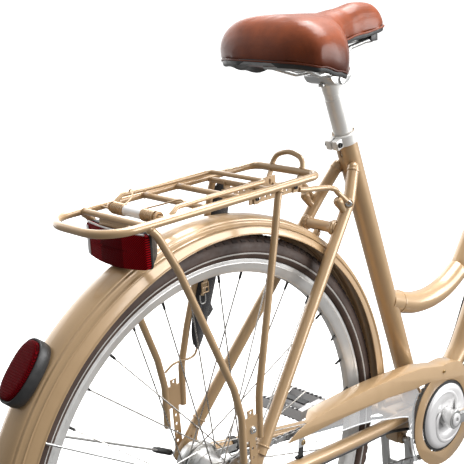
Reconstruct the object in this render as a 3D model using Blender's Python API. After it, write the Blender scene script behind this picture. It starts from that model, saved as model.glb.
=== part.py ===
"""City bicycle with a swan-neck frame, tubular rear carrier, chain guard and twin-leg stand.

Metres, +Z up. X runs forward, Y to the rider's left. The origin lies on the ground, midway between the
rearmost and foremost points. Sketch points in this file are given from the rear axle, because that is how a
frame is drawn, and REAR_AXLE puts them in place.
"""

import math

import bmesh
import bpy
from mathutils import Matrix, Vector

# Fits
TOUCH = 0.0003
RUN = 0.0006

# Wheels
WHEEL_RADIUS = 0.351
TYRE_WIDTH = 0.040
RIM_RADIUS = 0.317
RIM_WIDTH = 0.025
RIM_WALL = 0.0018
RIM_DEPTH = 0.021
RIM_BED_HALF = 0.0070
BEAD_DEPTH = 0.004
WHEEL_STEPS = 36
SPOKES = 36
SPOKE_RADIUS = 0.001
SPOKE_SWEEP = math.radians(64)
FLANGE_HOLES = 0.029
FLANGE_OFFSET = 0.029
FLANGE_THICKNESS = 0.003
HUB_SHELL_RADIUS = 0.021
HUB_HALF = 0.035
AXLE_RADIUS = 0.005
WHEELBASE = 1.112

# Frame
BB_FORWARD = 0.484
CABLE_RADIUS = 0.0025
CABLE_STANDOFF = 0.0014
BB_DROP = 0.079
BB_SHELL_RADIUS = 0.021
BB_HALF = 0.034
SPINDLE_RADIUS = 0.0085
SEAT_ANGLE = math.radians(71.3)
SEAT_TUBE_RADIUS = 0.0174
SEAT_TUBE_LENGTH = 0.545
SEAT_POST_RADIUS = 0.0150
SEAT_BORE_DEPTH = 0.330
SWAN_TUBE_RADIUS = 0.019
SWAN_ROOT = 0.232
HEAD_ANGLE = math.radians(70)
HEAD_TUBE_RADIUS = 0.019
HEAD_TUBE_LENGTH = 0.172
HEAD_BORE = 0.0155
STEERER_RADIUS = 0.0127
FORK_OFFSET = 0.055
CROWN_RISE = 0.400
DOWN_NECK = ((0.0, 0.0), (0.208, 0.002), (0.368, 0.020), (0.520, 0.054), (0.688, 0.110))
DROPOUT_INSIDE = 0.065
DROPOUT_THICKNESS = 0.006
STAY_RADIUS = 0.0092
CHAINSTAY_RADIUS = 0.0095
BRIDGE_RADIUS = 0.0085

# Mudguards
GUARD_RADIUS = 0.378
GUARD_HALF = 0.0305
GUARD_SHEET = 0.0016
REAR_GUARD_FROM = math.radians(-4)
REAR_GUARD_TO = math.radians(180)
FRONT_GUARD_FROM = math.radians(38)
FRONT_GUARD_TO = math.radians(192)
STAY_WIRE = 0.0017

# Drive
CHAIN_PITCH = 0.0127
CHAINRING_TEETH = 38
SPROCKET_TEETH = 19
CHAIN_LINE = 0.045
RING_THICKNESS = 0.0016
COVER_RADIUS = 0.061
CRANK_LENGTH = 0.170
CRANK_ANGLE = math.radians(-9)
CRANK_PLANE = 0.079
PEDAL_WIDTH = 0.096
PEDAL_LENGTH = 0.062
PEDAL_INSIDE = 0.092

# Chain guard
CASE_FACE = 0.064
CASE_DEPTH = 0.028
CASE_SHEET = 0.0016
CASE_ROUND = 0.096
CASE_HOLE = 0.0635

# Carrier
RACK_HEIGHT = 0.4164
RACK_HALF = 0.060
RACK_TUBE = 0.0055
RACK_REAR = 0.208
RACK_FRONT = 0.175
CROSS_TUBE = 0.0042
CROSS_PLACES = (-0.142, -0.042, 0.018, 0.082)
LEG_HALF = 0.080
LEG_RADIUS = 0.0052
STRIP_HALF = 0.0265
STRIP_THICKNESS = 0.002
CLAMP_ROD = 0.0033
CLAMP_PIVOT = -0.108
COIL_TURNS = 8
COIL_RADIUS = 0.0070
COIL_WIRE = 0.0012
COIL_LENGTH = 0.0240
EYE_PLACE = 0.0460
SLEEVE_HALF = 0.0175

# Lights
TAIL_HALF = 0.0585
TAIL_BACK = 0.1475
TAIL_TOP = 0.395
TAIL_HEIGHT = 0.042
TAIL_DEPTH = 0.030
REFLECTOR_ANGLE = math.radians(138.4)
REFLECTOR_LENGTH = 0.086
REFLECTOR_WIDTH = 0.046

# Saddle
SADDLE_TOP = 0.637
SADDLE_TAIL = 0.132
SADDLE_NOSE = 0.404
SADDLE_HALF = 0.102
SADDLE_STATIONS = (0.0, 0.035, 0.09, 0.16, 0.24, 0.33, 0.42, 0.52, 0.62, 0.73, 0.84, 0.92, 0.97, 1.0)
RAIL_HALF = 0.022
RAIL_RADIUS = 0.0035

# Handlebar
BAR_RISE = 0.655
BAR_RADIUS = 0.0111
BAR_HALF = 0.305
BAR_SWEEP = math.radians(14)
STEM_REACH = 0.055
GRIP_LENGTH = 0.120
GRIP_RADIUS = 0.0160
SHIFT_LENGTH = 0.040

# Stand
STAND_FORWARD = 0.430
STAND_DROP = 0.118
STAND_SPREAD = 0.115
STAND_LEG = 0.0075

REAR_AXLE = Vector((-(WHEELBASE + WHEEL_RADIUS - GUARD_RADIUS) / 2, 0.0, WHEEL_RADIUS))
Y_AXIS = Vector((0, 1, 0))


def clear_scene():
    """Removes what the start-up file holds."""
    for item in list(bpy.data.objects):
        bpy.data.objects.remove(item, do_unlink=True)


def finish(name, colour, roughness, metallic=0.0, alpha=1.0):
    """Makes one Principled material."""
    material = bpy.data.materials.new(name)
    material.use_nodes = True
    shader = material.node_tree.nodes["Principled BSDF"]
    shader.inputs["Base Color"].default_value = (*colour, 1.0)
    shader.inputs["Roughness"].default_value = roughness
    shader.inputs["Metallic"].default_value = metallic
    shader.inputs["Alpha"].default_value = alpha
    material.diffuse_color = (*colour, alpha)
    return material


def mesh_object(bm, name):
    """Turns a bmesh into a linked object."""
    bmesh.ops.remove_doubles(bm, verts=bm.verts, dist=1e-6)
    bmesh.ops.recalc_face_normals(bm, faces=bm.faces)
    data = bpy.data.meshes.new(name)
    bm.to_mesh(data)
    bm.free()
    item = bpy.data.objects.new(name, data)
    bpy.context.collection.objects.link(item)
    return item


def combine(base, tools, operation):
    """Applies one exact Boolean for each tool to the base and gives the result as a bmesh."""
    subject = mesh_object(base, "subject")
    helpers = [mesh_object(tool, "tool") for tool in tools]
    for helper in helpers:
        step = subject.modifiers.new("step", "BOOLEAN")
        step.operation = operation
        step.solver = "EXACT"
        step.object = helper
    bpy.context.view_layer.update()
    graph = bpy.context.evaluated_depsgraph_get()
    result = bmesh.new()
    result.from_mesh(bpy.data.meshes.new_from_object(subject.evaluated_get(graph)))
    for item in [subject, *helpers]:
        bpy.data.objects.remove(item, do_unlink=True)
    bmesh.ops.dissolve_degenerate(result, edges=result.edges, dist=1e-6)
    return result


def union(first, *others):
    """Joins solids that overlap into one body."""
    return combine(first, others, "UNION")


def cut(base, *tools):
    """Takes solids away from a base."""
    return combine(base, tools, "DIFFERENCE")


def piece(name, bm, material, pivot=None, smooth=35):
    """Adds a finished piece, with its origin on the pivot that it turns about."""
    origin = pivot if pivot is not None else Vector((0, 0, 0))
    bmesh.ops.translate(bm, verts=bm.verts, vec=-origin)
    item = mesh_object(bm, name)
    item.location = REAR_AXLE + origin
    item.data.materials.append(material)
    item.data.shade_smooth()
    item.data.set_sharp_from_angle(angle=math.radians(smooth))
    return item


def mirror(point):
    """Mirrors a point across the middle plane."""
    return Vector((point.x, -point.y, point.z))


def mirrored(points):
    """Mirrors a list of points."""
    return [mirror(point) for point in points]


def smooth_path(points, steps):
    """Reads evenly placed points from a smooth curve through the given ones."""
    points = [Vector(point) for point in points]
    ends = [2 * points[0] - points[1], *points, 2 * points[-1] - points[-2]]
    fine = []
    for before, start, stop, after in zip(ends, ends[1:], ends[2:], ends[3:]):
        for index in range(12):
            t = index / 12
            fine.append(
                0.5 * (2 * start + (stop - before) * t
                       + (2 * before - 5 * start + 4 * stop - after) * t ** 2
                       + (3 * start - before - 3 * stop + after) * t ** 3)
            )
    fine.append(points[-1])
    lengths = [0.0]
    for first, second in zip(fine, fine[1:]):
        lengths.append(lengths[-1] + (second - first).length)
    path, place = [], 0
    for step in range(steps + 1):
        target = lengths[-1] * step / steps
        while place < len(fine) - 2 and lengths[place + 1] < target:
            place += 1
        span = lengths[place + 1] - lengths[place]
        share = (target - lengths[place]) / span if span else 0.0
        path.append(fine[place].lerp(fine[place + 1], min(share, 1.0)))
    return path


def rounded(points, radius, steps=4):
    """Rounds the corners of a path of straight runs with arcs."""
    points = [Vector(point) for point in points]
    path = [points[0]]
    for before, corner, after in zip(points, points[1:], points[2:]):
        one, two = (before - corner).normalized(), (after - corner).normalized()
        half = one.angle(two) / 2
        reach = min(radius / math.tan(half), (before - corner).length * 0.49, (after - corner).length * 0.49)
        start, stop = corner + one * reach, corner + two * reach
        for index in range(steps + 1):
            t = index / steps
            path.append(start.lerp(corner, t).lerp(corner.lerp(stop, t), t))
    path.append(points[-1])
    return path


def sweep(path, section, closed=False, sizes=None, up=None):
    """Carries a section, points (across, along up), along a path and caps its ends."""
    path = [Vector(point) for point in path]
    count = len(path)
    tangents = []
    for index in range(count):
        before = path[index - 1] if closed or index else path[index]
        after = path[(index + 1) % count] if closed or index < count - 1 else path[index]
        tangents.append((after - before).normalized())
    lift = Vector(up) if up is not None else Vector((0, 0, 1))
    if up is None and abs(tangents[0].dot(lift)) > 0.9:
        lift = Vector((1, 0, 0))
    bm = bmesh.new()
    rings = []
    for index in range(count):
        tangent = tangents[index]
        lift = (lift - tangent * lift.dot(tangent)).normalized()
        across = tangent.cross(lift)
        size = sizes[index] if sizes else 1.0
        rings.append([bm.verts.new(path[index] + (across * u + lift * v) * size) for u, v in section])
        if up is not None:
            lift = Vector(up)
    spans = zip(rings, rings[1:] + rings[:1]) if closed else zip(rings, rings[1:])
    for first, second in spans:
        for index in range(len(section)):
            after = (index + 1) % len(section)
            bm.faces.new((first[index], first[after], second[after], second[index]))
    if not closed:
        bm.faces.new(list(reversed(rings[0])))
        bm.faces.new(rings[-1])
    return bm


def circle(radius, sides):
    """Points round a circle."""
    return [(radius * math.cos(math.tau * index / sides), radius * math.sin(math.tau * index / sides))
            for index in range(sides)]


def tube(path, radius, sides=10, closed=False, sizes=None):
    """A round solid bar along a path."""
    return sweep(path, circle(radius, sides), closed, sizes)


def turned(profile, centre, axis=Y_AXIS, steps=24, ring=True, phase=0.0):
    """Turns a profile of (radius, along the axis) about an axis. A ring's profile is a closed outline."""
    centre = Vector(centre)
    axis = Vector(axis).normalized()
    side = axis.cross(Vector((0, 0, 1)))
    side = side.normalized() if side.length > 0.1 else Vector((1, 0, 0))
    other = side.cross(axis)
    bm = bmesh.new()
    rings = []
    for index in range(steps):
        angle = math.tau * index / steps + phase
        out = side * math.cos(angle) + other * math.sin(angle)
        rings.append([bm.verts.new(centre + out * radius + axis * along) for radius, along in profile])
    for first, second in zip(rings, rings[1:] + rings[:1]):
        last = len(profile) if ring else len(profile) - 1
        for index in range(last):
            after = (index + 1) % len(profile)
            bm.faces.new((first[index], first[after], second[after], second[index]))
    if not ring:
        bm.faces.new([spoke[0] for spoke in rings])
        bm.faces.new([spoke[-1] for spoke in reversed(rings)])
    return bm


def rod(start, stop, radius, sides=10):
    """A straight round bar."""
    run = Vector(stop) - Vector(start)
    return turned([(radius, 0.0), (radius, run.length)], start, run, sides, ring=False)


def prism(outline, low, high):
    """Extrudes an outline of (x, z) points across the bicycle, from y low to y high."""
    bm = bmesh.new()
    near = [bm.verts.new((x, low, z)) for x, z in outline]
    far = [bm.verts.new((x, high, z)) for x, z in outline]
    for index in range(len(outline)):
        after = (index + 1) % len(outline)
        bm.faces.new((near[index], near[after], far[after], far[index]))
    bm.faces.new(list(reversed(near)))
    bm.faces.new(far)
    return bm


def block(centre, size, turn=None):
    """A box of a size about a centre, with an optional turn."""
    bm = bmesh.new()
    bmesh.ops.create_cube(bm, size=1.0)
    bmesh.ops.scale(bm, vec=size, verts=bm.verts)
    if turn is not None:
        bmesh.ops.rotate(bm, cent=(0, 0, 0), matrix=turn, verts=bm.verts)
    bmesh.ops.translate(bm, vec=centre, verts=bm.verts)
    return bm


def arc(centre, radius, start, stop, steps):
    """Points (x, z) along an arc, with angles from the forward direction."""
    return [
        (centre[0] + radius * math.cos(start + (stop - start) * index / steps),
         centre[1] + radius * math.sin(start + (stop - start) * index / steps))
        for index in range(steps + 1)
    ]


BB = Vector((BB_FORWARD, 0, -BB_DROP))
FRONT_AXLE = Vector((WHEELBASE, 0, 0))
SEAT_UP = Vector((-math.cos(SEAT_ANGLE), 0, math.sin(SEAT_ANGLE)))
STEER_UP = Vector((-math.cos(HEAD_ANGLE), 0, math.sin(HEAD_ANGLE)))
STEER_FOOT = FRONT_AXLE - Vector((math.sin(HEAD_ANGLE), 0, math.cos(HEAD_ANGLE))) * FORK_OFFSET
CUP_HEIGHT = 0.012
HEAD_LOW = CROWN_RISE + 0.012 + TOUCH + CUP_HEIGHT + TOUCH
HEAD_HIGH = HEAD_LOW + HEAD_TUBE_LENGTH
SEAT_TOP = BB + SEAT_UP * SEAT_TUBE_LENGTH
NECK_ROOM = WHEELBASE - GUARD_RADIUS - BB_FORWARD


def seat_axis(length):
    """A point on the seat tube's axis, from the bottom bracket."""
    return BB + SEAT_UP * length


def steer_axis(length):
    """A point on the steering axis, from beside the front axle."""
    return STEER_FOOT + STEER_UP * length


def swan_paths():
    """Centre lines of the top tube and the down tube, both bent like a swan's neck."""
    root = seat_axis(SWAN_ROOT)
    low = root + Vector((0.118, 0, -0.026))
    top = [root + SEAT_UP * 0.004, root + Vector((0.034, 0, -0.010)), root + Vector((0.072, 0, -0.022)), low,
           low + Vector((0.046, 0, 0.007)), low + Vector((0.088, 0, 0.026)), low + Vector((0.122, 0, 0.058)),
           steer_axis(HEAD_HIGH - 0.052)]
    down = [BB + Vector((NECK_ROOM * share, 0, rise)) for share, rise in DOWN_NECK] + [steer_axis(HEAD_LOW + 0.046)]
    return smooth_path(top, 16), smooth_path(down, 11)


DROPOUT_MID = DROPOUT_INSIDE + DROPOUT_THICKNESS / 2
STAY_FOOT = Vector((0.024, DROPOUT_MID, 0.042))
STRUT_LUG = Vector((0.279, 0.0300, 0.348))
STAY_HEAD = Vector((0.306, 0.0150, 0.391))
CHAINSTAY_FOOT = Vector((0.030, DROPOUT_MID - 0.001, -0.004))
CHAINSTAY_HEAD = BB + Vector((-0.012, 0.0230, 0.006))
BRIDGE = Vector((0.2447, 0.033, 0.3146))
SHORT_BRIDGE = 0.405


def chainstay_point(x):
    """The point on the left chainstay's centre line at a place along the bicycle."""
    share = (x - CHAINSTAY_FOOT.x) / (CHAINSTAY_HEAD.x - CHAINSTAY_FOOT.x)
    return CHAINSTAY_FOOT.lerp(CHAINSTAY_HEAD, share)


def dropout(side):
    """One slotted rear wheel plate."""
    outline = [(-0.016, -0.013), (-0.018, 0.004), (-0.012, 0.016), (0.002, 0.030), (0.020, 0.052),
               (0.033, 0.044), (0.024, 0.022), (0.028, 0.010), (0.046, 0.000), (0.043, -0.014), (0.014, -0.016)]
    low, high = sorted((side * DROPOUT_INSIDE, side * (DROPOUT_INSIDE + DROPOUT_THICKNESS)))
    plate = prism(outline, low, high)
    slot_half = AXLE_RADIUS + TOUCH
    slot = arc((0, 0), slot_half, -math.pi / 2, math.pi / 2, 6) + [(-0.05, slot_half), (-0.05, -slot_half)]
    eyelet = turned([(0.0022, -0.02), (0.0022, 0.02)], (0.012, side * DROPOUT_MID, 0.030), steps=8, ring=False)
    return cut(plate, prism(slot, low - 0.01, high + 0.01), eyelet)


def main_frame():
    """The welded frame: tubes, stays, plates, bridges and the stand's bracket in one body."""
    swan, down = swan_paths()
    solids = [
        rod(BB, SEAT_TOP, SEAT_TUBE_RADIUS, 14),
        tube(swan, SWAN_TUBE_RADIUS, 10),
        tube(down, SWAN_TUBE_RADIUS, 10),
        rod(steer_axis(HEAD_LOW), steer_axis(HEAD_HIGH), HEAD_TUBE_RADIUS, 16),
        rod(BB - Y_AXIS * BB_HALF, BB + Y_AXIS * BB_HALF, BB_SHELL_RADIUS, 16),
    ]
    for turn in (Vector, mirror):
        solids += [
            tube([turn(STAY_FOOT), turn(STAY_FOOT.lerp(STRUT_LUG, 0.5)), turn(STRUT_LUG), turn(STAY_HEAD)],
                 STAY_RADIUS, 8),
            rod(turn(CHAINSTAY_FOOT), turn(CHAINSTAY_HEAD), CHAINSTAY_RADIUS, 8),
        ]
    hook = smooth_path([STRUT_LUG + Vector((-0.012, 0.001, -0.014)), STRUT_LUG + Vector((-0.022, 0.003, -0.003)),
                        STRUT_LUG + Vector((-0.032, 0.003, 0.012))], 4)
    pivot = Vector((STAND_FORWARD, 0, -STAND_DROP))
    lug_out = STRUT_LUG + Y_AXIS * (STAY_RADIUS + 0.002)
    solids += [
        rod(mirror(BRIDGE), BRIDGE, BRIDGE_RADIUS, 10),
        rod(mirror(chainstay_point(SHORT_BRIDGE)), chainstay_point(SHORT_BRIDGE), 0.007, 8),
        tube(hook, 0.006, 8), tube(mirrored(hook), 0.006, 8),
        rod(STRUT_LUG, lug_out, 0.0055, 8), rod(mirror(STRUT_LUG), mirror(lug_out), 0.0055, 8),
        prism([(SHORT_BRIDGE - 0.006, -0.058), (BB.x - 0.014, -0.066), (BB.x - 0.014, -0.096), (pivot.x + 0.010, -0.123),
               (pivot.x - 0.010, -0.124), (pivot.x - 0.018, -0.100)], -0.015, 0.015),
        rod(pivot - Y_AXIS * 0.017, pivot + Y_AXIS * 0.017, 0.0095, 12),
    ]
    body = union(solids[0], *solids[1:])
    body = union(body, dropout(1), dropout(-1))
    return cut(
        body,
        rod(SEAT_TOP - SEAT_UP * SEAT_BORE_DEPTH, SEAT_TOP + SEAT_UP * 0.02, SEAT_POST_RADIUS + TOUCH, 14),
        rod(steer_axis(HEAD_LOW - 0.02), steer_axis(HEAD_HIGH + 0.02), HEAD_BORE, 16),
        rod(BB - Y_AXIS * (BB_HALF + 0.01), BB + Y_AXIS * (BB_HALF + 0.01), SPINDLE_RADIUS + 0.0075, 16),
        rod(pivot - Y_AXIS * 0.03, pivot + Y_AXIS * 0.03, 0.0055, 10),
        seat_slot(),
    )


def seat_slot():
    """The slot down the back of the seat tube that lets the clamp close it."""
    place = SEAT_TOP - SEAT_UP * 0.012 + Vector((-SEAT_TUBE_RADIUS, 0, 0))
    return block(place, (0.012, 0.003, 0.046), Matrix.Rotation(SEAT_ANGLE - math.pi / 2, 3, "Y"))


def seat_clamp():
    """Split collar with two ears and a bolt across them."""
    inner = SEAT_TUBE_RADIUS + TOUCH
    outer = inner + 0.0046
    half = 0.0085
    middle = SEAT_TOP - SEAT_UP * 0.006
    collar = rod(middle - SEAT_UP * half, middle + SEAT_UP * half, outer, 14)
    back = Vector((-math.sin(SEAT_ANGLE), 0, -math.cos(SEAT_ANGLE)))
    tilt = Matrix.Rotation(SEAT_ANGLE - math.pi / 2, 3, "Y")
    ears = block(middle + back * (outer + 0.003), (0.014, 0.024, 2 * half - 0.002), tilt)
    bolt = middle + back * (outer + 0.0045)
    body = union(collar, ears)
    body = cut(body, rod(middle - SEAT_UP * 0.02, middle + SEAT_UP * 0.02, inner + TOUCH, 15),
               block(middle + back * (outer + 0.004), (0.024, 0.003, 0.03), tilt))
    return union(body, rod(bolt - Y_AXIS * 0.015, bolt + Y_AXIS * 0.015, 0.0034, 8))


def headset_cup(low):
    """One bearing cup pressed against an end of the head tube."""
    start = HEAD_LOW - TOUCH - CUP_HEIGHT if low else HEAD_HIGH + TOUCH
    wide, narrow = HEAD_TUBE_RADIUS + 0.003, HEAD_TUBE_RADIUS
    feet = (narrow, wide) if low else (wide, narrow)
    bore = STEERER_RADIUS + RUN
    return turned([(bore, 0), (feet[0], 0), (feet[1], CUP_HEIGHT), (bore, CUP_HEIGHT)], steer_axis(start),
                  STEER_UP, 16)


def bottom_bracket():
    """The bearing cartridge that carries the crank spindle in its shell."""
    outer = SPINDLE_RADIUS + 0.0075 - TOUCH
    rim = outer + 0.0012
    inner = SPINDLE_RADIUS + RUN
    end = BB_HALF + TOUCH
    return turned([(inner, -end - 0.003), (rim, -end - 0.003), (rim, -end), (outer, -end), (outer, end),
                   (rim, end), (rim, end + 0.003), (inner, end + 0.003)], BB, steps=16)


def guard_section():
    """Half of the mudguard's section as (half width, radius) from the crown to the lip."""
    crown = GUARD_RADIUS
    return [(0.0, crown), (0.0125, crown - 0.0012), (0.0215, crown - 0.0072), (0.0262, crown - 0.0185),
            (GUARD_HALF, crown - 0.0360)]


def mudguard(centre, start, stop, steps):
    """A pressed mudguard: rounded crown, stepped sides and an open underside."""
    half = guard_section()
    outer = [(-y, r) for y, r in reversed(half)] + half[1:]
    inner = [(y * (1 - GUARD_SHEET / GUARD_HALF), r - GUARD_SHEET) for y, r in half[::2]]
    inner = list(reversed(inner)) + [(-y, r) for y, r in inner[1:]]
    bm = bmesh.new()
    rings = []
    for index in range(steps + 1):
        angle = start + (stop - start) * index / steps
        out = Vector((math.cos(angle), 0, math.sin(angle)))
        rings.append([bm.verts.new(Vector(centre) + out * r + Y_AXIS * y) for y, r in outer + inner])
    for first, second in zip(rings, rings[1:]):
        for index in range(len(first)):
            after = (index + 1) % len(first)
            bm.faces.new((first[index], first[after], second[after], second[index]))
    bm.faces.new(list(reversed(rings[0])))
    bm.faces.new(rings[-1])
    return bm


def rear_guard():
    """Rear mudguard with its tabs to the two frame bridges."""
    shell = mudguard((0, 0, 0), REAR_GUARD_FROM, REAR_GUARD_TO, 24)
    up = Vector((BRIDGE.x, 0, BRIDGE.z))
    reach = up.length - BRIDGE_RADIUS - TOUCH * 2
    lift = up.normalized()
    tab = rod(lift * (GUARD_RADIUS - 0.0014), lift * reach, 0.006, 8)
    return union(shell, tab)


def guard_stay(axle, half_foot, foot, angle, lift):
    """A bent wire from one wheel plate over the tyre, inside the mudguard, to the other plate."""
    def at(y, r, turn=0.0):
        return Vector(axle) + Vector((math.cos(angle + turn) * r, y, math.sin(angle + turn) * r))

    left = [Vector(axle) + Vector((foot[0], half_foot, foot[1])), at(0.0258, 0.3405), at(0.0222, 0.3535, -lift),
            at(0.0145, 0.3655, -lift), at(0.0, 0.3695, -lift)]
    path = rounded(left + mirrored(left[:-1])[::-1], 0.006, 2)
    return tube(path, STAY_WIRE, 5)


def rear_guard_stay():
    """The rear stay with the break-away clips at its feet."""
    foot = Vector((-0.036, DROPOUT_INSIDE + DROPOUT_THICKNESS + 0.0052, 0.022))
    wire = guard_stay((0, 0, 0), foot.y, (foot.x, foot.z), math.radians(149), math.radians(2.5))
    along = Vector((-0.86, 0, 0.5)).normalized()
    clips = []
    for turn in (Vector, mirror):
        clips.append(rod(turn(foot - along * 0.020), turn(foot + along * 0.018), 0.0048, 6))
        clips.append(rod(turn(foot - along * 0.014), turn(foot - along * 0.014 - Y_AXIS * 0.0048), 0.0040, 6))
    return union(wire, *clips)


def oval_pad(centre, out, width, length, low, high, sides=20, shrink=0.86):
    """An oval block that stands on the mudguard's crown, rounded in towards its face."""
    along = Y_AXIS.cross(out).normalized()
    bm = bmesh.new()
    levels = [(low, 1.0), (low + (high - low) * 0.7, 1.0), (high, shrink)]
    rings = []
    for height, scale in levels:
        ring = []
        for index in range(sides):
            angle = math.tau * index / sides
            u = math.copysign(abs(math.cos(angle)) ** 0.8, math.cos(angle)) * width / 2 * scale
            v = math.copysign(abs(math.sin(angle)) ** 0.8, math.sin(angle)) * length / 2 * scale
            ring.append(bm.verts.new(Vector(centre) + out * height + Y_AXIS * u + along * v))
        rings.append(ring)
    for first, second in zip(rings, rings[1:]):
        for index in range(sides):
            after = (index + 1) % sides
            bm.faces.new((first[index], first[after], second[after], second[index]))
    bm.faces.new(list(reversed(rings[0])))
    bm.faces.new(rings[-1])
    return bm


def guard_reflector():
    """Black base and red lens of the reflector on the rear mudguard."""
    out = Vector((math.cos(REFLECTOR_ANGLE), 0, math.sin(REFLECTOR_ANGLE)))
    seat = GUARD_RADIUS + TOUCH
    face = seat + 0.016
    base = oval_pad((0, 0, 0), out, REFLECTOR_WIDTH, REFLECTOR_LENGTH, seat, face, shrink=0.94)
    lens = oval_pad((0, 0, 0), out, REFLECTOR_WIDTH * 0.86, REFLECTOR_LENGTH * 0.9, face + TOUCH, face + 0.007)
    return base, lens


def case_outline(grow):
    """The chain guard's outline (x, z), drawn in by a distance."""
    ring = (BB_FORWARD, -BB_DROP)
    radius = CASE_ROUND - grow
    band = [(0.088, 0.031 - grow), (0.110, 0.0415 - grow), (0.135, 0.0465 - grow), (0.190, 0.0485 - grow),
            (0.270, 0.0475 - grow), (0.350, 0.0415 - grow), (0.420, 0.0335 - grow)]
    top = arc(ring, radius + 0.006, math.radians(96), math.radians(60), 3)
    front = arc(ring, radius, math.radians(45), math.radians(-241), 20)
    under = [(0.395, 0.0035), (0.325, 0.0145), (0.210, 0.0235), (0.131, 0.0265)]
    return band + top + front + under


def chain_guard():
    """Painted guard: side band, ring round the chainring and a turned-in flange along the outer edge."""
    ring = Vector((BB_FORWARD, 0, -BB_DROP))
    outer = prism(case_outline(0.0), -CASE_FACE, -CASE_FACE + CASE_DEPTH)
    hollow_outline = case_outline(CASE_SHEET)
    inside = -CASE_FACE + CASE_SHEET
    hollow = prism(hollow_outline, inside, 0.0)
    rear_open = prism([(0.05, -0.20), (BB.x - 0.022, -0.20), (BB.x - 0.022, 0.018), (0.350, 0.030), (0.130, 0.039),
                       (0.130, 0.06), (0.05, 0.06)], inside, 0.0)
    opening = turned([(CASE_HOLE, -0.02), (CASE_HOLE, 0.02)], ring - Y_AXIS * CASE_FACE, steps=28, ring=False)
    body = cut(outer, hollow, rear_open, opening)
    plate_out, plate_in = -BB_HALF - TOUCH - 0.0020, -BB_HALF - TOUCH
    plate = prism([(BB.x - 0.009, BB.z + 0.018), (BB.x + 0.009, BB.z + 0.018), (BB.x + 0.008, BB.z + CASE_ROUND + 0.0045),
                   (BB.x - 0.012, BB.z + CASE_ROUND + 0.0045)], plate_out, plate_in)
    collar_in = SPINDLE_RADIUS + 0.0075 + 0.0022
    collar = turned([(collar_in, plate_out), (BB_SHELL_RADIUS + 0.003, plate_out), (BB_SHELL_RADIUS + 0.003, plate_in),
                     (collar_in, plate_in)], BB, steps=16)
    strap_z = chainstay_point(0.126).z + CHAINSTAY_RADIUS * 1.02 + TOUCH
    strap_y = -CASE_FACE + 0.0058
    strap = prism([(0.127, 0.0435), (0.137, 0.0435), (0.137, strap_z), (0.127, strap_z)], strap_y - 0.0008,
                  strap_y + 0.0008)
    shoe = prism([(0.126, strap_z + 0.003), (0.138, strap_z + 0.003), (0.138, strap_z), (0.126, strap_z)],
                 strap_y - 0.0008, strap_y + 0.0060)
    boss = rod((0.132, inside - 0.0008, 0.0405), (0.132, strap_y, 0.0405), 0.0028, 8)
    web = prism([(BB.x - 0.012, BB.z + CASE_ROUND + 0.0045), (BB.x + 0.008, BB.z + CASE_ROUND + 0.0045),
                 (BB.x + 0.008, BB.z + CASE_ROUND + 0.0020), (BB.x - 0.012, BB.z + CASE_ROUND + 0.0020)],
                -CASE_FACE + CASE_DEPTH - 0.002, plate_in)
    return union(body, plate, collar, strap, shoe, boss, web)


def guard_window():
    """Clear sheet that closes the space under the guard's side band."""
    high = -CASE_FACE + CASE_SHEET + TOUCH + 0.0012
    outline = [(0.048, 0.022), (0.100, 0.033), (0.150, 0.0345), (0.210, 0.0315), (0.325, 0.0225), (0.400, 0.010),
               (0.4130, -0.010), (0.4000, -0.030), (0.3975, -0.060), (0.3975, -0.100), (0.4080, -0.135),
               (0.3990, -0.135), (0.3890, -0.100), (0.3830, -0.050), (0.3760, -0.040), (0.330, -0.0255),
               (0.270, -0.0085), (0.220, 0.000), (0.150, 0.0075)]
    return prism(outline, -CASE_FACE + CASE_SHEET + TOUCH, high)


def rack_loop():
    """Centre line of the carrier's outer loop, with wide rear corners and tight front corners."""
    rear, front, half = -RACK_REAR, RACK_FRONT, RACK_HALF
    wide, tight = 0.044, 0.018
    corners = [(rear + wide, half - wide, wide, 90, 180), (rear + wide, -half + wide, wide, 180, 270),
               (front - tight, -half + tight, tight, 270, 360), (front - tight, half - tight, tight, 0, 90)]
    path = []
    for x, y, radius, start, stop in corners:
        for index in range(4):
            angle = math.radians(start + (stop - start) * index / 3)
            path.append(Vector((x + radius * math.cos(angle), y + radius * math.sin(angle), RACK_HEIGHT)))
    return path


def rack_legs():
    """Centre lines of the left pair of carrier legs, rear then front."""
    top = RACK_HEIGHT - 0.002
    rear = [(-0.150, RACK_HALF, top), (-0.134, RACK_HALF + 0.001, top - 0.012), (-0.103, RACK_HALF + 0.004, 0.349),
            (-0.036, LEG_HALF - 0.001, 0.160), (-0.0185, LEG_HALF, 0.118), (-0.0190, LEG_HALF, 0.052)]
    front = [(0.092, RACK_HALF, top), (0.086, RACK_HALF + 0.001, top - 0.018), (0.0686, RACK_HALF + 0.006, 0.357),
             (0.031, LEG_HALF - 0.002, 0.215), (0.0165, LEG_HALF, 0.140), (0.0140, LEG_HALF, 0.078)]
    return rear, front


def leg_strap(side):
    """Perforated strap that carries the legs on the axle, with the plate welded between the legs."""
    half = 0.0010
    y = side * LEG_HALF
    strap = prism([(-0.0075, 0.124), (0.0035, 0.124), (0.0060, 0.030), *arc((0, 0), 0.0105, 0.7, -math.pi - 0.7, 6),
                   (-0.0060, 0.030)], y - half, y + half)
    plate = prism([(-0.019, 0.114), (0.015, 0.114), (0.0145, 0.080), (-0.0185, 0.080)], y - 0.0014, y + 0.0014)
    body = union(strap, plate)
    holes = [turned([(0.0022, -0.01), (0.0022, 0.01)], (-0.0015, y, z), steps=4, ring=False)
             for z in (0.066, 0.052, 0.038, 0.024)]
    axle = turned([(AXLE_RADIUS + TOUCH, -0.01), (AXLE_RADIUS + TOUCH, 0.01)], (0, y, 0), steps=12, ring=False)
    return cut(body, *holes, axle)


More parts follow.
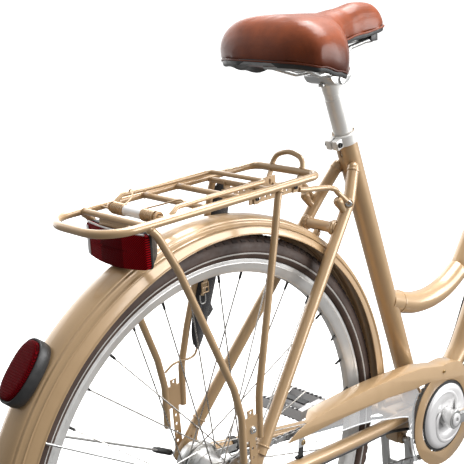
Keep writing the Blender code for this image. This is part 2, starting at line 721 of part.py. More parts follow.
def rack_frame():
    """The welded carrier: loop, cross tubes, hoop, legs, pivot eyes and strip tabs."""
    solids = [tube(rack_loop(), RACK_TUBE, 8, closed=True)]
    for place in CROSS_PLACES:
        drop = 0.0 if place < 0.05 else 0.0035
        solids.append(rod((place, -RACK_HALF, RACK_HEIGHT - drop), (place, RACK_HALF, RACK_HEIGHT - drop), CROSS_TUBE, 6))
    rear, front = rack_legs()
    for turn in (Vector, mirror):
        solids.append(tube([turn(Vector(point)) for point in rear], LEG_RADIUS, 6))
        solids.append(tube([turn(Vector(point)) for point in front], LEG_RADIUS, 6))
    solids += [leg_strap(1), leg_strap(-1)]
    hoop_x = RACK_FRONT + 0.003
    foot = RACK_HEIGHT + RACK_TUBE - 0.002
    hoop = smooth_path([(hoop_x, 0.026, foot), (hoop_x + 0.003, 0.0255, foot + 0.012), (hoop_x + 0.006, 0.018, foot + 0.024),
                        (hoop_x + 0.007, 0.0, foot + 0.029), (hoop_x + 0.006, -0.018, foot + 0.024),
                        (hoop_x + 0.003, -0.0255, foot + 0.012), (hoop_x, -0.026, foot)], 12)
    solids.append(tube(hoop, 0.0034, 6))
    outside = STRIP_HALF + STRIP_THICKNESS / 2 + TOUCH
    bend = RACK_FRONT - 0.020
    for side in (1, -1):
        low, high = sorted((side * outside, side * (outside + 0.002)))
        solids.append(prism([(RACK_FRONT - 0.006, 0.413), (RACK_FRONT + 0.004, 0.413), (bend + 0.010, 0.388),
                             (bend, 0.388)], low, high))
        solids.append(prism([(CROSS_PLACES[3] - 0.006, 0.413), (CROSS_PLACES[3] + 0.006, 0.413),
                             (CROSS_PLACES[3] + 0.005, 0.388), (CROSS_PLACES[3] - 0.005, 0.388)], low, high))
        eye_y = side * EYE_PLACE
        behind = CLAMP_PIVOT - CLAMP_ROD - 0.0022
        arm = rod((behind, eye_y - side * 0.001, RACK_HEIGHT), (behind, side * (RACK_HALF - 0.002), RACK_HEIGHT), 0.0017, 6)
        ring = turned([(CLAMP_ROD + TOUCH, -0.0011), (CLAMP_ROD + 0.0034, -0.0011), (CLAMP_ROD + 0.0034, 0.0011),
                       (CLAMP_ROD + TOUCH, 0.0011)], (CLAMP_PIVOT, eye_y, RACK_HEIGHT), steps=12)
        solids.append(union(ring, arm))
    bracket = prism([(CROSS_PLACES[0] - 0.0012, RACK_HEIGHT), (CROSS_PLACES[0] + 0.0012, RACK_HEIGHT),
                     (CROSS_PLACES[0] + 0.0012, TAIL_TOP + 0.004), (CROSS_PLACES[0] - 0.0012, TAIL_TOP + 0.004)],
                    -0.028, 0.028)
    shelf = block((CROSS_PLACES[0] + 0.006, 0, TAIL_TOP + TOUCH + 0.0020), (0.016, 0.056, 0.004))
    solids += [bracket, shelf]
    return union(solids[0], *solids[1:])


def rack_strut(side):
    """Perforated strip under the carrier with its rod to the seat stay."""
    half = STRIP_THICKNESS / 2
    y = side * STRIP_HALF
    low, high = 0.3885, 0.4035
    strip = prism([(0.070, low), (RACK_FRONT + 0.003, low), (RACK_FRONT + 0.003, high), (0.070, high)], y - half, y + half)
    slots = []
    for x in (0.102, 0.113, 0.134, 0.145):
        slots.append(prism([(x - 0.002, 0.3925), (x + 0.002, 0.3925), (x + 0.002, 0.3995), (x - 0.002, 0.3995)],
                           y - 0.01, y + 0.01))
    eye = STRUT_LUG + Y_AXIS * (STAY_RADIUS + 0.002 + TOUCH + 0.0035)
    turn = Vector if side > 0 else mirror
    start = Vector((RACK_FRONT + 0.0005, STRIP_HALF, 0.396))
    path = smooth_path([turn(start), turn(Vector((0.190, STRIP_HALF, 0.396))), turn(Vector((0.222, STRIP_HALF + 0.004, 0.394))),
                        turn(Vector((0.252, eye.y - 0.004, 0.382))), turn(eye)], 8)
    arm = tube(path, 0.0034, 6)
    pad = rod(turn(eye - Y_AXIS * 0.0035), turn(eye + Y_AXIS * 0.0035), 0.0060, 8)
    return union(cut(strip, *slots), arm, pad)


def spring_clamp():
    """The sprung rod flap of the carrier, one bent rod from pivot to pivot."""
    over = RACK_HEIGHT + RACK_TUBE + CLAMP_ROD + TOUCH + 0.0008
    elbow = RACK_HALF - RACK_TUBE - CLAMP_ROD - TOUCH * 2
    pivot = [Vector((CLAMP_PIVOT, EYE_PLACE - 0.010, RACK_HEIGHT)), Vector((CLAMP_PIVOT, elbow, RACK_HEIGHT)),
             Vector((CLAMP_PIVOT + 0.011, elbow, RACK_HEIGHT + 0.001)), Vector((-0.084, elbow, over))]
    far = [Vector((-0.084, elbow, over)), Vector((-0.030, 0.0530, over)), Vector((0.076, 0.0545, over)),
           Vector((0.076, 0.0200, over))]
    left = rounded(pivot, 0.0026, 2)[:-1] + rounded(far, 0.009, 3)
    return tube(left + mirrored(left)[::-1], CLAMP_ROD, 6, closed=True)


def coil_points():
    """Centre line of the left clamp spring, with a tail that hooks over the clamp's arm."""
    per_turn = 8
    start = SLEEVE_HALF + COIL_WIRE + TOUCH
    points = []
    for index in range(COIL_TURNS * per_turn + 1):
        angle = math.tau * index / per_turn + math.pi / 2
        y = start + COIL_LENGTH * index / (COIL_TURNS * per_turn)
        points.append(Vector((CLAMP_PIVOT + COIL_RADIUS * math.cos(angle), y, RACK_HEIGHT + COIL_RADIUS * math.sin(angle))))
    over = RACK_HEIGHT + RACK_TUBE + CLAMP_ROD * 2 + COIL_WIRE + 0.0024
    tail = [Vector((-0.072, 0.0560, over - 0.004)), Vector((-0.072, 0.0510, over)), Vector((-0.075, 0.0440, over - 0.001)),
            Vector((-0.088, 0.0300, RACK_HEIGHT + COIL_RADIUS + 0.003))]
    return tail + points


def least_gap(points, radius, skip):
    """The least gap between turns of a wire, measured on its centre points."""
    least = math.inf
    for index, point in enumerate(points):
        for other in points[index + skip:]:
            least = min(least, (point - other).length - 2 * radius)
    return least


def clamp_spring(side):
    """One torsion spring wound round the clamp's rod, as a curve with a round bevel."""
    points = coil_points() if side > 0 else mirrored(coil_points())
    return tube(points, COIL_WIRE, 5)


def clamp_sleeve():
    """Clear sleeve that spaces the two springs."""
    bore, outer = CLAMP_ROD + TOUCH, 0.0058
    return turned([(bore, -SLEEVE_HALF), (outer, -SLEEVE_HALF), (outer, SLEEVE_HALF), (bore, SLEEVE_HALF)],
                  (CLAMP_PIVOT, 0, RACK_HEIGHT), steps=12)


def tail_light():
    """Housing and wide red lens under the carrier's rear end."""
    back, front = -TAIL_BACK, -TAIL_BACK + TAIL_DEPTH
    low = TAIL_TOP - TAIL_HEIGHT
    rings = []
    for x, half, rise in ((back + 0.008, TAIL_HALF, 0.0), (back + 0.011, TAIL_HALF - 0.0006, 0.001),
                          (back + 0.0175, TAIL_HALF - 0.0045, 0.0035), (front, TAIL_HALF - 0.010, 0.0105)):
        rings.append(rounded_face(x, half, low + rise, TAIL_TOP, 0.005))
    lens = [rounded_face(x, half, low + inset, TAIL_TOP - inset, 0.005)
            for x, half, inset in ((back + 0.008 - TOUCH, TAIL_HALF - 0.0006, 0.0006), (back + 0.0015, TAIL_HALF - 0.0006, 0.0006),
                                   (back, TAIL_HALF - 0.002, 0.002))]
    return loft(rings), loft(lens)


def rounded_face(x, half, low, high, corner):
    """A rounded rectangle that faces along the bicycle."""
    points = []
    for y, z, start in ((half - corner, high - corner, 0), (-half + corner, high - corner, 90),
                        (-half + corner, low + corner, 180), (half - corner, low + corner, 270)):
        for index in range(3):
            angle = math.radians(start + 45 * index)
            points.append(Vector((x, y + corner * math.cos(angle), z + corner * math.sin(angle))))
    return points


def loft(rings):
    """Joins rings of equal counts into one capped solid."""
    bm = bmesh.new()
    made = [[bm.verts.new(point) for point in ring] for ring in rings]
    for first, second in zip(made, made[1:]):
        for index in range(len(first)):
            after = (index + 1) % len(first)
            bm.faces.new((first[index], first[after], second[after], second[index]))
    bm.faces.new(list(reversed(made[0])))
    bm.faces.new(made[-1])
    return bm


def pouch():
    """Slim fabric holster on the left side, from the carrier down to its strapped tip."""
    top = RACK_HEIGHT - RACK_TUBE - TOUCH
    levels = [(top, 0.112, 0.0665, 0.010, 0.0065), (0.392, 0.110, 0.0690, 0.017, 0.011), (0.350, 0.101, 0.0700, 0.021, 0.014),
              (0.300, 0.080, 0.0700, 0.020, 0.014), (0.250, 0.063, 0.0700, 0.017, 0.012), (0.205, 0.050, 0.0700, 0.013, 0.010),
              (0.175, 0.046, 0.0700, 0.008, 0.007), (0.158, 0.0445, 0.0700, 0.004, 0.004)]
    rings = []
    for z, x, y, half_x, half_y in levels:
        rings.append([Vector((x + half_x * math.cos(math.tau * index / 12), y + half_y * math.sin(math.tau * index / 12), z))
                      for index in range(12)])
    return loft(rings)


def saddle_half_width(share):
    """Half width of the saddle from tail (0) to nose (1)."""
    wing = math.exp(-((share - 0.17) / 0.235) ** 4)
    tail = min(1.0, 0.55 + 5.2 * share)
    nose = 0.0225 * math.sqrt(max(0.0, 1 - max(0.0, (share - 0.90) / 0.10) ** 2))
    return max(nose, 0.0) + (SADDLE_HALF - 0.0225) * wing * math.sqrt(max(0.0, tail))


def saddle_height(share):
    """Height of the saddle's crown line from tail to nose."""
    dip = 0.0085 * math.sin(math.pi * min(1.0, max(0.0, (share - 0.15) / 0.75)))
    drop = 0.020 * max(0.0, (share - 0.93) / 0.07) ** 2 + 0.012 * max(0.0, (0.12 - share) / 0.12) ** 2
    return SADDLE_TOP - 0.002 - dip - drop


def saddle_skirt(share):
    """Height of the saddle's lower edge from tail to nose."""
    wing = math.exp(-((share - 0.22) / 0.20) ** 2)
    return SADDLE_TOP - 0.052 - 0.020 * wing + 0.008 * share


def saddle_cover():
    """Padded cover: raised crown, drawn-in sides, wings at the back and a slim nose."""
    rings = []
    for share in SADDLE_STATIONS:
        x = SADDLE_TAIL + (SADDLE_NOSE - SADDLE_TAIL) * share
        end = 0.52 if share in (0.0, 1.0) else 1.0
        half = max(saddle_half_width(share), 0.006) * end
        high = saddle_height(share) - (0.012 if share in (0.0, 1.0) else 0.0)
        low = saddle_skirt(share) + (0.010 if share in (0.0, 1.0) else 0.0)
        ring = []
        for index in range(13):
            angle = math.pi * index / 12
            y = half * math.copysign(abs(math.cos(angle)) ** 0.62, math.cos(angle))
            z = low + (high - low) * math.sin(angle) ** 0.72
            tuck = 0.92 if index in (0, 12) else 1.0
            ring.append(Vector((x, y * tuck, z)))
        for y_share in (-0.6, 0.0, 0.6):
            ring.append(Vector((x, half * y_share, low + 0.004)))
        rings.append(ring)
    return loft(rings)


def saddle_base():
    """Moulded black shell that closes the saddle from below."""
    inner = SADDLE_STATIONS[1:-1]
    rings = []
    for share in inner:
        x = SADDLE_TAIL + (SADDLE_NOSE - SADDLE_TAIL) * share
        half = saddle_half_width(share) * (0.80 if share in (inner[0], inner[-1]) else 0.93)
        top = saddle_skirt(share) + 0.0034
        rim = saddle_skirt(share) - 0.0045
        ring = [(half, rim + 0.004), (half * 0.6, top - 0.001), (0, top - 0.001), (-half * 0.6, top - 0.001),
                (-half, rim + 0.004), (-half * 0.97, rim), (-half * 0.55, rim - 0.002), (0, rim - 0.002),
                (half * 0.55, rim - 0.002), (half * 0.97, rim)]
        rings.append([Vector((x, y, z)) for y, z in ring])
    return loft(rings)


def post_point(height):
    """A point on the seat post's axis at a height above the rear axle."""
    return seat_axis((height + BB_DROP) / math.sin(SEAT_ANGLE))


def saddle_rails():
    """Two rails under the saddle, joined across at the nose and held at the back."""
    under = 0.545
    middle = post_point(under).x
    tail, nose = SADDLE_TAIL + 0.050, SADDLE_NOSE - 0.035
    high_back = saddle_skirt(0.18) - 0.0068
    high_nose = saddle_skirt(0.86) - 0.0068
    left = [Vector((tail, 0.034, high_back - RAIL_RADIUS)), Vector((middle - 0.055, RAIL_HALF, under)),
            Vector((middle + 0.050, RAIL_HALF, under)), Vector((nose - 0.020, 0.012, high_nose - RAIL_RADIUS)),
            Vector((nose, 0.012, high_nose - RAIL_RADIUS))]
    path = rounded(left + mirrored(left)[::-1], 0.018, 2)
    back = rod((tail, -0.036, high_back - RAIL_RADIUS), (tail, 0.036, high_back - RAIL_RADIUS), RAIL_RADIUS, 6)
    return union(tube(path, RAIL_RADIUS, 6), back)


def seat_post():
    """Post with the two-bolt clamp head that grips the saddle rails."""
    under = 0.545
    low = SEAT_TOP - SEAT_UP * 0.200
    top = post_point(under - 0.016)
    shaft = rod(low, top, SEAT_POST_RADIUS, 14)
    middle = post_point(under)
    head = block(middle - Vector((0, 0, 0.0085)), (0.046, 0.056, 0.009))
    cap = block(middle + Vector((0, 0, 0.0080)), (0.040, 0.056, 0.007))
    core = block(middle, (0.034, 0.030, 0.022))
    return union(head, shaft, cap, core)


def tyre(centre):
    """Tyre with its bead between the rim's flanges."""
    mid = WHEEL_RADIUS - TYRE_WIDTH / 2
    half = TYRE_WIDTH / 2
    seat = RIM_RADIUS + TOUCH
    bead = RIM_WIDTH / 2 - RIM_WALL - TOUCH
    low = RIM_RADIUS - BEAD_DEPTH
    reach = math.acos((seat - mid) / half)
    crown = [(mid + half * math.cos(reach * share), half * math.sin(reach * share))
             for share in (-1, -0.66, -0.3, 0, 0.3, 0.66, 1)]
    profile = [(low, -bead), (seat, -bead), *crown, (seat, bead), (low, bead)]
    return turned(profile, centre, steps=WHEEL_STEPS)


def rim_profile():
    """Section of the box rim, from flange to flange and round the spoke bed."""
    wide = RIM_WIDTH / 2
    inside = wide - RIM_WALL
    floor = RIM_RADIUS - BEAD_DEPTH - TOUCH
    bed = RIM_RADIUS - RIM_DEPTH
    return [(RIM_RADIUS, -wide), (RIM_RADIUS, -inside), (floor, -inside), (floor, inside), (RIM_RADIUS, inside),
            (RIM_RADIUS, wide), (bed, RIM_BED_HALF), (bed, -RIM_BED_HALF)]


def spoke(centre, index):
    """One crossed spoke from the hub flange to the rim."""
    rim_angle = math.tau * (index + 0.5) / SPOKES
    side = 1 if index % 2 else -1
    lead = 1 if (index // 2) % 2 else -1
    hub_angle = rim_angle + lead * SPOKE_SWEEP
    flange = FLANGE_OFFSET + lead * (FLANGE_THICKNESS / 2 + SPOKE_RADIUS + TOUCH) + (0.0016 if lead > 0 else 0.0)
    bed = RIM_RADIUS - RIM_DEPTH
    start = Vector((math.cos(hub_angle) * FLANGE_HOLES, side * flange, math.sin(hub_angle) * FLANGE_HOLES))
    stop = Vector((math.cos(rim_angle) * (bed + 0.002), side * 0.0025, math.sin(rim_angle) * (bed + 0.002)))
    return rod(Vector(centre) + start, Vector(centre) + stop, SPOKE_RADIUS * 1.15, 3)


def laced_rim(centre):
    """Rim with all its spokes."""
    body = turned(rim_profile(), centre, steps=WHEEL_STEPS)
    fan = bmesh.new()
    for index in range(SPOKES):
        add(fan, spoke(centre, index))
    return union(body, fan)


def add(target, extra):
    """Copies one bmesh into another as a separate shell."""
    data = bpy.data.meshes.new("part")
    extra.to_mesh(data)
    extra.free()
    target.from_mesh(data)
    bpy.data.meshes.remove(data)


def hub(centre):
    """Hub shell with two spoke flanges, bored for its axle."""
    bore = AXLE_RADIUS + RUN + 0.003
    shell, flange = HUB_SHELL_RADIUS, FLANGE_HOLES + 0.004
    inner, outer = FLANGE_OFFSET - FLANGE_THICKNESS / 2, FLANGE_OFFSET + FLANGE_THICKNESS / 2
    half = [(bore, 0), (shell, 0), (shell, inner - 0.004), (shell + 0.002, inner), (flange, inner), (flange, outer),
            (0.0150, outer), (0.0135, HUB_HALF), (bore, HUB_HALF)]
    profile = [(r, -y) for r, y in reversed(half[2:-1])] + half[2:-1]
    profile = [(bore, -HUB_HALF), *profile, (bore, HUB_HALF)]
    return turned(profile, centre, steps=12)


def axle(centre, inside, thickness, strap):
    """Axle with its cones, inner nuts and the outer nuts."""
    sleeve = AXLE_RADIUS + 0.003
    plate_in, plate_out = inside - TOUCH, inside + thickness + TOUCH
    half = [(sleeve, 0), (sleeve, plate_in), (AXLE_RADIUS, plate_in), (AXLE_RADIUS, plate_out), (0.0088, plate_out)]
    if strap:
        strap_in, strap_out = LEG_HALF - 0.0010 - TOUCH, LEG_HALF + 0.0010 + TOUCH
        half += [(0.0088, strap_in), (AXLE_RADIUS, strap_in), (AXLE_RADIUS, strap_out), (0.0088, strap_out),
                 (0.0088, strap_out + 0.006), (0.0048, strap_out + 0.009)]
    else:
        half += [(0.0088, plate_out + 0.007), (0.0048, plate_out + 0.010)]
    profile = [(r, -y) for r, y in reversed(half[1:])] + half[1:]
    return turned(profile, centre, steps=8, ring=False)


def brake_drum(centre, low, high, arm_end, clamp_axis, clamp_bore):
    """Drum brake with its cooling rim and the reaction arm that a band holds to the frame."""
    bore = AXLE_RADIUS + 0.003 + TOUCH
    centre = Vector(centre)
    side = turned([(bore, low), (0.030, low), (0.034, low + 0.003), (0.034, low + 0.006), (0.031, low + 0.008),
                   (0.031, high - 0.004), (0.024, high), (bore, high)], centre, steps=14)
    arm_end = Vector(arm_end)
    start = centre + Vector((0, (low + high) / 2 + 0.003, 0)) + (arm_end - centre).normalized() * 0.022
    start.y = arm_end.y
    arm = sweep([start, arm_end], [(-0.0012, -0.006), (0.0012, -0.006), (0.0012, 0.006), (-0.0012, 0.006)],
                up=Vector((0, 0, 1)))
    place, run = clamp_axis
    band = rod(place - run * 0.005, place + run * 0.005, clamp_bore + 0.002, 12)
    body = union(side, arm, band)
    return cut(body, rod(place - run * 0.03, place + run * 0.03, clamp_bore, 12))


def rear_brake():
    """Rear drum brake, held by a band on the left chainstay."""
    place = chainstay_point(0.090)
    run = (CHAINSTAY_HEAD - CHAINSTAY_FOOT).normalized()
    end = Vector((place.x - 0.001, place.y - CHAINSTAY_RADIUS - 0.0024, place.z))
    return brake_drum((0, 0, 0), HUB_HALF + RUN, 0.056, end, (place, run), CHAINSTAY_RADIUS + 0.0007)


CROWN_RADIUS = 0.0135
CROWN_DROP = 0.008
FORK_PLATE = 0.050
BLADE_FOOT = FRONT_AXLE + Vector((-0.006, FORK_PLATE + 0.0045, 0.026))


def blade_path():
    """Centre line of the left fork blade, curved forward towards the axle."""
    crown = steer_axis(CROWN_RISE - 0.012)
    out = Vector((0, 0.046, 0))
    return smooth_path([crown + out, steer_axis(CROWN_RISE - 0.120) + Vector((0, 0.050, 0)),
                        steer_axis(0.140) + Vector((0.004, 0.0530, 0)), steer_axis(0.070) + Vector((0.018, 0.0545, 0)),
                        BLADE_FOOT], 9)


def front_brake():
    """Front drum brake, held by a band on the left fork blade."""
    path = blade_path()
    place = path[-3]
    run = (path[-2] - path[-4]).normalized()
    radius = 0.0108
    end = Vector((place.x, place.y - radius - 0.0024, place.z))
    return brake_drum(FRONT_AXLE, HUB_HALF + RUN, FORK_PLATE - 0.0070, end, (place, run), radius + TOUCH)


def fork():
    """Fork: steerer, crown, two raked blades and slotted wheel plates, with the lock nut on top."""
    path = blade_path()
    sizes = [1.0 - 0.36 * (index / (len(path) - 1)) ** 1.5 for index in range(len(path))]
    race = CROWN_RISE + 0.012
    top = HEAD_HIGH + TOUCH + CUP_HEIGHT + TOUCH
    solids = [
        rod(steer_axis(CROWN_RISE - 0.006), steer_axis(top + 0.012), STEERER_RADIUS, 14),
        rod(steer_axis(CROWN_RISE - 0.004), steer_axis(race), HEAD_TUBE_RADIUS, 14),
        rod(steer_axis(top), steer_axis(top + 0.010), HEAD_TUBE_RADIUS - 0.002, 8),
        tube([steer_axis(CROWN_RISE - 0.018) - Y_AXIS * 0.048, steer_axis(CROWN_RISE - 0.010) - Y_AXIS * 0.030,
              steer_axis(CROWN_RISE - CROWN_DROP), steer_axis(CROWN_RISE - 0.010) + Y_AXIS * 0.030,
              steer_axis(CROWN_RISE - 0.018) + Y_AXIS * 0.048], CROWN_RADIUS, 10),
        tube(path, 0.0130, 8, sizes=sizes), tube(mirrored(path), 0.0130, 8, sizes=sizes),
    ]
    plate = [(-0.014, 0.036), (0.004, 0.034), (0.013, 0.012), (0.013, -0.004), (0.008, -0.014), (-0.008, -0.014),
             (-0.024, 0.000), (-0.026, 0.012)]
    outline = [(WHEELBASE + x, z) for x, z in plate]
    slot_half = AXLE_RADIUS + TOUCH
    slot = [(WHEELBASE + x, z) for x, z in arc((0, 0), slot_half, 0, math.pi, 6)]
    slot += [(WHEELBASE - slot_half, -0.05), (WHEELBASE + slot_half, -0.05)]
    for low, high in ((FORK_PLATE, FORK_PLATE + 0.005), (-FORK_PLATE - 0.005, -FORK_PLATE)):
        solids.append(cut(prism(outline, low, high), prism(slot, low - 0.01, high + 0.01)))
    body = union(solids[0], *solids[1:])
    return cut(body, rod(steer_axis(top - 0.070), steer_axis(top + 0.05), BAR_RADIUS + TOUCH, 14))


def bar_centre():
    """Centre of the handlebar in the stem's clamp."""
    lift = (BAR_RISE - STEER_FOOT.z) / STEER_UP.z
    return steer_axis(lift) + Vector((STEM_REACH, 0, 0))


def bar_points():
    """Left half of the handlebar's centre line: up, out and back to the grip."""
    centre = bar_centre()
    back = Vector((-math.cos(BAR_SWEEP), math.sin(BAR_SWEEP), -0.05)).normalized()
    grip_end = centre + Vector((-0.215, BAR_HALF, 0.050))
    grip_start = grip_end - back * (GRIP_LENGTH + SHIFT_LENGTH + 0.062)
    return [centre, centre + Vector((0, 0.030, 0)), centre + Vector((0, 0.056, 0.001)), centre + Vector((0.010, 0.100, 0.018)),
            centre + Vector((0.012, 0.165, 0.052)), grip_start + Vector((0.026, -0.030, 0.003)), grip_start, grip_end], back


def handlebar():
    """Swept handlebar, fatter in the stem's clamp."""
    points, back = bar_points()
    curve = smooth_path(points[1:-1], 10)
    left = curve + [points[-1]]
    return tube(mirrored(left)[::-1] + left, BAR_RADIUS, 10)


def on_bar(side, from_end):
    """A point on the straight end of the bar and the direction to the bar's end."""
    points, back = bar_points()
    place = points[-1] - back * from_end
    return (place, back) if side > 0 else (mirror(place), mirror(back))


def grip(side):
    """Rubber grip with a closed end and a flange."""
    place, out = on_bar(side, GRIP_LENGTH)
    bore = BAR_RADIUS + TOUCH * 2
    outer = GRIP_RADIUS
    end = GRIP_LENGTH + TOUCH
    return turned([(bore, 0), (outer + 0.003, 0), (outer + 0.003, 0.003), (outer, 0.004), (outer + 0.0008, 0.070),
                   (outer, end + 0.001), (outer - 0.004, end + 0.004), (0.001, end + 0.0045), (0.001, end), (bore, end)],
                  place, out, steps=12)


def shift_grip():
    """Twist shifter inboard of the right grip."""
    place, out = on_bar(-1, GRIP_LENGTH + TOUCH + SHIFT_LENGTH)
    bore = BAR_RADIUS + TOUCH
    return turned([(bore, 0), (0.0185, 0), (0.0185, 0.006), (0.0165, 0.009), (0.0165, SHIFT_LENGTH),
                   (bore, SHIFT_LENGTH)], place, out, steps=14)


LEVER_GAP = 0.034


def lever_frame(side):
    """Place of a brake lever's clamp, the bar's direction there and the way forward from it."""
    inboard = GRIP_LENGTH + TOUCH + SHIFT_LENGTH + 0.016
    place, out = on_bar(side, inboard)
    across = Vector((0, 0, 1)).cross(out).normalized() * (1 if side > 0 else -1)
    forward = across if across.y > 0 else -across
    forward = (forward if side > 0 else -forward) + Vector((0, 0, -0.45))
    return place, out, forward.normalized()


def lever_clamp(side):
    """Bar clamp with the fork that holds the lever's pivot."""
    place, out, ahead = lever_frame(side)
    bore = BAR_RADIUS + TOUCH * 2
    collar = rod(place - out * 0.009, place + out * 0.009, bore + 0.005, 12)
    pin_axis = out.cross(ahead).normalized()
    pivot = place + ahead * LEVER_GAP
    arms = []
    for sign in (1, -1):
        base = place + ahead * (bore + 0.002) + pin_axis * sign * 0.0075
        arms.append(sweep([base, pivot + ahead * 0.006 + pin_axis * sign * 0.0075],
                          [(-0.007, -0.0018), (0.007, -0.0018), (0.007, 0.0018), (-0.007, 0.0018)], up=pin_axis))
    body = union(collar, *arms)
    body = cut(body, rod(place - out * 0.03, place + out * 0.03, bore, 12))
    return union(body, rod(pivot - pin_axis * 0.0085, pivot + pin_axis * 0.0085, 0.0022, 8))


def brake_lever(side):
    """Lever blade with its pivot eye, curving along in front of the grip."""
    place, out, ahead = lever_frame(side)
    pin_axis = out.cross(ahead).normalized()
    pivot = place + ahead * LEVER_GAP
    eye = turned([(0.0022 + TOUCH, -0.0048), (0.0062, -0.0048), (0.0062, 0.0048), (0.0022 + TOUCH, 0.0048)], pivot,
                 pin_axis, steps=10)
    path = smooth_path([pivot + out * 0.0045, pivot + out * 0.030 + ahead * 0.010, pivot + out * 0.070 + ahead * 0.014,
                        pivot + out * 0.110 + ahead * 0.007, pivot + out * 0.128 + ahead * 0.010], 6)
    blade = sweep(path, [(-0.0028, -0.0046), (0.0028, -0.0046), (0.0028, 0.0046), (-0.0028, 0.0046)], up=pin_axis)
    body = union(eye, blade)
    return cut(body, rod(pivot - pin_axis * 0.02, pivot + pin_axis * 0.02, 0.0022 + TOUCH, 10)), pivot


def stem():
    """Quill stem: post in the steerer, curved neck and bar clamp."""
    top = HEAD_HIGH + TOUCH + CUP_HEIGHT + TOUCH + 0.012
    centre = bar_centre()
    turn = steer_axis((BAR_RISE - STEER_FOOT.z) / STEER_UP.z - 0.018)
    path = rounded([steer_axis(top - 0.060), turn, centre + Vector((-0.012, 0, -0.002))], 0.030, 4)
    neck = tube(path, BAR_RADIUS, 14)
    clamp = rod(centre - Y_AXIS * 0.022, centre + Y_AXIS * 0.022, BAR_RADIUS + 0.0055, 14)
    body = union(neck, clamp)
    straight = rod(centre - Y_AXIS * 0.06, centre + Y_AXIS * 0.06, BAR_RADIUS + TOUCH, 14)
    return cut(body, straight)


def headlight():
    """Headlight body on a bracket from the fork crown, and its lens."""
    crown = steer_axis(CROWN_RISE)
    centre = crown + Vector((0.078, 0, 0.062))
    ahead = Vector((1, 0, -0.06)).normalized()
    shell = turned([(0.004, -0.052), (0.020, -0.046), (0.029, -0.030), (0.034, -0.002), (0.034, 0.004)], centre, ahead,
                   steps=18, ring=False)
    forward = Vector((STEER_UP.z, 0, -STEER_UP.x))
    bracket = rounded([crown + STEER_UP * 0.004 + forward * (HEAD_TUBE_RADIUS + TOUCH), crown + Vector((0.038, 0, 0.012)),
                       centre + Vector((-0.016, 0, -0.028)), centre + Vector((-0.014, 0, -0.010))], 0.008, 2)
    arm = sweep(bracket, [(-0.009, -0.0012), (0.009, -0.0012), (0.009, 0.0012), (-0.009, 0.0012)], up=Vector((0.3, 0, 1)))
    lens = turned([(0.032, 0.004 + TOUCH), (0.032, 0.007), (0.024, 0.011), (0.010, 0.0128)], centre, ahead, steps=18,
                  ring=False)
    return union(shell, arm), lens


def front_guard():
    """Front mudguard with its crown tab and the wire stays to the fork ends."""
    shell = mudguard(FRONT_AXLE, FRONT_GUARD_FROM, FRONT_GUARD_TO, 20)
    lift = steer_axis(CROWN_RISE - CROWN_DROP - CROWN_RADIUS) - FRONT_AXLE
    tab = rod(FRONT_AXLE + lift.normalized() * (GUARD_RADIUS - 0.0014),
              FRONT_AXLE + lift.normalized() * (lift.length - TOUCH * 3), 0.006, 8)
    stays = []
    angle = math.radians(171)
    for turn in (Vector, mirror):
        foot = FRONT_AXLE + Vector((-0.020, FORK_PLATE + 0.005 + TOUCH + STAY_WIRE + 0.0032, 0.007))
        near = FRONT_AXLE + Vector((math.cos(angle) * 0.343, GUARD_HALF + 0.0004, math.sin(angle) * 0.343))
        stays.append(rod(turn(foot), turn(near), STAY_WIRE, 6))
        stays.append(rod(turn(foot - Y_AXIS * (STAY_WIRE + 0.0032)), turn(foot + Y_AXIS * 0.003), 0.0040, 8))
    return union(shell, tab, *stays)


def pitch_radius(teeth):
    """Radius on which a chain's pins lie round a toothed wheel."""
    return CHAIN_PITCH / (2 * math.sin(math.pi / teeth))


def toothed_wheel(centre, teeth, bore, half):
    """Flat toothed wheel with a bore, its teeth cut as tapered prisms."""
    radius = pitch_radius(teeth)
    valley, tip = radius - 0.0046, radius + 0.0022
    outline = []
    for index in range(teeth):
        for offset, reach in ((-0.5, valley), (0.0, tip)):
            angle = math.tau * (index + offset) / teeth
            outline.append((centre[0] + reach * math.cos(angle), centre[2] + reach * math.sin(angle)))
    body = prism(outline, centre[1] - half, centre[1] + half)
    return cut(body, turned([(bore, -0.01), (bore, 0.01)], centre, steps=14, ring=False))


def chainring():
    """Chainring with five round windows, carried on the right crank's boss."""
    centre = BB - Y_AXIS * CHAIN_LINE
    body = toothed_wheel(centre, CHAINRING_TEETH, 0.0170 + TOUCH, RING_THICKNESS / 2)
    windows = []
    for index in range(5):
        angle = math.tau * index / 5
        place = centre + Vector((math.cos(angle) * 0.044, 0, math.sin(angle) * 0.044))
        windows.append(turned([(0.0150, -0.01), (0.0150, 0.01)], place, steps=8, ring=False))
    return cut(body, *windows)


def sprocket():
    """Rear sprocket with its driver on the axle sleeve."""
    centre = Vector((0, -CHAIN_LINE, 0))
    bore = AXLE_RADIUS + 0.003 + RUN
    body = toothed_wheel(centre, SPROCKET_TEETH, bore, RING_THICKNESS / 2)
    boss = turned([(bore, -0.0072), (0.020, -0.0072), (0.022, -0.002), (0.022, 0.002), (0.019, 0.0085), (bore, 0.0085)],
                  centre, steps=14)
    return union(body, boss)


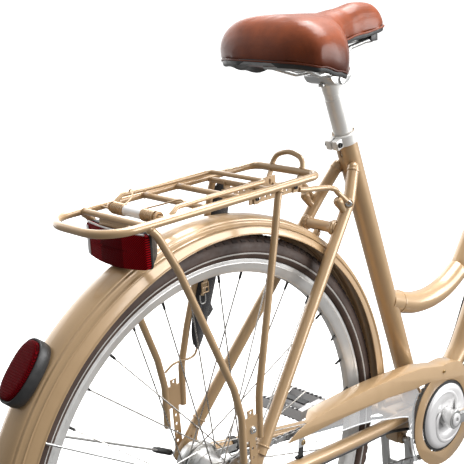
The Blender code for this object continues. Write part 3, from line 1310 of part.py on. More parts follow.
def chain():
    """The roller chain as one closed run, one section at each pin, wide and narrow by turns, grooved for teeth."""
    big, small = pitch_radius(CHAINRING_TEETH), pitch_radius(SPROCKET_TEETH)
    start, stop = Vector((0, 0, 0)), Vector((BB_FORWARD, 0, -BB_DROP))
    span = stop - start
    base = math.atan2(span.z, span.x)
    lean = math.asin((big - small) / span.length)
    run = math.sqrt(span.length ** 2 - (big - small) ** 2)
    wrap_big, wrap_small = math.pi + 2 * lean, math.pi - 2 * lean
    total = 2 * run + big * wrap_big + small * wrap_small
    links = 2 * round(total / CHAIN_PITCH / 2)
    steps = links
    top = base + math.pi / 2 + lean

    def at(length):
        """A point on the chain's centre line and the way out from it."""
        length %= total
        if length < run:
            out = Vector((math.cos(top), 0, math.sin(top)))
            forward = Vector((math.cos(top - math.pi / 2), 0, math.sin(top - math.pi / 2)))
            return start + out * small + forward * length, out
        length -= run
        if length < big * wrap_big:
            angle = top - length / big
            out = Vector((math.cos(angle), 0, math.sin(angle)))
            return stop + out * big, out
        length -= big * wrap_big
        low = top - wrap_big
        if length < run:
            out = Vector((math.cos(low), 0, math.sin(low)))
            back = Vector((math.cos(low - math.pi / 2), 0, math.sin(low - math.pi / 2)))
            return stop + out * big + back * length, out
        length -= run
        angle = low - length / small
        out = Vector((math.cos(angle), 0, math.sin(angle)))
        return start + out * small, out

    bm = bmesh.new()
    rings = []
    for index in range(steps):
        place, out = at(total * index / steps)
        high = 0.0041
        wide = 0.0036 if index % 2 else 0.0031
        groove = RING_THICKNESS / 2 + TOUCH * 1.5
        section = [(-wide, high), (wide, high), (wide, -high), (groove, 0.0029), (-groove, 0.0029), (-wide, -high)]
        rings.append([bm.verts.new(place + out * lift + Y_AXIS * (across - CHAIN_LINE)) for across, lift in section])
    for first, second in zip(rings, rings[1:] + rings[:1]):
        for index in range(len(first)):
            after = (index + 1) % len(first)
            bm.faces.new((first[index], first[after], second[after], second[index]))
    return bm


def crank_direction(side):
    """The way from the spindle to a pedal: right crank forward, left crank back."""
    angle = CRANK_ANGLE if side < 0 else CRANK_ANGLE + math.pi
    return Vector((math.cos(angle), 0, math.sin(angle)))


def crank(side):
    """Crank arm with its boss and pedal axle. The left one carries the spindle, the right one is bored for it."""
    out = Y_AXIS * side
    hub_place = BB + out * CRANK_PLANE
    along = crank_direction(side)
    end = hub_place + along * CRANK_LENGTH + out * 0.004
    lift = along.cross(Y_AXIS).normalized()
    section = [(-0.0065, -0.006), (-0.0045, -0.0080), (0.0045, -0.0080), (0.0065, -0.006), (0.0065, 0.006),
               (0.0045, 0.0080), (-0.0045, 0.0080), (-0.0065, 0.006)]
    steps = [hub_place, hub_place + along * 0.030, hub_place + along * 0.090 + out * 0.001, end - along * 0.006, end + along * 0.006]
    arm = sweep(steps, section, sizes=[1.65, 1.40, 1.15, 1.25, 0.9], up=lift)
    boss = rod(hub_place - out * 0.012, hub_place + out * 0.009, 0.0170, 14)
    eye = rod(end - out * 0.007, end + out * 0.007, 0.0125, 10)
    pin = rod(end, BB + along * CRANK_LENGTH + out * (PEDAL_INSIDE + PEDAL_WIDTH - 0.012), 0.0045, 8)
    if side > 0:
        spindle = rod(BB - out * (CRANK_PLANE + 0.004), hub_place, SPINDLE_RADIUS, 14)
        return union(arm, boss, eye, pin, spindle)
    neck = rod(BB + out * (CHAIN_LINE - 0.004), hub_place, 0.0170, 14)
    collar = rod(BB + out * (CHAIN_LINE + RING_THICKNESS / 2 + TOUCH), BB + out * (CHAIN_LINE + 0.006), 0.0215, 14)
    body = union(arm, boss, eye, pin, neck, collar)
    return cut(body, rod(BB, BB + out * (CRANK_PLANE + 0.004 + TOUCH), SPINDLE_RADIUS + TOUCH, 14))


def cover_disc():
    """Polished disc that closes the guard's opening, dished round the crank boss."""
    centre = BB - Y_AXIS * (CASE_FACE + 0.0020)
    bore = 0.0170 + TOUCH
    return turned([(bore, 0.000), (0.028, 0.0000), (0.034, 0.0035), (0.056, 0.0030), (COVER_RADIUS, -0.0025),
                   (0.055, -0.0010), (0.034, -0.0002), (bore, -0.0032)], centre, -Y_AXIS, steps=22)


def pedal(side):
    """Cage pedal: barrel, two toothed cage plates and two end blocks."""
    out = Y_AXIS * side
    middle = BB + crank_direction(side) * CRANK_LENGTH + out * (PEDAL_INSIDE + PEDAL_WIDTH / 2)
    half = PEDAL_WIDTH / 2
    barrel = rod(middle - out * half, middle + out * half, 0.0095, 12)
    solids = [barrel]
    for sign in (1, -1):
        x = sign * (PEDAL_LENGTH / 2)
        solids.append(block(middle + Vector((x, 0, 0)), (0.003, PEDAL_WIDTH, 0.022)))
        solids.append(block(middle + out * sign * (half - 0.006), (PEDAL_LENGTH + 0.002, 0.012, 0.016)))
    body = union(solids[0], *solids[1:])
    return cut(body, rod(middle - out * (half + 0.01), middle + out * (half - 0.0045), 0.0045 + TOUCH, 10)), middle


def stand_legs():
    """Twin-leg stand with its pivot shaft and rubber-capped feet."""
    pivot = Vector((STAND_FORWARD, 0, -STAND_DROP))
    ground = -WHEEL_RADIUS
    left = [pivot + Vector((0, 0.0255, 0)), pivot + Vector((0.005, 0.0260, -0.070)),
            pivot + Vector((0.010, 0.045, -0.130)), Vector((pivot.x + 0.022, STAND_SPREAD, ground + 0.010))]
    path = rounded(left, 0.03, 2)
    solids = [rod(pivot - Y_AXIS * 0.0255, pivot + Y_AXIS * 0.0255, 0.0055 - TOUCH, 10)]
    foot = Vector((pivot.x + 0.022, STAND_SPREAD, ground + 0.006))
    for turn in (Vector, mirror):
        solids.append(tube([turn(point) for point in path], STAND_LEG, 7))
        solids.append(block(turn(foot), (0.030, 0.026, 0.012)))
    return union(solids[0], *solids[1:]), pivot


def cable(points, steps):
    """A covered control cable along its own route."""
    return tube(smooth_path(points, steps), CABLE_RADIUS, 5)


def down_tube_side(share, side, lift=0.0):
    """A point just beside the down tube, at a share of its length."""
    _, down = swan_paths()
    index = share * (len(down) - 1)
    low = min(int(index), len(down) - 2)
    place = down[low].lerp(down[low + 1], index - low)
    return place + Vector((0, side * (SWAN_TUBE_RADIUS + CABLE_RADIUS + CABLE_STANDOFF), lift))


def cable_start(side, drop=0.0):
    """Where a cable leaves its lever clamp."""
    place, out, ahead = lever_frame(side)
    return place - out * 0.0125 + ahead * 0.026 + Vector((0, 0, drop)), out


def rear_brake_cable():
    """Cable from the right lever round the head tube, along the frame to the rear brake."""
    start, out = cable_start(-1)
    points = [start, start - out * 0.045 + Vector((0.015, 0, 0.002)), steer_axis(HEAD_HIGH + 0.110) + Vector((0.095, -0.050, 0)),
              steer_axis(HEAD_HIGH - 0.020) + Vector((0.052, 0.030, 0)), steer_axis(HEAD_LOW + 0.045) + Vector((0.004, 0.034, 0)),
              down_tube_side(0.80, 1), down_tube_side(0.60, 1), down_tube_side(0.40, 1), down_tube_side(0.22, 1, -0.006),
              BB + Vector((0.024, 0.030, -0.030)), BB + Vector((-0.030, 0.036, -0.022))]
    for x in (0.36, 0.26, 0.16):
        points.append(chainstay_point(x) + Vector((0, 0, -CHAINSTAY_RADIUS - CABLE_RADIUS - CABLE_STANDOFF)))
    points.append(Vector((0.098, 0.046, -0.026)))
    points.append(Vector((0.050, 0.0450, -0.022)))
    return cable(points, 42)


def shift_cable():
    """Cable from the twist shifter along the frame to the rear hub."""
    start, out = cable_start(-1)
    start = start - out * 0.002 - Vector((0, 0, 0.014))
    points = [start, start - out * 0.045 + Vector((0.010, 0, -0.006)), steer_axis(HEAD_HIGH + 0.070) + Vector((0.100, -0.046, 0)),
              steer_axis(HEAD_HIGH - 0.050) + Vector((0.046, -0.034, 0)), steer_axis(HEAD_LOW + 0.045) + Vector((0.002, -0.034, 0)),
              down_tube_side(0.80, -1), down_tube_side(0.60, -1), down_tube_side(0.40, -1), down_tube_side(0.22, -1, -0.006),
              BB + Vector((0.024, -0.026, -0.032)), BB + Vector((-0.034, -0.030, -0.020))]
    for x in (0.36, 0.26, 0.16):
        points.append(mirror(chainstay_point(x)) + Vector((0, 0, -CHAINSTAY_RADIUS - CABLE_RADIUS - CABLE_STANDOFF)))
    points += [Vector((0.070, -0.0720, -0.030)), Vector((0.034, -0.0830, -0.022)), Vector((0.014, -0.0860, -0.012))]
    return cable(points, 42)


def front_brake_cable():
    """Cable from the left lever down the fork to the front brake."""
    start, out = cable_start(1)
    path = blade_path()
    points = [start, start - out * 0.045 + Vector((0.015, 0, 0.002)), steer_axis(HEAD_HIGH + 0.090) + Vector((0.100, 0.052, 0)),
              steer_axis(HEAD_LOW + 0.080) + Vector((0.060, 0.050, 0)), path[0] + Vector((0.020, 0.004, 0.010)),
              path[2] + Vector((0.0183, 0, 0)), path[4] + Vector((0.0178, 0, 0)), path[6] + Vector((0.0168, -0.004, 0)),
              FRONT_AXLE + Vector((0.016, FORK_PLATE - 0.008, 0.045))]
    return cable(points, 30)


def build():
    """Makes every piece of the bicycle."""
    clear_scene()
    paint = finish("tan_paint", (0.46, 0.33, 0.19), 0.32, 0.35)
    steel = finish("polished_metal", (0.72, 0.72, 0.72), 0.25, 1.0)
    rim_metal = finish("rim_metal", (0.68, 0.67, 0.65), 0.40, 0.9)
    rubber = finish("tyre_rubber", (0.055, 0.030, 0.025), 0.85)
    black = finish("black_plastic", (0.02, 0.02, 0.02), 0.45)
    grip_rubber = finish("grip_rubber", (0.20, 0.085, 0.04), 0.6)
    leather = finish("brown_leather", (0.28, 0.085, 0.035), 0.42)
    red = finish("red_lens", (0.50, 0.01, 0.02), 0.15)
    clear = finish("clear_lens", (0.80, 0.82, 0.84), 0.08, 0.0, 0.35)
    fabric = finish("black_fabric", (0.02, 0.02, 0.022), 0.9)
    chain_steel = finish("chain_steel", (0.42, 0.42, 0.42), 0.35, 1.0)

    piece("main_frame", main_frame(), paint)
    piece("seat_clamp", seat_clamp(), steel)
    piece("headset_lower", headset_cup(True), steel)
    piece("headset_upper", headset_cup(False), steel)
    piece("bottom_bracket", bottom_bracket(), steel)
    piece("rear_fender", rear_guard(), paint)
    piece("rear_fender_stay", rear_guard_stay(), steel)
    base, lens = guard_reflector()
    piece("fender_reflector_base", base, black)
    piece("fender_reflector_lens", lens, red)
    piece("chain_guard", chain_guard(), paint)
    piece("chain_guard_window", guard_window(), clear)

    piece("rack_frame", rack_frame(), paint)
    piece("rack_strut_left", rack_strut(1), paint)
    piece("rack_strut_right", rack_strut(-1), paint)
    hinge = Vector((CLAMP_PIVOT, 0, RACK_HEIGHT))
    piece("spring_clamp", spring_clamp(), paint, hinge)
    piece("clamp_spring_left", clamp_spring(1), paint, hinge)
    piece("clamp_spring_right", clamp_spring(-1), paint, hinge)
    piece("clamp_sleeve", clamp_sleeve(), clear, hinge)
    housing, lens = tail_light()
    piece("tail_light_housing", housing, black)
    piece("tail_light_lens", lens, red)
    piece("pouch", pouch(), fabric)

    piece("saddle_cover", saddle_cover(), leather, smooth=60)
    piece("saddle_base", saddle_base(), black)
    piece("saddle_rails", saddle_rails(), steel)
    piece("seatpost", seat_post(), steel)

    legs, pivot = stand_legs()
    piece("stand_legs", legs, black, pivot)

    rear, front = Vector((0, 0, 0)), FRONT_AXLE
    piece("rear_tyre", tyre(rear), rubber, rear)
    piece("rear_rim", laced_rim(rear), rim_metal, rear)
    piece("rear_hub", hub(rear), steel, rear)
    piece("rear_axle", axle(rear, DROPOUT_INSIDE, DROPOUT_THICKNESS, True), steel)
    piece("rear_brake", rear_brake(), steel)
    piece("front_tyre", tyre(front), rubber, front)
    piece("front_rim", laced_rim(front), rim_metal, front)
    piece("front_hub", hub(front), steel, front)
    piece("front_axle", axle(front, FORK_PLATE, 0.005, False), steel, STEER_FOOT)
    piece("front_brake", front_brake(), steel, STEER_FOOT)

    piece("chain", chain(), chain_steel)
    piece("rear_sprocket", sprocket(), chain_steel, rear)
    piece("chainring", chainring(), chain_steel, BB)
    piece("chainring_cover", cover_disc(), steel, BB)
    piece("crank_right", crank(-1), steel, BB)
    piece("crank_left", crank(1), steel, BB)
    for side, word in ((1, "left"), (-1, "right")):
        body, middle = pedal(side)
        piece("pedal_" + word, body, black, middle)

    piece("fork", fork(), paint, STEER_FOOT)
    piece("stem", stem(), steel, STEER_FOOT)
    piece("handlebar", handlebar(), steel, STEER_FOOT)
    for side, word in ((1, "left"), (-1, "right")):
        piece("grip_" + word, grip(side), grip_rubber, STEER_FOOT)
        piece("lever_clamp_" + word, lever_clamp(side), steel, STEER_FOOT)
        blade, pin = brake_lever(side)
        piece("brake_lever_" + word, blade, steel, pin)
    piece("shift_grip", shift_grip(), black, on_bar(-1, 0.0)[0])
    shell, glass = headlight()
    piece("headlight", shell, black, STEER_FOOT)
    piece("headlight_lens", glass, clear, STEER_FOOT)
    piece("front_fender", front_guard(), paint, STEER_FOOT)
    piece("front_brake_cable", front_brake_cable(), black, STEER_FOOT)
    piece("rear_brake_cable", rear_brake_cable(), black)
    piece("shift_cable", shift_cable(), black)
    gap = least_gap(coil_points()[4:], COIL_WIRE, 5)
    print("least gap between spring turns, mm:", round(gap * 1000, 2))


if __name__ == "__main__":
    build()
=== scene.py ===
"""City bicycle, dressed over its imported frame: camera, soft studio light, finishes and detailed pieces.

Metres, +Z up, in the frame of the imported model. Sketch points are given from the rear axle, as in the part's
source, and REAR_AXLE puts them in place.
"""
import logging
import math
import random
from dataclasses import dataclass, field
from enum import Enum
from typing import Iterable, Iterator, Optional, Sequence

import bmesh
import bpy
from mathutils import Matrix, Vector
from mathutils.bvhtree import BVHTree


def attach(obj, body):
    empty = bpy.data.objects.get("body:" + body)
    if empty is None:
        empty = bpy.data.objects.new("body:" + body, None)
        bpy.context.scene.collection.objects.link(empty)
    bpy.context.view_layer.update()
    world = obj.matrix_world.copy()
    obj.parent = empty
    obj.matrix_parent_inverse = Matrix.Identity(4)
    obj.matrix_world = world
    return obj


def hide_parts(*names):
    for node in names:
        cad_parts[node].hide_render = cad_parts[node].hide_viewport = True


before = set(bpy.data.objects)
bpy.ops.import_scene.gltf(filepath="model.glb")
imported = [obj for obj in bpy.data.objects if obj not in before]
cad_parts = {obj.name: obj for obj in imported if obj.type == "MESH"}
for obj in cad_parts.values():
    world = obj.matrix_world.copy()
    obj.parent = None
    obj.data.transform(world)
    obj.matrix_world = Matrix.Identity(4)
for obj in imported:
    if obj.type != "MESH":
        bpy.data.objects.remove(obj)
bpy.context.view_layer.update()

LOG = logging.getLogger("bicycle")
ORIGIN = Vector((0, 0, 0))
X_AXIS = Vector((1, 0, 0))
Y_AXIS = Vector((0, 1, 0))
Z_AXIS = Vector((0, 0, 1))
WHEELBASE = 1.112
WHEEL_RADIUS = 0.351
HUB_HALF = 0.035
AXLE_RADIUS = 0.005
CONE_WALL = 0.003
REAR_AXLE = Vector((-0.5425, 0.0, WHEEL_RADIUS))
TOUCH = 0.0003
RUN = 0.0006
Section = Sequence[tuple[float, float]]
Table = tuple[tuple[float, ...], ...]


class Side(Enum):
    """A side of the bicycle, as the sign of Y."""

    LEFT = 1
    RIGHT = -1

    @property
    def word(self) -> str:
        """The side's word in node names."""
        return self.name.lower()

    @property
    def out(self) -> Vector:
        """The way out of the bicycle on this side."""
        return Y_AXIS * self.value


def mirror(point: Vector) -> Vector:
    """Mirrors a point across the middle plane."""
    return Vector((point.x, -point.y, point.z))


def at_side(side: Side, point: Vector) -> Vector:
    """A left-hand point, carried to a side."""
    return Vector(point) if side is Side.LEFT else mirror(Vector(point))


def with_mirror(left: Sequence[Vector]) -> list[Vector]:
    """A left-hand path and then its mirror image back, for a closed or symmetrical line."""
    return [*left, *(mirror(point) for point in reversed(left))]


def heading(angle: float) -> Vector:
    """The way at an angle up from straight ahead, in the middle plane."""
    return Vector((math.cos(angle), 0, math.sin(angle)))


def angles(count: int, shift: float = 0.0) -> Iterator[float]:
    """Evenly spaced angles of one turn, moved on by a share of a step."""
    return (math.tau * (index + shift) / count for index in range(count))


def bulge(value: float, power: float) -> float:
    """A power of a sine or cosine that keeps its sign, which squares a round section off."""
    return math.copysign(abs(value) ** power, value)


def smooth_path(points: Iterable[Sequence[float]], steps: int) -> list[Vector]:
    """Reads evenly placed points from a smooth curve through the given ones.

    Args:
        points: The points that the curve passes.
        steps: How many spans the result has.

    Returns:
        The path, with one point more than its spans.
    """
    knots = [Vector(point) for point in points]
    ends = [2 * knots[0] - knots[1], *knots, 2 * knots[-1] - knots[-2]]
    fine = []
    for before, start, stop, after in zip(ends, ends[1:], ends[2:], ends[3:]):
        for index in range(12):
            t = index / 12
            fine.append(0.5 * (2 * start + (stop - before) * t + (2 * before - 5 * start + 4 * stop - after) * t ** 2
                               + (3 * start - before - 3 * stop + after) * t ** 3))
    fine.append(knots[-1])
    lengths = [0.0]
    for first, second in zip(fine, fine[1:]):
        lengths.append(lengths[-1] + (second - first).length)
    path, place = [], 0
    for step in range(steps + 1):
        target = lengths[-1] * step / steps
        while place < len(fine) - 2 and lengths[place + 1] < target:
            place += 1
        span = lengths[place + 1] - lengths[place]
        path.append(fine[place].lerp(fine[place + 1], min((target - lengths[place]) / span if span else 0.0, 1.0)))
    return path


def rounded(points: Iterable[Sequence[float]], radius: float, steps: int = 8) -> list[Vector]:
    """Rounds the corners of a path of straight runs.

    Args:
        points: The corners.
        radius: The bend's radius.
        steps: Spans in one bend.

    Returns:
        The rounded path.
    """
    knots = [Vector(point) for point in points]
    path = [knots[0]]
    for before, corner, after in zip(knots, knots[1:], knots[2:]):
        one, two = (before - corner).normalized(), (after - corner).normalized()
        half = max(one.angle(two) / 2, 0.01)
        reach = min(radius / math.tan(half), (before - corner).length * 0.49, (after - corner).length * 0.49)
        start, stop = corner + one * reach, corner + two * reach
        for index in range(steps + 1):
            t = index / steps
            path.append(start.lerp(corner, t).lerp(corner.lerp(stop, t), t))
    path.append(knots[-1])
    return path


def circle(radius: float, sides: int = 24) -> list[tuple[float, float]]:
    """Points round a circle."""
    return [(radius * math.cos(angle), radius * math.sin(angle)) for angle in angles(sides)]


def oblong(wide: float, high: float) -> list[tuple[float, float]]:
    """A plain oblong section of two half sizes."""
    return [(-wide, -high), (wide, -high), (wide, high), (-wide, high)]


def squared(wide: float, high: float, power: float, sides: int, shift: float = 0.0) -> list[tuple[float, float]]:
    """A section between an oval and an oblong, of two half sizes."""
    return [(bulge(math.cos(angle), power) * wide, bulge(math.sin(angle), power) * high)
            for angle in angles(sides, shift)]


def sleeve_profile(bore: float, outer: float, half: float, edge: float) -> list[tuple[float, float]]:
    """Outline of a short sleeve for turning, its outer corners chamfered."""
    return [(bore, -half), (outer - edge, -half), (outer, -half + edge), (outer, half - edge), (outer - edge, half),
            (bore, half)]


def skin(rings: Sequence[Sequence[Vector]], closed: bool = False, capped: bool = True) -> bmesh.types.BMesh:
    """Joins rings of equal counts into one shell.

    Args:
        rings: Loops of points.
        closed: Whether the last ring joins the first.
        capped: Whether the open ends get faces.

    Returns:
        The shell.
    """
    bm = bmesh.new()
    made = [[bm.verts.new(point) for point in ring] for ring in rings]
    pairs = list(zip(made, made[1:])) + ([(made[-1], made[0])] if closed else [])
    for first, second in pairs:
        for index in range(len(first)):
            after = (index + 1) % len(first)
            bm.faces.new((first[index], first[after], second[after], second[index]))
    if capped and not closed:
        bm.faces.new(list(reversed(made[0])))
        bm.faces.new(made[-1])
    return bm


def sweep(path: Iterable[Vector], section: Section, closed: bool = False, sizes: Optional[Sequence[float]] = None,
          up: Optional[Vector] = None) -> bmesh.types.BMesh:
    """Carries a section along a path and caps its ends.

    Args:
        path: The centre line.
        section: Points across and along up.
        closed: Whether the path is a ring.
        sizes: A scale of the section at each point.
        up: A fixed way up of the section.

    Returns:
        The solid.
    """
    line = [Vector(point) for point in path]
    count = len(line)
    lift = Vector(Z_AXIS if up is None else up)
    rings = []
    for index, place in enumerate(line):
        before = line[index - 1] if closed or index else place
        after = line[(index + 1) % count] if closed or index < count - 1 else place
        tangent = (after - before).normalized()
        if up is None and index == 0 and abs(tangent.dot(lift)) > 0.9:
            lift = X_AXIS
        lift = (lift - tangent * lift.dot(tangent)).normalized()
        across = tangent.cross(lift)
        size = sizes[index] if sizes else 1.0
        rings.append([place + (across * u + lift * v) * size for u, v in section])
        if up is not None:
            lift = Vector(up)
    return skin(rings, closed)


def tube(path: Iterable[Vector], radius: float, sides: int = 24, closed: bool = False,
         sizes: Optional[Sequence[float]] = None) -> bmesh.types.BMesh:
    """A round bar along a path."""
    return sweep(path, circle(radius, sides), closed, sizes)


def turned(profile: Section, centre: Vector, axis: Vector = Y_AXIS, steps: int = 48,
           ring: bool = True) -> bmesh.types.BMesh:
    """Turns a profile about an axis.

    Args:
        profile: Points (radius, along the axis); a closed outline for a ring.
        centre: A point on the axis.
        axis: The way of the axis.
        steps: Spans round the axis.
        ring: Whether the profile closes on itself.

    Returns:
        The turned solid.
    """
    axis = Vector(axis).normalized()
    side = axis.cross(Z_AXIS)
    side = side.normalized() if side.length > 0.1 else X_AXIS
    other = side.cross(axis)
    ways = [side * math.cos(angle) + other * math.sin(angle) for angle in angles(steps)]
    rows = [[Vector(centre) + axis * along + way * radius for way in ways] for radius, along in profile]
    return skin(rows, closed=ring, capped=not ring)


def rod(start: Vector, stop: Vector, radius: float, sides: int = 24, edge: float = 0.0) -> bmesh.types.BMesh:
    """A straight round bar with chamfered ends."""
    run = Vector(stop) - Vector(start)
    edge = edge or min(radius * 0.15, run.length * 0.2)
    profile = [(radius - edge, 0.0), (radius, edge), (radius, run.length - edge), (radius - edge, run.length)]
    return turned(profile, start, run, sides, ring=False)


def bar(centre: Vector, way: Vector, back: float, ahead: float, radius: float, sides: int = 24,
        edge: float = 0.0) -> bmesh.types.BMesh:
    """A straight round bar that reaches back and ahead of a point along a way."""
    return rod(centre - way * back, centre + way * ahead, radius, sides, edge)


def drill(centre: Vector, radius: float, reach: float = 0.01, sides: int = 16) -> bmesh.types.BMesh:
    """A tool that makes a round hole across the bicycle."""
    return turned([(radius, -reach), (radius, reach)], centre, Y_AXIS, sides, ring=False)


def washer(centre: Vector, way: Vector, bore: float, outer: float, low: float, high: float,
           sides: int) -> bmesh.types.BMesh:
    """A flat-ended ring round an axis, from low to high along it."""
    return turned([(bore, low), (outer, low), (outer, high), (bore, high)], centre, way, sides)


def prism(outline: Section, low: float, high: float) -> bmesh.types.BMesh:
    """Extrudes an outline of (x, z) points across the bicycle, from y low to y high."""
    return skin([[Vector((x, y, z)) for x, z in outline] for y in (low, high)])


def slab(back: float, front: float, first: float, last: float, low: float, high: float) -> bmesh.types.BMesh:
    """An upright box from x back to front, z first to last and y low to high."""
    return prism([(back, first), (front, first), (front, last), (back, last)], low, high)


def block(centre: Vector, size: Sequence[float], turn: Optional[Matrix] = None,
          edge: float = 0.0008) -> bmesh.types.BMesh:
    """A box of a size about a centre, with bevelled edges and an optional turn."""
    bm = bmesh.new()
    bmesh.ops.create_cube(bm, size=1.0)
    bmesh.ops.scale(bm, vec=size, verts=bm.verts)
    bmesh.ops.bevel(bm, geom=bm.edges[:], offset=edge, segments=2, affect="EDGES", profile=0.6)
    if turn is not None:
        bmesh.ops.rotate(bm, cent=(0, 0, 0), matrix=turn, verts=bm.verts)
    bmesh.ops.translate(bm, vec=centre, verts=bm.verts)
    return bm


def ball(centre: Vector, radius: float, sides: int = 16) -> bmesh.types.BMesh:
    """A small rounded knob."""
    bm = bmesh.new()
    bmesh.ops.create_uvsphere(bm, u_segments=sides, v_segments=sides // 2, radius=radius)
    bmesh.ops.translate(bm, vec=centre, verts=bm.verts)
    return bm


def gather(shells: Iterable[bmesh.types.BMesh]) -> bmesh.types.BMesh:
    """Puts several shells in one mesh."""
    total = bmesh.new()
    for shell in shells:
        data = bpy.data.meshes.new("shell")
        shell.to_mesh(data)
        shell.free()
        total.from_mesh(data)
        bpy.data.meshes.remove(data)
    return total


def arc(centre: Sequence[float], radius: float, start: float, stop: float, steps: int) -> list[tuple[float, float]]:
    """Points (x, z) along an arc, with angles from the forward direction."""
    return [(centre[0] + radius * math.cos(start + (stop - start) * i / steps),
             centre[1] + radius * math.sin(start + (stop - start) * i / steps)) for i in range(steps + 1)]


def loose(bm: bmesh.types.BMesh, name: str) -> bpy.types.Object:
    """Links a mesh as a scratch object at the rear axle."""
    bmesh.ops.remove_doubles(bm, verts=bm.verts, dist=1e-6)
    bmesh.ops.recalc_face_normals(bm, faces=bm.faces)
    data = bpy.data.meshes.new(name)
    bm.to_mesh(data)
    bm.free()
    item = bpy.data.objects.new(name, data)
    bpy.context.scene.collection.objects.link(item)
    return item


def evaluated_mesh(item: bpy.types.Object) -> bpy.types.Mesh:
    """A plain mesh of an object with its modifiers applied."""
    bpy.context.view_layer.update()
    graph = bpy.context.evaluated_depsgraph_get()
    return bpy.data.meshes.new_from_object(item.evaluated_get(graph))


def cut(base: bmesh.types.BMesh, *tools: bmesh.types.BMesh) -> bmesh.types.BMesh:
    """Takes solids away from a base."""
    subject = loose(base, "subject")
    helpers = [loose(tool, "tool") for tool in tools]
    for helper in helpers:
        step = subject.modifiers.new("step", "BOOLEAN")
        step.operation, step.solver, step.object = "DIFFERENCE", "EXACT", helper
    result = bmesh.new()
    result.from_mesh(evaluated_mesh(subject))
    for item in [subject, *helpers]:
        bpy.data.objects.remove(item, do_unlink=True)
    return result


def bake(item: bpy.types.Object) -> None:
    """Applies an object's modifiers."""
    plain = evaluated_mesh(item)
    item.modifiers.clear()
    item.data = plain


def set_piece(name: str, bm: bmesh.types.BMesh, material: bpy.types.Material, body: str, *nodes: str,
              smooth: float = 40.0, bevel: float = 0.0) -> bpy.types.Object:
    """Finishes a piece: puts it in place, shades it, gives it its finish and ties it to its body.

    Args:
        name: The piece's name.
        bm: Its mesh, from the rear axle.
        material: Its finish.
        body: The CAD body it rides on.
        nodes: The CAD nodes that it stands for.
        smooth: Edges sharper than this, in degrees, stay sharp.
        bevel: Width of a bevel on sharp edges.

    Returns:
        The piece.
    """
    bmesh.ops.translate(bm, verts=bm.verts, vec=REAR_AXLE)
    item = loose(bm, name)
    item.data.materials.append(material)
    if bevel:
        edge = item.modifiers.new("edge", "BEVEL")
        edge.width, edge.segments, edge.limit_method = bevel, 2, "ANGLE"
        edge.angle_limit = math.radians(smooth)
    if item.modifiers:
        bake(item)
        if not item.data.materials:
            item.data.materials.append(material)
    item.data.shade_smooth()
    item.data.set_sharp_from_angle(angle=math.radians(smooth))
    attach(item, body)
    if nodes:
        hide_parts(*nodes)
    LOG.info("%s: %d faces on %s", name, len(item.data.polygons), body)
    return item


def redress(name: str, material: bpy.types.Material) -> None:
    """Gives a CAD node whose shape is right a new finish."""
    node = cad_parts[name]
    node.data.materials.clear()
    node.data.materials.append(material)
    LOG.info("%s: new finish", name)


class NodeWiring:
    """A node tree whose nodes are added with their settings, numbers and links in one call."""

    def __init__(self, tree: bpy.types.NodeTree) -> None:
        """Takes the tree to wire."""
        self.tree = tree

    def node(self, kind: str, inputs: Optional[dict] = None, **settings: object) -> bpy.types.Node:
        """Adds a node.

        Args:
            kind: The node's type.
            inputs: Numbers or sockets by input name or number.
            settings: Attributes of the node.

        Returns:
            The node.
        """
        made = self.tree.nodes.new(kind)
        for key, value in settings.items():
            setattr(made, key, value)
        for key, value in (inputs or {}).items():
            if isinstance(value, bpy.types.NodeSocket):
                self.tree.links.new(value, made.inputs[key])
            else:
                made.inputs[key].default_value = value
        return made


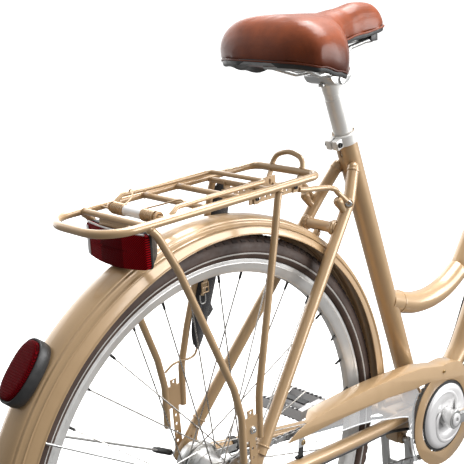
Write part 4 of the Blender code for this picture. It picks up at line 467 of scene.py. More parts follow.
class NodeBench(NodeWiring):
    """Wires shader nodes for one material."""

    def __init__(self, name: str) -> None:
        """Starts a material with its shader and Object coordinates."""
        self.material = bpy.data.materials.new(name)
        self.material.use_nodes = True
        super().__init__(self.material.node_tree)
        self.shader = self.tree.nodes["Principled BSDF"]
        self.place = self.tree.nodes.new("ShaderNodeTexCoord").outputs["Object"]
        self.height = None

    def put(self, **values: object) -> None:
        """Sets plain numbers and colours on the shader's own sockets."""
        for key, value in values.items():
            socket = self.shader.inputs[key.replace("_", " ")]
            socket.default_value = (*value, 1.0) if isinstance(value, tuple) and len(value) == 3 else value

    def noise(self, scale: float, detail: float = 3.0, stretch: Sequence[float] = (1, 1, 1)) -> bpy.types.NodeSocket:
        """A cloud of noise, from 0 to 1, with its own stretch."""
        spread = self.node("ShaderNodeMapping", {"Vector": self.place, "Scale": Vector(stretch)})
        inputs = {"Vector": spread.outputs[0], "Scale": scale, "Detail": detail}
        return self.node("ShaderNodeTexNoise", inputs).outputs[0]

    def cells(self, scale: float, feature: str = "F1") -> bpy.types.NodeSocket:
        """A pattern of cells, as the distance within each."""
        return self.node("ShaderNodeTexVoronoi", {"Vector": self.place, "Scale": scale}, feature=feature).outputs[0]

    def math(self, word: str, first: object, second: object = 0.0) -> bpy.types.NodeSocket:
        """One step of arithmetic."""
        return self.node("ShaderNodeMath", {0: first, 1: second}, operation=word).outputs[0]

    def ramp(self, value: bpy.types.NodeSocket, low: float, high: float, to_low: float = 0.0,
             to_high: float = 1.0) -> bpy.types.NodeSocket:
        """Maps a range of a value to another range, cut off at its ends."""
        return self.node("ShaderNodeMapRange", {0: value, 1: low, 2: high, 3: to_low, 4: to_high}).outputs[0]

    def blend(self, factor: object, first: object, second: object) -> bpy.types.NodeSocket:
        """A colour between two colours."""
        mix = self.node("ShaderNodeMix", {"Factor": factor}, data_type="RGBA")
        for slot, colour in ((6, first), (7, second)):
            if isinstance(colour, bpy.types.NodeSocket):
                self.tree.links.new(colour, mix.inputs[slot])
            else:
                mix.inputs[slot].default_value = (*colour, 1.0)
        return mix.outputs[2]

    def link(self, value: bpy.types.NodeSocket, socket: str) -> None:
        """Joins a value to the shader."""
        self.tree.links.new(value, self.shader.inputs[socket])

    def bump(self, height: bpy.types.NodeSocket, depth: float, strength: float = 1.0) -> None:
        """Adds relief of a depth in metres over what relief there is."""
        made = self.node("ShaderNodeBump", {"Height": height, "Strength": strength, "Distance": depth})
        if self.height is not None:
            self.tree.links.new(self.height, made.inputs["Normal"])
        self.height = made.outputs[0]
        self.link(self.height, "Normal")


@dataclass(frozen=True)
class GlossPaint:
    """Stove enamel with a fine metal flake under a clear coat."""

    colour: tuple[float, float, float] = (0.470, 0.312, 0.165)
    deep: tuple[float, float, float] = (0.430, 0.280, 0.143)
    roughness: float = 0.32
    flake: float = 2600.0

    def make(self, name: str) -> bpy.types.Material:
        """The paint as a material."""
        bench = NodeBench(name)
        bench.put(Metallic=0.22, Coat_Weight=0.8, Coat_Roughness=0.13, Specular_IOR_Level=0.5)
        bench.link(bench.blend(bench.noise(5.0, 1.0), self.colour, self.deep), "Base Color")
        bench.link(bench.ramp(bench.noise(60.0), 0.3, 0.7, self.roughness - 0.04, self.roughness + 0.07), "Roughness")
        bench.bump(bench.noise(self.flake, 1.0), 0.000002, 0.02)
        bench.bump(bench.noise(26.0, 2.0), 0.00003, 0.03)
        return bench.material


@dataclass(frozen=True)
class WornMetal:
    """Bare metal: polished, brushed, zinc-plated or dark, with handling marks."""

    colour: tuple[float, float, float] = (0.80, 0.80, 0.79)
    roughness: float = 0.20
    marks: float = 0.10
    grain: tuple[float, float, float] = (1.0, 1.0, 1.0)
    metallic: float = 1.0
    depth: float = 0.00004

    def make(self, name: str) -> bpy.types.Material:
        """The metal as a material."""
        bench = NodeBench(name)
        bench.put(Metallic=self.metallic)
        dull = tuple(part * 0.82 for part in self.colour)
        bench.link(bench.blend(bench.noise(38.0, 4.0), self.colour, dull), "Base Color")
        scratch = bench.noise(420.0, 5.0, self.grain)
        bench.link(bench.ramp(scratch, 0.25, 0.75, self.roughness, self.roughness + self.marks), "Roughness")
        bench.bump(scratch, self.depth, 0.5)
        return bench.material


@dataclass(frozen=True)
class SpunMetal:
    """Rim metal with machined rings round a wheel's axle."""

    centre: tuple[float, float, float]
    colour: tuple[float, float, float] = (0.80, 0.79, 0.77)

    def make(self, name: str) -> bpy.types.Material:
        """The metal as a material."""
        bench = NodeBench(name)
        bench.put(Metallic=0.62)
        shift = bench.node("ShaderNodeVectorMath", {0: bench.place, 1: (-Vector(self.centre))[:]}, operation="ADD")
        flat = bench.node("ShaderNodeVectorMath", {0: shift.outputs[0], 1: (1.0, 0.0, 1.0)}, operation="MULTIPLY")
        reach = bench.node("ShaderNodeVectorMath", {0: flat.outputs[0]}, operation="LENGTH").outputs["Value"]
        rings = bench.math("SINE", bench.math("MULTIPLY", reach, 9000.0))
        rough = bench.ramp(bench.noise(90.0), 0.3, 0.7, 0.30, 0.46)
        bench.link(rough, "Roughness")
        bench.link(bench.blend(bench.noise(26.0), self.colour, tuple(part * 0.88 for part in self.colour)),
                   "Base Color")
        bench.bump(rings, 0.00003, 0.35)
        return bench.material


@dataclass(frozen=True)
class MouldedRubber:
    """Moulded rubber or plastic with a fine skin and a dusty bloom."""

    colour: tuple[float, float, float] = (0.042, 0.022, 0.015)
    bloom: tuple[float, float, float] = (0.085, 0.050, 0.036)
    roughness: float = 0.62
    grain: float = 900.0
    depth: float = 0.00012

    def make(self, name: str) -> bpy.types.Material:
        """The rubber as a material."""
        bench = NodeBench(name)
        bench.link(bench.blend(bench.ramp(bench.noise(24.0, 5.0), 0.35, 0.75), self.colour, self.bloom), "Base Color")
        bench.link(bench.ramp(bench.noise(150.0), 0.3, 0.7, self.roughness - 0.06, self.roughness + 0.10),
                   "Roughness")
        bench.bump(bench.noise(self.grain, 2.0), self.depth, 0.5)
        return bench.material


@dataclass(frozen=True)
class Leather:
    """Smooth brown leather: fine grain, rubbed lights, and painted shade that darkens it towards its lower edge."""

    colour: tuple[float, float, float] = (0.275, 0.056, 0.011)
    # dark: the tone of the painted shade low on the saddle cover, and of the darker mottling.
    dark: tuple[float, float, float] = (0.070, 0.013, 0.004)
    # low and high: the heights over which the painted shade fades into the leather's own colour.
    low: float = 0.93
    high: float = 0.975

    def make(self, name: str) -> bpy.types.Material:
        """The leather as a material."""
        bench = NodeBench(name)
        bench.put(Specular_IOR_Level=0.16, Coat_Weight=0.32, Coat_Roughness=0.23)
        # Painted shade: below the height high the colour darkens towards dark, and it is fully dark at low.
        shade_height = bench.node("ShaderNodeSeparateXYZ", {0: bench.place}).outputs["Z"]
        level = bench.ramp(bench.math("ADD", shade_height, bench.math("MULTIPLY", bench.noise(16.0, 4.0), 0.030)),
                           self.low, self.high)
        mottled = bench.ramp(bench.noise(42.0, 6.0), 0.30, 0.72, 0.55, 1.0)
        bench.link(bench.blend(bench.math("MULTIPLY", level, mottled), self.dark, self.colour), "Base Color")
        bench.link(bench.ramp(bench.noise(110.0, 4.0), 0.3, 0.7, 0.34, 0.46), "Roughness")
        bench.bump(bench.cells(760.0, "SMOOTH_F1"), 0.00022, 0.38)
        bench.bump(bench.noise(1500.0, 3.0), 0.00010, 0.25)
        return bench.material


@dataclass(frozen=True)
class PrismLens:
    """Moulded lens with rows of small prisms behind a clear face, their glints painted as a lighter grid, and a faint
    glow that is painted light on the rear reflector.
    """

    colour: tuple[float, float, float] = (0.028, 0.0005, 0.001)
    # light: the colour of the painted glints on the prisms, and of the glow.
    light: tuple[float, float, float] = (0.30, 0.002, 0.006)
    pitch: float = 0.0030
    # glow: a faint emission; the rear reflector is no lamp, so there it is painted light.
    glow: float = 0.02
    # field: half width of the middle band, where the painted glints are damped to 0.30.
    field: float = 0.0

    def make(self, name: str) -> bpy.types.Material:
        """The lens as a material."""
        bench = NodeBench(name)
        # The emission is a faint glow, painted light on the rear reflector.
        bench.put(Roughness=0.42, Specular_IOR_Level=0.02, Emission_Strength=self.glow, Emission_Color=self.light)
        parts = bench.node("ShaderNodeSeparateXYZ", {0: bench.place}).outputs
        wave = math.tau / self.pitch
        # Painted glints: a grid of the lighter colour where the prisms catch light; the bump gives their real relief.
        across = bench.math("SINE", bench.math("MULTIPLY", parts["Y"], wave))
        rise = bench.math("SINE", bench.math("MULTIPLY", parts["Z"], wave))
        glint_grid = bench.math("MULTIPLY", across, rise)
        aside = bench.math("ABSOLUTE", parts["Y"])
        lit = bench.ramp(aside, self.field - 0.0006, self.field + 0.0006, 0.30 if self.field else 1.0, 1.0)
        bench.link(bench.blend(bench.math("MULTIPLY", bench.ramp(glint_grid, -0.2, 0.9), lit), self.colour, self.light),
                   "Base Color")
        bench.bump(bench.math("MAXIMUM", across, rise), 0.0004, 0.35)
        return bench.material


@dataclass(frozen=True)
class ClearPlastic:
    """Thin clear plastic with a faint smoke and rubbed marks."""

    colour: tuple[float, float, float] = (0.86, 0.87, 0.88)
    alpha: float = 0.30

    def make(self, name: str) -> bpy.types.Material:
        """The plastic as a material."""
        bench = NodeBench(name)
        bench.put(Alpha=self.alpha, Coat_Weight=0.5, Coat_Roughness=0.05)
        bench.link(bench.blend(bench.noise(30.0), self.colour, tuple(part * 0.9 for part in self.colour)),
                   "Base Color")
        bench.link(bench.ramp(bench.noise(240.0, 5.0), 0.35, 0.8, 0.06, 0.22), "Roughness")
        bench.bump(bench.noise(45.0, 2.0), 0.0002, 0.15)
        return bench.material


@dataclass(frozen=True)
class Webbing:
    """Woven cloth or strap, with threads across and along."""

    colour: tuple[float, float, float] = (0.018, 0.018, 0.020)
    light: tuple[float, float, float] = (0.050, 0.050, 0.054)
    pitch: float = 0.0011

    def make(self, name: str) -> bpy.types.Material:
        """The cloth as a material."""
        bench = NodeBench(name)
        bench.put(Sheen_Weight=0.35, Sheen_Roughness=0.5)
        parts = bench.node("ShaderNodeSeparateXYZ", {0: bench.place}).outputs
        wave = math.tau / self.pitch
        warp = bench.math("SINE", bench.math("MULTIPLY", bench.math("ADD", parts["X"], parts["Y"]), wave))
        weft = bench.math("SINE", bench.math("MULTIPLY", parts["Z"], wave))
        weave = bench.math("MULTIPLY", warp, weft)
        tone = bench.math("MULTIPLY", bench.ramp(weave, -1.0, 1.0), bench.ramp(bench.noise(80.0), 0.3, 0.7, 0.5, 1.0))
        bench.link(bench.blend(tone, self.colour, self.light), "Base Color")
        bench.link(bench.ramp(bench.noise(300.0), 0.3, 0.7, 0.75, 0.95), "Roughness")
        bench.bump(weave, 0.0003, 0.7)
        return bench.material


class Finishes:
    """All the bicycle's finishes, made once."""

    def __init__(self) -> None:
        """Makes each material."""
        self.paint = GlossPaint().make("tan_enamel")
        self.chrome = WornMetal((0.86, 0.86, 0.85), 0.10, 0.10).make("polished_alloy")
        self.brushed = WornMetal((0.74, 0.74, 0.73), 0.28, 0.14, (1.0, 0.06, 1.0)).make("brushed_alloy")
        self.post = WornMetal((0.93, 0.92, 0.89), 0.36, 0.06, (1.0, 1.0, 0.05), metallic=0.30).make("post_alloy")
        self.satin = WornMetal((0.72, 0.71, 0.71), 0.40, 0.10, metallic=0.30, depth=0.00001).make("satin_alloy")
        self.steel = WornMetal((0.56, 0.56, 0.55), 0.26, 0.18).make("plain_steel")
        self.spoke = WornMetal((0.50, 0.48, 0.45), 0.22, 0.12).make("spoke_steel")
        self.links = WornMetal((0.60, 0.60, 0.60), 0.24, 0.20, depth=0.00008).make("oiled_chain")
        self.brass = WornMetal((0.62, 0.45, 0.22), 0.22, 0.10).make("brass_plate")
        self.dark = WornMetal((0.030, 0.029, 0.028), 0.38, 0.16, metallic=0.4).make("black_oxide")
        self.rear_rim = SpunMetal(REAR_AXLE[:]).make("rear_rim_alloy")
        self.front_rim = SpunMetal((REAR_AXLE + X_AXIS * WHEELBASE)[:]).make("front_rim_alloy")
        self.tyre = MouldedRubber().make("brown_rubber")
        self.tread = MouldedRubber((0.030, 0.019, 0.016), (0.062, 0.044, 0.037), 0.72).make("dark_tread")
        self.piping = MouldedRubber((0.52, 0.50, 0.47), (0.62, 0.60, 0.57), 0.35).make("pale_sidewall_line")
        self.plastic = MouldedRubber((0.014, 0.014, 0.014), (0.026, 0.026, 0.026), 0.38, 1400.0,
                                     0.00005).make("black_plastic")
        self.cable = MouldedRubber((0.012, 0.012, 0.012), (0.022, 0.022, 0.022), 0.42, 700.0,
                                   0.00004).make("cable_cover")
        self.leather = Leather().make("saddle_leather")
        self.grip = Leather((0.30, 0.085, 0.034), (0.14, 0.036, 0.016), 0.0, 0.4).make("grip_leather")
        # Both red lenses carry painted glints on their prisms; the reflector's faint glow is painted light, as it is no
        # lamp.
        self.red = PrismLens(light=(0.42, 0.004, 0.010), field=0.022).make("red_tail_lens")
        self.red_oval = PrismLens((0.030, 0.0005, 0.001), (0.20, 0.002, 0.006), 0.0024, 0.010).make("red_reflector")
        self.window = ClearPlastic().make("clear_window")
        self.glass = ClearPlastic((0.93, 0.94, 0.95), 0.45).make("lamp_glass")
        self.sleeve = ClearPlastic((0.94, 0.95, 0.96), 0.80).make("clear_sleeve")
        self.cloth = Webbing().make("black_cloth")
        self.strap = Webbing((0.36, 0.24, 0.12), (0.50, 0.36, 0.20), 0.0009).make("tan_strap")
        self.thread = Webbing((0.20, 0.07, 0.03), (0.34, 0.13, 0.06), 0.0006).make("waxed_thread")


@dataclass
class Studio:
    """Floor, soft lights and the camera at the photograph's place."""

    camera_place: tuple[float, float, float] = (-1.40143, -0.97095, 1.08560)
    yaw: float = 46.594
    pitch: float = 16.117
    roll: float = -3.349
    lens: float = 77.37
    sensor: float = 36.0
    floor_radius: float = 60.0
    middle: tuple[float, float, float] = (-0.30, 0.0, 0.55)
    lamps: tuple[tuple, ...] = (("left_wall", (0.1, 2.9, 1.25), (4.2, 2.7), 70.0),
                                ("top_box", (0.55, 0.0, 2.55), (1.9, 1.4), 92.0),
                                ("right_box", (1.5, -2.6, 1.1), (2.2, 1.8), 82.0),
                                ("front_strip", (1.9, -1.5, 1.1), (0.30, 1.6), 12.0))
    sky_way: tuple[float, float, float] = (0.50, 0.18, 0.85)
    sky_range: tuple[float, float, float, float] = (-0.30, 0.95, 0.26, 1.00)

    def build(self) -> None:
        """Sets up the whole studio."""
        self.floor()
        self.sky()
        for name, place, size, power in self.lamps:
            self.lamp(name, Vector(place), size, power)
        self.camera()
        bpy.context.scene.view_settings.view_transform = "Standard"

    def floor(self) -> None:
        """A plain pale floor."""
        bm = bmesh.new()
        bmesh.ops.create_circle(bm, cap_ends=True, segments=64, radius=self.floor_radius)
        item = loose(bm, "studio_floor")
        bench = NodeBench("pale_floor")
        bench.put(Roughness=0.75, Specular_IOR_Level=0.2)
        bench.put(Emission_Color=(1.0, 1.0, 1.0), Emission_Strength=0.50)
        bench.link(bench.blend(bench.noise(0.8), (0.93, 0.93, 0.93), (0.95, 0.95, 0.95)), "Base Color")
        item.data.materials.append(bench.material)
        item.visible_diffuse = item.visible_glossy = False

    def sky(self) -> None:
        """A soft white dome, dimmer low down and behind the camera."""
        world = bpy.data.worlds.new("soft_dome")
        world.use_nodes = True
        bpy.context.scene.world = world
        dome = NodeWiring(world.node_tree)
        way = dome.node("ShaderNodeTexCoord").outputs["Generated"]
        lean = dome.node("ShaderNodeVectorMath", {0: way, 1: self.sky_way}, operation="DOT_PRODUCT").outputs["Value"]
        level = dome.node("ShaderNodeMapRange", {0: lean, **dict(enumerate(self.sky_range, 1))}).outputs[0]
        ground = dome.tree.nodes["Background"]
        ground.inputs["Color"].default_value = (1.0, 1.0, 1.0, 1.0)
        dome.tree.links.new(level, ground.inputs["Strength"])

    def lamp(self, name: str, place: Vector, size: tuple[float, float], power: float) -> None:
        """One large soft light that looks at the bicycle."""
        data = bpy.data.lights.new(name, "AREA")
        data.shape, data.size, data.size_y, data.energy = "RECTANGLE", *size, power
        item = bpy.data.objects.new(name, data)
        item.location = place
        item.rotation_euler = (place - Vector(self.middle)).to_track_quat("Z", "Y").to_euler()
        bpy.context.scene.collection.objects.link(item)

    def camera(self) -> None:
        """The camera, from its place, its three turns and its lens."""
        yaw, pitch, roll = (math.radians(value) for value in (self.yaw, self.pitch, self.roll))
        ahead = Vector((math.cos(yaw) * math.cos(pitch), math.sin(yaw) * math.cos(pitch), -math.sin(pitch)))
        right = ahead.cross(Z_AXIS).normalized()
        over = right.cross(ahead)
        across = right * math.cos(roll) + over * math.sin(roll)
        upward = over * math.cos(roll) - right * math.sin(roll)
        turn = Matrix((across, upward, -ahead)).transposed()
        data = bpy.data.cameras.new("camera")
        data.lens, data.sensor_width, data.sensor_fit = self.lens, self.sensor, "HORIZONTAL"
        data.clip_start, data.clip_end = 0.02, 200.0
        item = bpy.data.objects.new("camera", data)
        item.matrix_world = Matrix.Translation(self.camera_place) @ turn.to_4x4()
        bpy.context.scene.collection.objects.link(item)
        bpy.context.scene.camera = item


class NodeFactory(NodeWiring):
    """Builds one Geometry Nodes tree that repeats a small part, and turns it into a plain mesh."""

    def __init__(self, name: str) -> None:
        """Starts an empty tree with its geometry sockets."""
        super().__init__(bpy.data.node_groups.new(name, "GeometryNodeTree"))
        self.tree.interface.new_socket("Geometry", in_out="INPUT", socket_type="NodeSocketGeometry")
        self.tree.interface.new_socket("Geometry", in_out="OUTPUT", socket_type="NodeSocketGeometry")
        self.values: dict[str, object] = {}
        self.entry = self.tree.nodes.new("NodeGroupInput")
        self.exit = self.tree.nodes.new("NodeGroupOutput")

    def number(self, name: str, value: object, kind: str = "Float") -> bpy.types.NodeSocket:
        """Adds a named input and keeps its value.

        Args:
            name: The input's name.
            value: What the modifier gives it.
            kind: Float, Int, Vector or Object.

        Returns:
            The socket inside the tree.
        """
        socket = self.tree.interface.new_socket(name, in_out="INPUT", socket_type="NodeSocket" + kind)
        self.values[socket.identifier] = value
        return next(item for item in self.entry.outputs if item.identifier == socket.identifier)

    def run(self, name: str, result: bpy.types.NodeSocket, material: bpy.types.Material) -> bmesh.types.BMesh:
        """Ends the tree in Realize Instances and Set Material and reads its plain mesh.

        Args:
            name: The scratch object's name.
            result: The geometry to finish.
            material: The finish.

        Returns:
            The mesh of everything that the tree made.
        """
        solid = self.node("GeometryNodeRealizeInstances", {0: result})
        done = self.node("GeometryNodeSetMaterial", {0: solid.outputs[0], 2: material})
        self.tree.links.new(done.outputs[0], self.exit.inputs[0])
        item = bpy.data.objects.new(name, bpy.data.meshes.new(name))
        bpy.context.scene.collection.objects.link(item)
        step = item.modifiers.new("nodes", "NODES")
        step.node_group = self.tree
        for key, value in self.values.items():
            step[key] = value
        plain = evaluated_mesh(item)
        bpy.data.objects.remove(item, do_unlink=True)
        bm = bmesh.new()
        bm.from_mesh(plain)
        return bm


def repeat_along(name: str, part: bmesh.types.BMesh, places: Sequence[Vector], ways: Sequence[Vector],
                 ups: Sequence[Vector], material: bpy.types.Material, every: int = 1,
                 start: int = 0) -> bmesh.types.BMesh:
    """Sets copies of a small part on points that carry their own directions, with Geometry Nodes.

    Args:
        name: The tree's name.
        part: The part, X along its way and Z up.
        places: Where the copies stand, from the rear axle.
        ways: The way of each copy's X.
        ups: The way of each copy's Z.
        material: The finish.
        every: Only each so manyth point gets a copy.
        start: The first point that gets one.

    Returns:
        All the copies in one mesh.
    """
    shape = loose(part, name + "_shape")
    guide = bpy.data.meshes.new(name + "_guide")
    guide.from_pydata([tuple(place) for place in places], [], [])
    for word, rows in (("way", ways), ("up", ups)):
        store = guide.attributes.new(word, "FLOAT_VECTOR", "POINT")
        store.data.foreach_set("vector", [part for row in rows for part in row])
    carrier = bpy.data.objects.new(name + "_guide", guide)
    bpy.context.scene.collection.objects.link(carrier)
    factory = NodeFactory(name)
    line = factory.node("GeometryNodeObjectInfo", {0: factory.number("guide", carrier, "Object")})
    piece = factory.node("GeometryNodeObjectInfo", {0: factory.number("shape", shape, "Object")})
    step = factory.number("every", every, "Int")
    first = factory.number("start", start, "Int")
    index = factory.node("GeometryNodeInputIndex").outputs[0]
    shifted = factory.node("ShaderNodeMath", {0: index, 1: first}, operation="SUBTRACT").outputs[0]
    rest = factory.node("ShaderNodeMath", {0: shifted, 1: step}, operation="FLOORED_MODULO").outputs[0]
    chosen = factory.node("FunctionNodeCompare", {0: rest, 1: 0.5}, data_type="FLOAT",
                          operation="LESS_THAN").outputs[0]
    way = factory.node("GeometryNodeInputNamedAttribute", {0: "way"}, data_type="FLOAT_VECTOR").outputs[0]
    up = factory.node("GeometryNodeInputNamedAttribute", {0: "up"}, data_type="FLOAT_VECTOR").outputs[0]
    turn = factory.node("FunctionNodeAxesToRotation", {0: up, 1: way}, primary_axis="Z",
                        secondary_axis="X").outputs[0]
    points = factory.node("GeometryNodeMeshToPoints", {0: line.outputs["Geometry"]}).outputs[0]
    copies = factory.node("GeometryNodeInstanceOnPoints",
                          {0: points, 1: chosen, 2: piece.outputs["Geometry"], 5: turn})
    result = factory.run(name, copies.outputs[0], material)
    for item in (shape, carrier):
        bpy.data.objects.remove(item, do_unlink=True)
    return result


def ring_guide(centre: Vector, radius: float, offset: float, count: int,
               phase: float = 0.0) -> tuple[list[Vector], list[Vector], list[Vector]]:
    """Points round a wheel, with the way along it and the way out.

    Args:
        centre: The wheel's centre.
        radius: The ring's radius.
        offset: Its distance along Y.
        count: How many points.
        phase: The first one's angle.

    Returns:
        Places, ways and ups.
    """
    places, ways, ups = [], [], []
    for angle in angles(count):
        out = heading(angle + phase)
        places.append(centre + out * radius + Y_AXIS * offset)
        ways.append(Vector((-out.z, 0, out.x)))
        ups.append(out)
    return places, ways, ups


@dataclass
class Wheel:
    """One wheel: tyre with tread and sidewall lines, machined rim, laced spokes with nipples, hub and valve."""

    finish: Finishes
    word: str = "rear"
    centre: Vector = field(default_factory=ORIGIN.copy)
    radius: float = WHEEL_RADIUS
    tyre_width: float = 0.040
    rim_radius: float = 0.317
    rim_width: float = 0.025
    rim_wall: float = 0.0018
    rim_depth: float = 0.021
    bed_half: float = 0.0070
    bead_depth: float = 0.004
    spokes: int = 36
    spoke_radius: float = 0.00105
    spoke_sweep: float = math.radians(64)
    flange_holes: float = 0.029
    flange_offset: float = 0.029
    flange_thickness: float = 0.003
    hub_shell: float = 0.021
    hub_half: float = HUB_HALF
    knob_height: float = 0.0011
    knobs: int = 132
    rib_height: float = 0.0005
    ribs: Table = ((0.50, 0.53), (0.70, 0.725), (0.86, 0.90))
    line_shares: tuple[float, ...] = (0.775, 0.785, 0.80, 0.815, 0.825)
    valve_angle: float = math.radians(205)

    def build(self) -> None:
        """Makes every piece of the wheel."""
        self.tyre()
        self.tread()
        self.rim()
        self.laced()
        self.hub()

    @property
    def body(self) -> str:
        """The CAD body that the wheel rides on."""
        return self.word + "_wheel"

    def carcass(self, share: float) -> tuple[float, float]:
        """A point (radius, across) of the carcass, from one bead (-1) over the crown (0) to the other (1)."""
        half = self.tyre_width / 2
        middle = self.radius - half
        reach = math.acos((self.rim_radius + TOUCH - middle) / half)
        swell = half - self.knob_height * (0.4 + 0.6 * math.cos(share * math.pi / 2))
        return middle + swell * math.cos(reach * share), swell * math.sin(reach * share)

    def tyre(self) -> None:
        """The carcass, with moulded ribs on its sidewalls and its beads in the rim."""
        bead = self.rim_width / 2 - self.rim_wall - TOUCH
        foot, seat = self.rim_radius - self.bead_depth, self.rim_radius + TOUCH
        profile = [(foot, -bead), (seat, -bead)]
        steps = 56
        for index in range(steps + 1):
            share = -1 + 2 * index / steps
            radius, across = self.carcass(share)
            rib = self.rib_height if any(low < abs(share) < high for low, high in self.ribs) else 0.0
            lean = share * math.pi / 2
            profile.append((radius + rib * math.cos(lean), across + rib * math.sin(lean)))
        profile += [(seat, bead), (foot, bead)]
        set_piece(self.word + "_tyre_carcass", turned(profile, self.centre, steps=144), self.finish.tyre, self.body,
                  self.word + "_tyre", smooth=50)
        for side in Side:
            line, ends = [], (self.line_shares[0], self.line_shares[-1])
            for share in self.line_shares:
                radius, across = self.carcass(share * side.value)
                lean = share * math.pi / 2
                rise = 0.0002 if share in ends else 0.0006
                line.append((radius + rise * math.cos(lean), across + side.value * rise * math.sin(lean)))
            base = [self.carcass(share * side.value) for share in reversed(ends)]
            line += [(radius - 0.0004, across - side.value * 0.0004) for radius, across in base]
            set_piece(self.word + "_tyre_line_" + side.word, turned(line, self.centre, steps=144), self.finish.piping,
                      self.body)

    def tread(self) -> None:
        """Rows of knobs over the crown, set by Geometry Nodes."""
        shells = []
        pitch = math.tau * self.radius / self.knobs
        rows = ((0.0, 0.62, 0.0052, 0.0), (0.19, 0.60, 0.0046, 0.5), (-0.19, 0.60, 0.0046, 0.5),
                (0.385, 0.66, 0.0050, 0.0), (-0.385, 0.66, 0.0050, 0.0))
        for row, (share, length, width, shift) in enumerate(rows):
            radius, across = self.carcass(share)
            lean = math.asin(max(-1.0, min(1.0, across / (self.tyre_width / 2))))
            knob = bmesh.new()
            bmesh.ops.create_cube(knob, size=1.0)
            for vert in knob.verts:
                top = 0.78 if vert.co.z > 0 else 1.0
                vert.co = Vector((vert.co.x * pitch * length * top, vert.co.y * width * top,
                                  vert.co.z * self.knob_height * 1.6))
                vert.co.x += vert.co.y * (0.35 if row % 2 else -0.35)
            places, ways, ups = ring_guide(self.centre, radius, across, self.knobs, shift * math.tau / self.knobs)
            ups = [(out * math.cos(lean) + Y_AXIS * math.sin(lean)).normalized() for out in ups]
            places = [place + out * (self.knob_height * 0.1) for place, out in zip(places, ups)]
            shells.append(repeat_along(f"{self.word}_tread_{row}", knob, places, ways, ups, self.finish.tread))
        set_piece(self.word + "_tyre_tread", gather(shells), self.finish.tread, self.body, smooth=25)

    def rim(self) -> None:
        """The box rim with hooked flanges, machined brake tracks and its valve."""
        wide = self.rim_width / 2
        inside = wide - self.rim_wall
        floor = self.rim_radius - self.bead_depth - TOUCH
        bed = self.rim_radius - self.rim_depth
        half = [(floor, inside), (self.rim_radius - 0.0006, inside), (self.rim_radius, inside + 0.0005),
                (self.rim_radius, wide - 0.0004), (self.rim_radius - 0.0008, wide),
                (self.rim_radius - 0.0052, wide - 0.0002), (self.rim_radius - 0.0058, wide - 0.0009),
                (self.rim_radius - 0.0064, wide - 0.0007), (bed + 0.0070, self.bed_half + 0.0022),
                (bed + 0.0030, self.bed_half + 0.0010), (bed + 0.0006, self.bed_half - 0.0010),
                (bed, self.bed_half * 0.5)]
        profile = [(r, y) for r, y in half] + [(r, -y) for r, y in reversed(half)]
        metal = self.finish.rear_rim if self.word == "rear" else self.finish.front_rim
        set_piece(self.word + "_rim_hoop", turned(profile, self.centre, steps=180), metal, self.body,
                  self.word + "_rim", smooth=28)
        out = heading(self.valve_angle)
        foot = self.centre + out * (bed + 0.001)
        stem = turned([(0.0032, 0.0), (0.0032, 0.006), (0.0024, 0.007), (0.0024, 0.024), (0.0036, 0.025),
                       (0.0036, 0.031), (0.0028, 0.033)], foot, -out, 14, ring=False)
        set_piece(self.word + "_valve", stem, self.finish.plastic, self.body)

    def spoke_ends(self, index: int) -> tuple[Vector, Vector, float]:
        """A spoke's hole in the flange, its hole in the rim and the side of its head."""
        rim_angle = math.tau * (index + 0.5) / self.spokes
        side = 1 if index % 2 else -1
        lead = 1 if (index // 2) % 2 else -1
        hub_angle = rim_angle + lead * self.spoke_sweep
        outside = self.flange_thickness / 2 + self.spoke_radius + 0.0002
        flange = self.flange_offset + lead * outside + (0.0016 if lead > 0 else 0.0)
        bed = self.rim_radius - self.rim_depth
        start = Vector((math.cos(hub_angle) * self.flange_holes, side * flange,
                        math.sin(hub_angle) * self.flange_holes))
        stop = Vector((math.cos(rim_angle) * (bed + 0.002), side * 0.0025, math.sin(rim_angle) * (bed + 0.002)))
        return self.centre + start, self.centre + stop, lead * side

    def laced(self) -> None:
        """Crossed spokes with bent heads through the flanges, and nipples in the rim, by Geometry Nodes."""
        wire = bmesh.new()
        bmesh.ops.create_cone(wire, cap_ends=True, segments=8, radius1=self.spoke_radius, radius2=self.spoke_radius,
                              depth=1.0, matrix=Matrix.Translation((0, 0, 0.5)))
        nipple = turned([(0.0011, 0.0), (0.0019, 0.0015), (0.0019, 0.0105), (0.0026, 0.0125), (0.0026, 0.0145)],
                        ORIGIN, Z_AXIS, 8, ring=False)
        head = gather([bar(ORIGIN, Z_AXIS, 0.0024, 0.0024, self.spoke_radius, 6),
                       ball(Vector((0, 0, -0.0024)), 0.0019, 8)])
        spans = [self.spoke_ends(index) for index in range(self.spokes)]
        runs = [(stop - start).normalized() for start, stop, _ in spans]
        length = sum((stop - start).length for start, stop, _ in spans) / len(spans) - 0.004
        bmesh.ops.scale(wire, vec=(1, 1, length), verts=wire.verts)
        ways = [Y_AXIS.cross(run).normalized() for run in runs]
        lines = repeat_along(self.word + "_spokes", wire, [start for start, _, _ in spans], ways,
                             runs, self.finish.spoke)
        set_piece(self.word + "_spokes", lines, self.finish.spoke, self.body)
        tips = [stop - run * 0.0140 for (_, stop, _), run in zip(spans, runs)]
        caps = repeat_along(self.word + "_nipples", nipple, tips, ways, runs, self.finish.dark)
        set_piece(self.word + "_nipples", caps, self.finish.dark, self.body)
        outs = [Y_AXIS * sign for _, _, sign in spans]
        elbows = repeat_along(self.word + "_spoke_heads", head, [start - out * 0.0022 for (start, _, _), out in
                                                               zip(spans, outs)], runs, outs, self.finish.spoke)
        set_piece(self.word + "_spoke_heads", elbows, self.finish.spoke, self.body)

